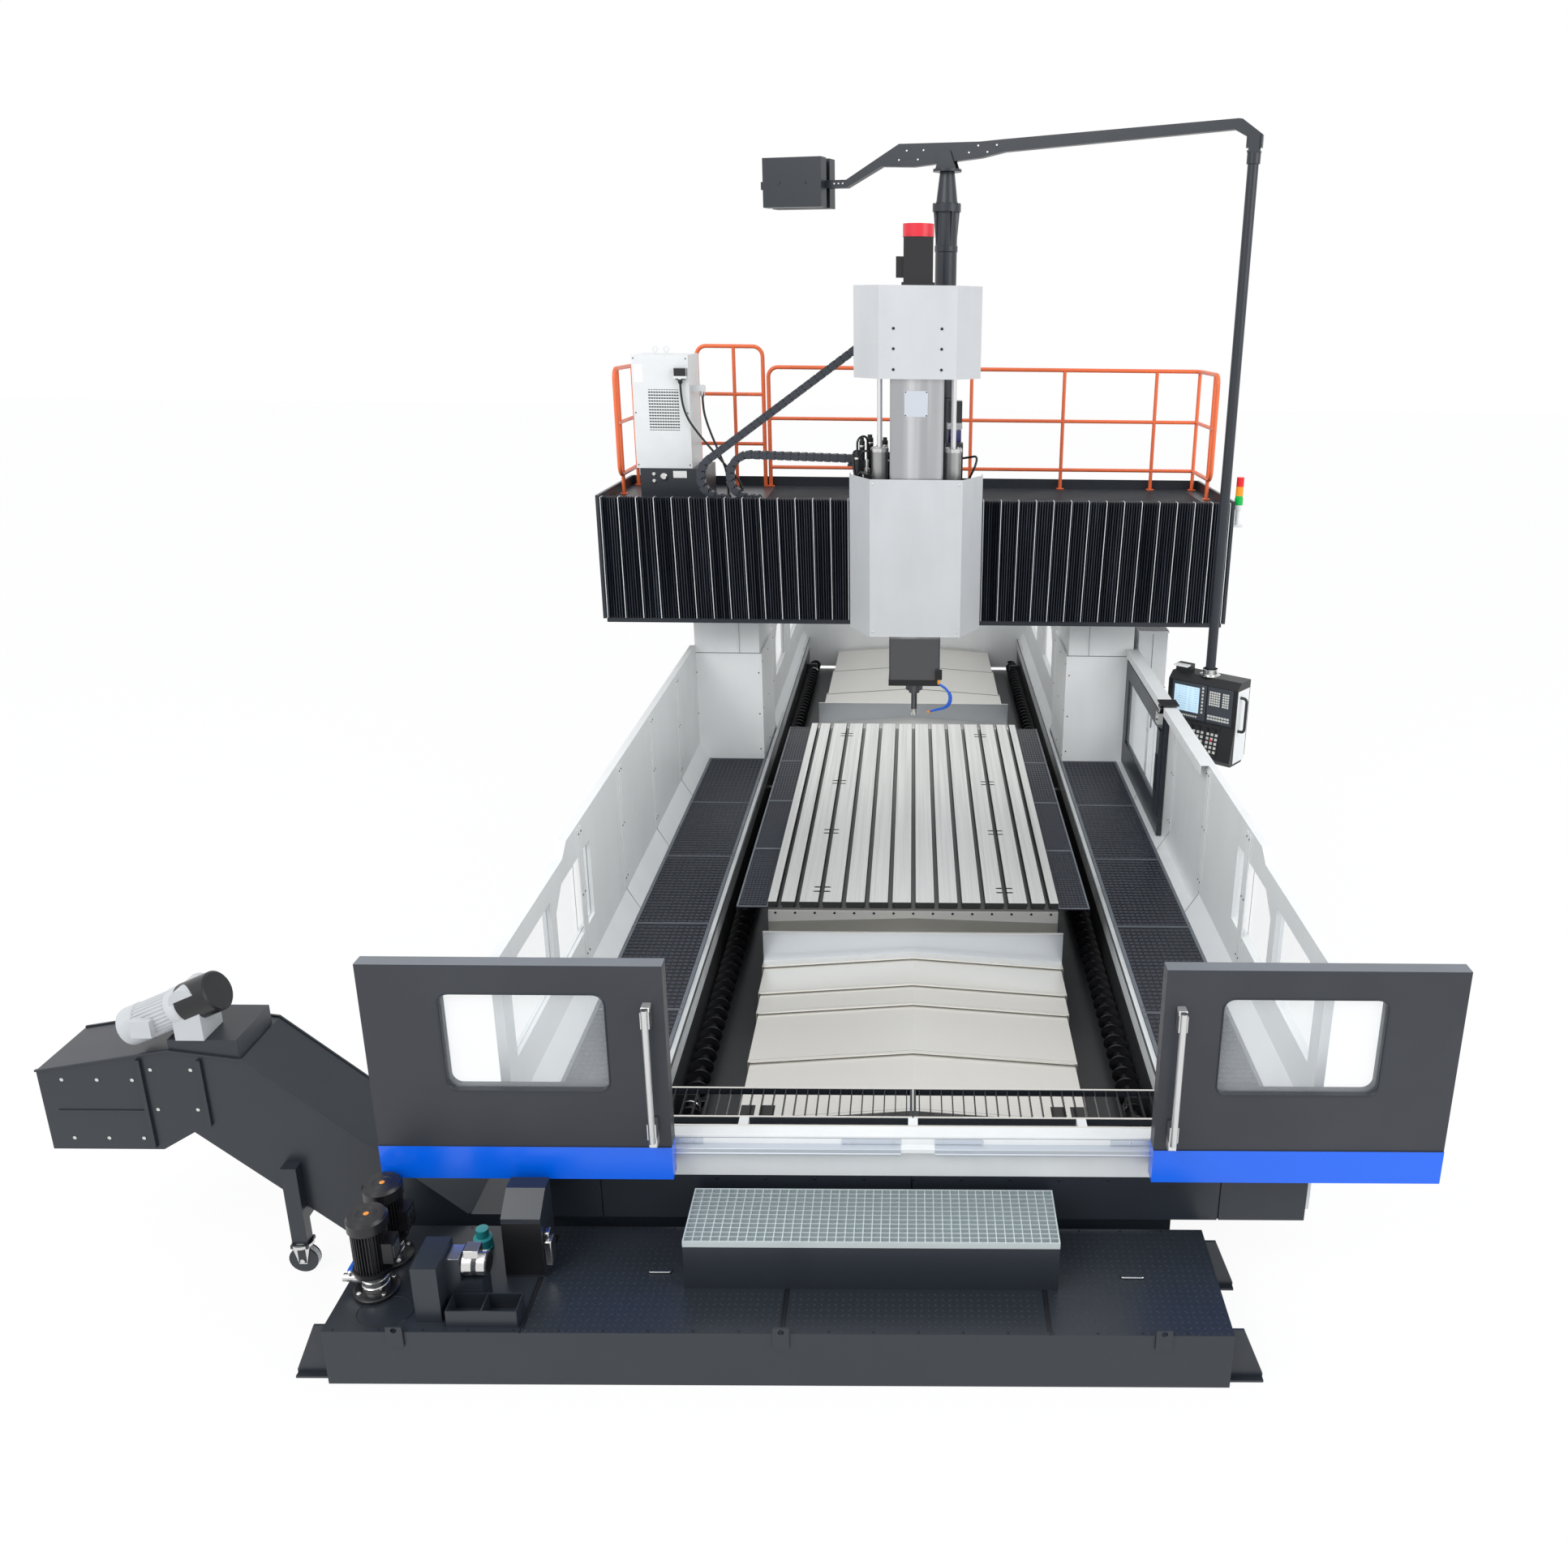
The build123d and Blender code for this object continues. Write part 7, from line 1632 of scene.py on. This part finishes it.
@dataclass
class CableChain:
    """A cable chain of equal links along a path with round turns."""

    name: str
    corners: tuple[tuple[float, float], ...]
    turn: float
    bodies: tuple[tuple, ...]
    splits: tuple[float, ...] = ()
    place: float = 0.39
    width: float = 0.09
    depth: float = 0.068
    pitch: float = 0.068
    plate: float = 0.011
    bar: float = 0.005
    round_end: float = 0.022

    def link(self) -> Shape:
        """One link: two waisted side plates with their pins, and a cover bar on each face."""
        half, high = self.pitch * 0.58, self.depth / 2
        turn = np.linspace(0.5 * np.pi, 1.5 * np.pi, 7)
        round_end = np.stack(((np.cos(turn) + 1.0) * self.round_end - half, np.sin(turn) * (high - 0.003)), axis=1)
        outline = np.concatenate((round_end, ((half * 0.2, -high), (half, -high), (half, high), (half * 0.2, high))))
        shape, side, within = Shape(), self.width / 2, self.width / 2 - self.plate
        for span in ((-side, -within), (within, side)):
            shape.prism(outline, "y", span)
        for y, toward in ((-side, "-y"), (side, "y")):
            shape.lathe((-half * 0.55, y, 0), toward, ((0.017, -0.001), (0.017, 0.0018), (0.012, 0.0022)), 12)
        levels = np.array((-high, high - self.bar))
        return shape.boxes((-0.012, 0.016), (-within, within), (levels, levels + self.bar))

    def build(self) -> None:
        """Links by arc length, cut into pieces where the chain passes from one joint to the next."""
        route = rounded([(x, self.place, z) for x, z in self.corners], self.turn, 16)
        centres, tangents = along(route, self.pitch, self.pitch * 0.6)
        wide = np.array(AXES["y"])
        normals = np.cross(tangents, wide)
        share = np.arange(len(centres)) / len(centres)
        bounds = (0.0, *self.splits, 1.0)
        for index, (body, blend) in enumerate(self.bodies):
            part = (share >= bounds[index]) & (share < bounds[index + 1])
            shape = Shape().placed(self.link(), centres[part], tangents[part], wide, normals[part])
            replaces = (self.name,) if index == 0 else ()
            shape.make(f"{self.name}_links_{index + 1}", Finish.CHAIN, body, replaces, blend=blend)


@dataclass
class RamHead:
    """Screws, plate, foot frame and coolant joints on the ram, its cover and the saddle's cover."""

    cover_front: float = -0.26
    saddle_front: float = -0.255
    plate_front: float = -0.2262
    nozzle_route: tuple[Point, ...] = (
        (0.212, -0.232, 1.75), (0.318, -0.225, 1.67), (0.3, -0.19, 1.525), (0.14, -0.12, 1.462),
    )
    ram_half: float = 0.22

    def nozzle(self) -> None:
        """The jointed coolant line: a tube whose radius swells and narrows at every joint, with amber ends."""
        path, share = rounded(self.nozzle_route, 0.2, 26), np.linspace(0.0, 1.0, 240)
        smooth = resample(path, np.linspace(0.0, 1.0, len(path)), share)
        radius = 0.0085 + 0.0035 * np.abs(np.sin(share * np.pi * 26.0))
        Shape().tube(smooth, radius, 14).make("coolant_joint_line", Finish.BLUE, "ram", ("coolant_nozzle",))
        second = smooth + np.array((0.018, 0.012, 0.0)) * np.sin(share * np.pi * 0.5)[:, None]
        Shape().tube(second[60:], radius[60:], 14).make("coolant_joint_line_second", Finish.BLUE, "ram")
        amber = Shape()
        for line in (smooth, second):
            tip = unit(line[-1] - line[-6])
            amber.lathe(line[-1] - tip * 0.004, tip, ((0.012, 0.0), (0.012, 0.014), (0.006, 0.034)), 14)
        amber.lathe((0.212, -0.232, 1.745), "z", ((0.0105, 0.0), (0.0122, 0.006), (0.0122, 0.034), (0.0105, 0.042)), 14)
        amber.make("coolant_nozzle_ends", Finish.AMBER, "ram")
        block = ((0.18, 0.24), (-0.2445, -0.2195), (1.784, 1.874))
        bars("coolant_valve_block", Finish.BLACK, block, body="ram", bevel=0.004)

    def build(self) -> None:
        """All the head's small pieces."""
        front, plate, half, edge = self.saddle_front, self.plate_front, self.ram_half, self.ram_half + 0.004
        places = rows((-0.193, 0.193), self.cover_front, (4.374, 4.534, 4.689))
        Shape().heads(places, "-y", 0.012, 0.005).make("ram_cover_screws", Finish.BLACK, "ram")
        places = rows((-0.36, 0.36), front, (3.46, 2.21))
        Shape().heads(places, "-y", 0.007).make("saddle_cover_screws", Finish.BRIGHT, "saddle")
        hem = ((-0.3845, 0.3845), (front - 0.0012, front), (2.172, 2.176))
        bars("saddle_cover_hem", Finish.STRIPE, hem, body="saddle")
        sheet = ((-0.103, 0.088), (plate, plate + 0.0019), (4.002, 4.208))
        bars("ram_bare_plate", Finish.PLATE, sheet, body="ram", bevel=0.0012)
        places = rows((-0.093, 0.078), plate, (4.012, 4.198))
        Shape().heads(places, "-y", 0.006).make("ram_plate_screws", Finish.BLACK, "ram")
        sides = (((-edge, edge), (-edge, -half)), ((-edge, edge), (half, edge)), ((-edge, -half), (-half, half)))
        foot = [(x, y, (1.7242, 1.776)) for x, y in (*sides, ((half, edge), (-half, half)))]
        bars("ram_foot_frame", Finish.BLACK, *foot, body="ram")
        gland = Shape().lathe((0, 0, 1.7238), "-z", ((0.1, 0.0), (0.1, 0.006), (0.08, 0.01)), 40)
        gland.make("spindle_gland", Finish.BRIGHT, "ram")
        tool = Shape().lathe((0, 0, 1.396), "z", ((0.018, 0.0), (0.0265, 0.004), (0.0265, 0.05), (0.0262, 0.055)), 24)
        for x, y, z in ring((0, 0, 1.394), 0.0235, 5):
            tool.boxes((x - 0.006, x + 0.006), (y - 0.006, y + 0.006), (z, z + 0.026))
        tool.make("cutter", Finish.BRIGHT, "spindle")
        self.nozzle()


@dataclass
class SaddleTop:
    """Collars on the balance cylinders, servo fittings, valves and their hose loops."""

    stacks: tuple[tuple[float, float, float, float], ...] = (
        (-0.5, 0.12, 3.7, 0.026), (-0.465, 0.25, 3.79, 0.024), (-0.4, 0.33, 3.81, 0.03), (-0.33, 0.35, 3.72, 0.022),
        (-0.27, 0.31, 3.79, 0.026), (-0.245, 0.37, 3.66, 0.03),
    )
    blocks: tuple[tuple[Span, Span, Span], ...] = (
        ((-0.45, -0.38), (0.09, 0.15), (3.375, 3.5)), ((-0.35, -0.29), (0.13, 0.19), (3.375, 3.47)),
        ((-0.5, -0.26), (0.31, 0.4), (3.3, 3.56)), ((-0.49, -0.43), (0.2, 0.3), (3.33, 3.6)),
    )
    pipes: tuple[tuple[Point, ...], ...] = (
        ((-0.45, 0.13, 3.4), (-0.5, 0.1, 3.62), (-0.42, 0.05, 3.74), (-0.36, 0.12, 3.58)),
        ((-0.41, 0.06, 3.36), (-0.5, -0.02, 3.5), (-0.44, -0.1, 3.56), (-0.4, -0.02, 3.36)),
        ((-0.3, 0.16, 3.44), (-0.26, 0.06, 3.56), (-0.25, -0.02, 3.5), (-0.26, 0.02, 3.36)),
        ((0.42, 0.14, 3.4), (0.5, 0.06, 3.58), (0.52, 0.12, 3.66), (0.4, 0.3, 3.62)),
        ((-0.5, 0.12, 3.69), (-0.5, 0.1, 3.8), (-0.42, 0.16, 3.82), (-0.4, 0.25, 3.6)),
        ((-0.465, 0.25, 3.6), (-0.53, 0.2, 3.72), (-0.54, 0.12, 3.6), (-0.5, 0.06, 3.36)),
        ((-0.33, 0.33, 3.7), (-0.32, 0.22, 3.78), (-0.28, 0.16, 3.66), (-0.27, 0.18, 3.38)),
    )

    def build(self) -> None:
        """Cylinder collars, valve stacks and pipes, and the servo's coupling band."""
        collars = Shape()
        for x in (-0.308, 0.308):
            collars.lathe((x, 0, 3.33), "z", ((0.082, 0.0), (0.0835, 0.004), (0.0835, 0.036), (0.07, 0.042)), 40)
            collars.lathe((x, 0, 3.7), "z", ((0.0745, 0.0), (0.0755, 0.006), (0.0755, 0.03), (0.034, 0.0375)), 40)
            collars.heads(ring((x, 0, 3.734), 0.056, 8), "z", 0.008, 0.007)
        collars.make("balance_cylinder_collars", Finish.BRIGHT, "saddle")
        valves = Shape()
        for x, y, high in ((-0.42, 0.16, 3.62), (-0.36, 0.17, 3.56), (-0.445, 0.1, 3.52), (-0.3, 0.2, 3.6)):
            tall = high - 3.33
            profile = ((0.024, 0.0), (0.024, tall - 0.08), (0.016, tall - 0.07), (0.016, tall - 0.015), (0.01, tall))
            valves.lathe((x, y, 3.33), "z", profile, 16)
        valves.boxes((-0.47, -0.27), (0.08, 0.22), (3.33, 3.375))
        dark = Shape()
        for x, y, z in self.blocks:
            dark.boxes(x, y, z)
        for x, y, high, radius in self.stacks:
            neck, wide = radius * 0.7, radius + 0.003
            stack = ((radius, 0.0), (radius, high - 3.37), (neck, high - 3.36), (neck, high - 3.34))
            dark.lathe((x, y, 3.34), "z", stack, 16)
            band = ((radius, -0.001), (wide, 0.002), (wide, 0.016), (radius, 0.019))
            valves.lathe((x, y, high - 0.08), "z", band, 16)
        for corners in self.pipes:
            dark.tube(rounded(corners, 0.12, 9), 0.0095, 10)
        valves.make("saddle_valves", Finish.BRIGHT, "saddle", bevel=0.002)
        dark.make("saddle_pipes", Finish.PLASTIC, "saddle")
        profile = ((0.0585, 0.006), (0.0605, 0.01), (0.0605, 0.1), (0.058, 0.11), (0.058, 0.13))
        servo = Shape().lathe((0.325, 0.3235, 3.75), "z", profile, 32)
        servo.boxes((0.259, 0.391), (0.2575, 0.3895), (3.868, 3.915))
        servo.make("servo_coupling_band", Finish.SERVO, "saddle", bevel=0.003)


@dataclass
class OperatorArm:
    """Bolts and collars on the post and the arm, and the counterweight's bolts."""

    post: tuple[float, float] = (0.238, 0.7)
    bearing: float = -21.0
    collars: tuple[float, ...] = (4.1, 4.95, 5.3)
    rods: tuple[float, ...] = (-1.5, -1.25)
    bolts: tuple[tuple[float, float], ...] = (
        (-0.42, 6.03), (-0.35, 6.1), (-0.25, 6.03), (-0.2, 6.1), (0.2, 6.07), (0.28, 6.12), (0.36, 6.07), (0.44, 6.12),
        (-1.02, 5.86), (-0.98, 5.86), (-0.94, 5.86),
    )

    def on_arm(self, s: float, side: float, z: float) -> Point:
        """A point by its reach along the arm, its distance to the side and its height."""
        angle = math.radians(self.bearing)
        return (
            self.post[0] + s * math.cos(angle) - side * math.sin(angle),
            self.post[1] + s * math.sin(angle) + side * math.cos(angle),
            z,
        )

    def build(self) -> None:
        """Post collars with their screws, the arm's bolts and the counterweight's rods."""
        x, y = self.post
        collar = Shape().lathe((x, y, 3.2), "z", ((0.15, 0.0), (0.15, 0.02), (0.0935, 0.026)), 32)
        for level in self.collars:
            collar.lathe((x, y, level), "z", ((0.0925, 0.0), (0.098, 0.006), (0.098, 0.05), (0.0925, 0.056)), 32)
        collar.heads(ring((x, y, 5.68), 0.108, 10), "z", 0.009, 0.01)
        collar.make("post_collars", Finish.DARK)
        heads, rod = Shape(), Shape()
        angle = math.radians(self.bearing)
        toward = np.array((math.sin(angle), -math.cos(angle), 0.0))
        profile = ((0.0085, -0.001), (0.0085, 0.005), (0.006, 0.007))
        for s, z in self.bolts:
            heads.lathe(self.on_arm(s, -0.035, z), toward, profile, 8)
        heads.make("arm_bolts", Finish.BRIGHT, "arm")
        for s in self.rods:
            rod.tube((self.on_arm(s, -0.15, 5.87), self.on_arm(s, 0.15, 5.87)), 0.014, 12)
        rod.make("counterweight_bolts", Finish.DARK, "arm")


@dataclass
class ControlPanel:
    """Display, keys, knobs and trim on the control box, laid out on its own turned faces."""

    centre: tuple[float, float] = (2.5729, -0.1963)
    yaw: float = -40.0
    top: float = 1.839
    face: float = -0.118
    ledge_top: float = 1.432
    ledge_foot: tuple[float, float] = (-0.173, 1.139)

    def frame(self, slope: bool) -> tuple[Array, Array, Array, Array]:
        """Origin and directions of the upright face, or of the sloping keyboard face below it.

        Args:
            slope: whether the keyboard face is meant.

        Returns:
            Origin, the direction across, the outward direction and the upward direction.
        """
        angle = math.radians(self.yaw)
        side = np.array((math.cos(angle), math.sin(angle), 0.0))
        back = np.array((-math.sin(angle), math.cos(angle), 0.0))
        up = np.array((0.0, 0.0, 1.0))
        origin = np.array((*self.centre, 0.0)) + back * self.face
        if not slope:
            return origin, side, -back, up
        run, drop = self.ledge_foot[0] - self.face, self.ledge_foot[1] - self.ledge_top
        down = unit(back * run + up * drop)
        outward = unit(np.cross(down, side))
        return origin + up * self.ledge_top, side, outward, -down

    def put(self, shape: Shape, slope: bool, x: Span, out: Span, z: Span) -> None:
        """Adds bars given by face coordinates: across, outward and upward."""
        origin, *directions = self.frame(slope)
        shape.placed(Shape().boxes(x, out, z), origin[None], *directions)

    def knobs(self, shape: Shape, places: Sequence[tuple[float, float]], radius: float, height: float) -> None:
        """Adds turned knobs on the keyboard face."""
        origin, side, outward, up = self.frame(True)
        centres = origin + np.asarray(places) @ np.stack((side, up))
        knob = Shape().lathe((0, 0, 0), "y", ((radius, -0.001), (radius, height * 0.7), (radius * 0.8, height)), 16)
        shape.placed(knob, centres, side, outward, up)

    def build(self) -> None:
        """Bezels, display, keys, knobs, side trims and the neck's flange."""
        bezel, keys, dark = Shape(), Shape(), Shape()
        self.put(bezel, False, (-0.285, 0.045), (0.0, 0.008), (1.452, 1.772))
        self.put(bezel, False, (0.055, 0.292), (0.0, 0.006), (1.452, 1.772))
        bezel.make("control_bezels", Finish.BEZEL, "control_box", bevel=0.003)
        screen = Shape()
        self.put(screen, False, (-0.262, -0.022), (0.008, 0.0095), (1.512, 1.742))
        screen.make("control_display", Finish.SCREEN, "control_box")
        low = np.arange(-0.262, -0.03, 0.0215)
        self.put(keys, False, (low, low + 0.014), (0.008, 0.012), (1.472, 1.486))
        rise = np.arange(1.52, 1.74, 0.031)
        self.put(keys, False, (0.003, 0.019), (0.008, 0.012), (rise, rise + 0.018))
        columns = np.concatenate((np.arange(5) * 0.021 + 0.075, np.arange(3) * 0.021 + 0.2))
        fields = (
            (False, rows(columns, np.arange(6) * 0.022 + 1.61), (0.006, 0.011), 0.015, 0.015),
            (False, rows(np.arange(8) * 0.026 + 0.07, np.arange(2) * 0.026 + 1.48), (0.006, 0.011), 0.02, 0.016),
            (True, rows(np.arange(4) * 0.04 - 0.09, -np.arange(5) * 0.038 - 0.09), (0.005, 0.011), 0.022, 0.022),
            (True, rows(np.arange(3) * 0.04 + 0.085, -np.arange(5) * 0.038 - 0.09), (0.005, 0.011), 0.022, 0.022),
        )
        for slope, places, out, wide, tall in fields:
            x, z = places.T
            self.put(keys, slope, (x, x + wide), out, (z, z + tall))
        self.put(dark, True, (-0.285, 0.2), (0.0, 0.005), (-0.27, -0.012))
        keys.make("control_keys", Finish.KEY, "control_box")
        self.knobs(dark, [(x, -0.045) for x in (-0.13, -0.07, 0.0, 0.08, 0.15)], 0.019, 0.024)
        dark.make("control_keyboard_plate_and_knobs", Finish.PLASTIC, "control_box")
        buttons = (
            ("control_stop_button", Finish.AMBER, ((-0.235, -0.12),), 0.022, 0.03),
            ("control_start_buttons", Finish.TEAL, ((-0.235, -0.045), (-0.235, -0.18)), 0.012, 0.014),
            ("control_halt_buttons", Finish.RED, ((-0.195, -0.045), (0.13, -0.13)), 0.012, 0.014),
        )
        for name, finish, places, radius, height in buttons:
            shape = Shape()
            self.knobs(shape, places, radius, height)
            shape.make(name, finish, "control_box")
        trim = Shape()
        for x in ((0.33, 0.3335), (-0.3335, -0.33)):
            self.put(trim, False, x, (-0.22, -0.012), (1.12, 1.77))
        trim.make("control_side_trims", Finish.WHITE, "control_box", bevel=0.001)
        flange = ((0.09, 0.0), (0.09, 0.008), (0.0615, 0.012), (0.0615, 0.052), (0.066, 0.054), (0.066, 0.06))
        neck = Shape().lathe((*self.centre, self.top), "z", flange, 32)
        neck.make("control_neck_flange", Finish.BRIGHT, "control_box")
        unit_trim = Shape()
        self.put(unit_trim, False, (-0.298, -0.162), (-0.078, -0.002), (self.top + 0.058, self.top + 0.0715))
        unit_trim.make("hand_unit_top", Finish.WHITE, "control_box", bevel=0.004)


@dataclass
class Walls:
    """Seams, ribs, rims and fastenings of the side walls, columns, cabinet and the side door."""

    inner: float = 2.03
    seams: tuple[float, ...] = (-3.73, -2.62, -1.51, -0.4)
    column: tuple[float, float, float, float] = (1.42, 2.06, 0.6, 1.6)
    rib: tuple[float, float, float] = (0.007, 0.046, 0.004)
    top: float = 1.83

    def build(self) -> None:
        """Ribs, seams and screws, mirrored where both sides are alike, and the cabinet's own seams and handle."""
        ribs, lines, high = Shape(), Shape(), self.top
        thick, wide, gap = self.rib
        for y in self.seams:
            for start in (y - wide - gap, y + gap):
                ribs.boxes((self.inner - thick, self.inner), (start, start + wide), (0.93, high))
            slope = ((1.9415, 0.7505), (2.0285, 0.8995), (2.0265, 0.9005), (1.9395, 0.7515))
            lines.prism(slope, "y", (y - 0.002, y + 0.002))
            for x, low in ((self.inner - 0.0015, 0.9), (self.inner + 0.0495, 0.4)):
                lines.boxes((x, x + 0.002), (y - 0.003, y + 0.003), (low, high))
        ribs.mirrored().make("wall_ribs", Finish.WHITE, bevel=0.002)
        lines.mirrored().make("wall_seams", Finish.TREAD_EDGE)
        heads = Shape()
        places = rows(self.inner - thick, [y + s for y in self.seams for s in (-0.027, 0.027)], (1.0, 1.4, 1.8))
        heads.heads(places, "-x", 0.006)
        left, right, front, back = self.column
        heads.heads(rows((left + 0.03, right - 0.03), front, (0.85, 1.2, 1.6, 2.1)), "-y", 0.007)
        heads.heads(rows(left, (front + 0.04, front + 0.5, back - 0.04), (0.8, 1.25, 1.7)), "-x", 0.007)
        heads.mirrored().make("panel_screws", Finish.BLACK)
        seams = Shape().boxes((left, right), (front - 0.001, front + 0.001), (1.786, 1.792))
        seams.boxes((left + 0.2, left + 0.204), (front - 0.001, front + 0.001), (1.792, 2.19))
        seams.mirrored().make("column_seams", Finish.TREAD_EDGE)
        depth = (0.7485, 0.7515)
        seams = ((2.1, 2.39), depth, (1.45, 1.456)), ((2.24, 2.245), depth, (0.2, 1.97))
        bars("cabinet_seams", Finish.TREAD_EDGE, *seams)
        bars("cabinet_handle", Finish.PLASTIC, ((2.26, 2.28), (0.728, 0.75), (1.05, 1.2)), bevel=0.004)
        self.side_door()

    def side_door(self) -> None:
        """Top bracket, bright roller block and dark post at the front of the sliding side door."""
        bracket = Shape().boxes((1.945, 2.092), (-1.262, -1.1), (1.873, 1.885))
        bracket.boxes((1.972, 1.979), (-1.25, -1.11), (1.66, 1.873))
        for y in (-1.225, -1.18, -1.135):
            bracket.lathe((1.952, y, 1.845), "x", ((0.014, 0.0), (0.014, 0.02)), 12)
        bracket.make("side_door_bracket", Finish.BLACK, "side_door", bevel=0.002)
        rollers = Shape().boxes((1.93, 1.971), (-1.25, -1.16), (1.72, 1.81))
        rollers.lathe((1.93, -1.205, 1.765), "-x", ((0.024, -0.001), (0.024, 0.006), (0.012, 0.009)), 16)
        rollers.make("side_door_rollers", Finish.BRIGHT, "side_door")
        post = ((1.955, 1.9838), (-1.237, -1.128), (0.95, 1.66))
        bars("side_door_post", Finish.DARK, post, body="side_door", bevel=0.003)


@dataclass
class FrontDoors:
    """Window seals, top folds and handle feet on the two sliding front doors."""

    window: tuple[float, float, float, float] = (1.473, 2.263, 1.187, 1.719)
    radius: float = 0.055
    front: float = -5.504

    def build(self) -> None:
        """One side's pieces, mirrored for the other."""
        left, right, low, high = self.window
        left, right, low, high = left + self.radius, right - self.radius, low + self.radius, high - self.radius
        corners = np.repeat(((right, high), (left, high), (left, low), (right, low)), 7, axis=0)
        angle = (np.arange(4)[:, None] * 0.5 * np.pi + np.linspace(0.0, 0.5 * np.pi, 7)).ravel()
        seal_line = corners + self.radius * np.stack((np.cos(angle), np.sin(angle)), axis=1)
        path = np.insert(np.concatenate((seal_line, seal_line[:1])), 1, self.front, axis=1)
        for side, name in ((1.0, "right"), (-1.0, "left")):
            seal = Shape().tube(path * np.array((side, 1.0, 1.0)), 0.0045, 6)
            seal.make(f"door_window_seal_{name}", Finish.DARK, f"door_{name}")
            feet = Shape()
            for z in (0.955, 1.67):
                feet.boxes((side * 1.27 - 0.021, side * 1.27 + 0.021), (-5.56, self.front), (z - 0.05, z + 0.012))
            feet.make(f"door_handle_feet_{name}", Finish.ALUMINIUM, f"door_{name}", bevel=0.004)
            fold = (sorted((side * 1.19, side * 2.635)), (self.front, self.front + 0.079), (1.87, 1.8725))
            bars(f"door_top_fold_{name}", Finish.TREAD_EDGE, fold, body=f"door_{name}", bevel=0.001)


def main() -> None:
    """Builds the scene piece by piece."""
    logging.basicConfig(level=logging.INFO, format="%(name)s: %(message)s")
    Studio().camera()
    ChillerLines().build()
    Studio().build()
    dress_nodes()
    LOG.info("carried-over nodes dressed")
    for side in (-1, 1):
        WayBellows(side).build()
        ChipAuger(side).build()
    walkway = Treads((1.402, 1.94), (-5.15, 0.599), 0.75, (0.038, 0.048), (0.027, 0.015, 0.007), 5)
    walkway.build("walkway", "frame")
    guards = Treads((1.0, 1.218), (-2.9, 1.1), 0.905, (0.024, 0.036), (0.017, 0.012, 0.004), 4, 0.012)
    guards.build("table_guard", "table")
    for part in (TableTrim, CoverLips, FrontGrating, Sill, StepGrating, TankLid):
        part().build()
    CoolantPump("front_pump", (-2.575, -5.843)).build(("coolant_pumps",))
    CoolantPump("back_pump", (-2.59, -5.617)).build()
    for part in (TankFittings, Conveyor, Handrail, Chiller):
        part().build()
    CableChain(
        "ram_cable_chain", ((-1.62, 3.246), (-2.262, 3.246), (-0.5, 4.5276)), 0.569,
        (
            ("frame", ("saddle", (-1.6, 0.39, 3.3), (-1.6, 0.39, 4.0))),
            ("saddle", ("ram", (-1.3, 0.39, 4.2), (-0.62, 0.39, 4.2))),
        ),
        (0.55,),
    ).build()
    CableChain(
        "saddle_cable_chain", ((-1.35, 3.246), (-1.621, 3.246), (-1.621, 3.628), (-0.57, 3.6)), 0.19,
        (("frame", ("saddle", (-1.6, 0.39, 3.28), (-1.6, 0.39, 3.58))),),
    ).build()
    for part in (RamHead, SaddleTop, OperatorArm, ControlPanel, Walls, FrontDoors):
        part().build()


if __name__ == "__main__":
    main()
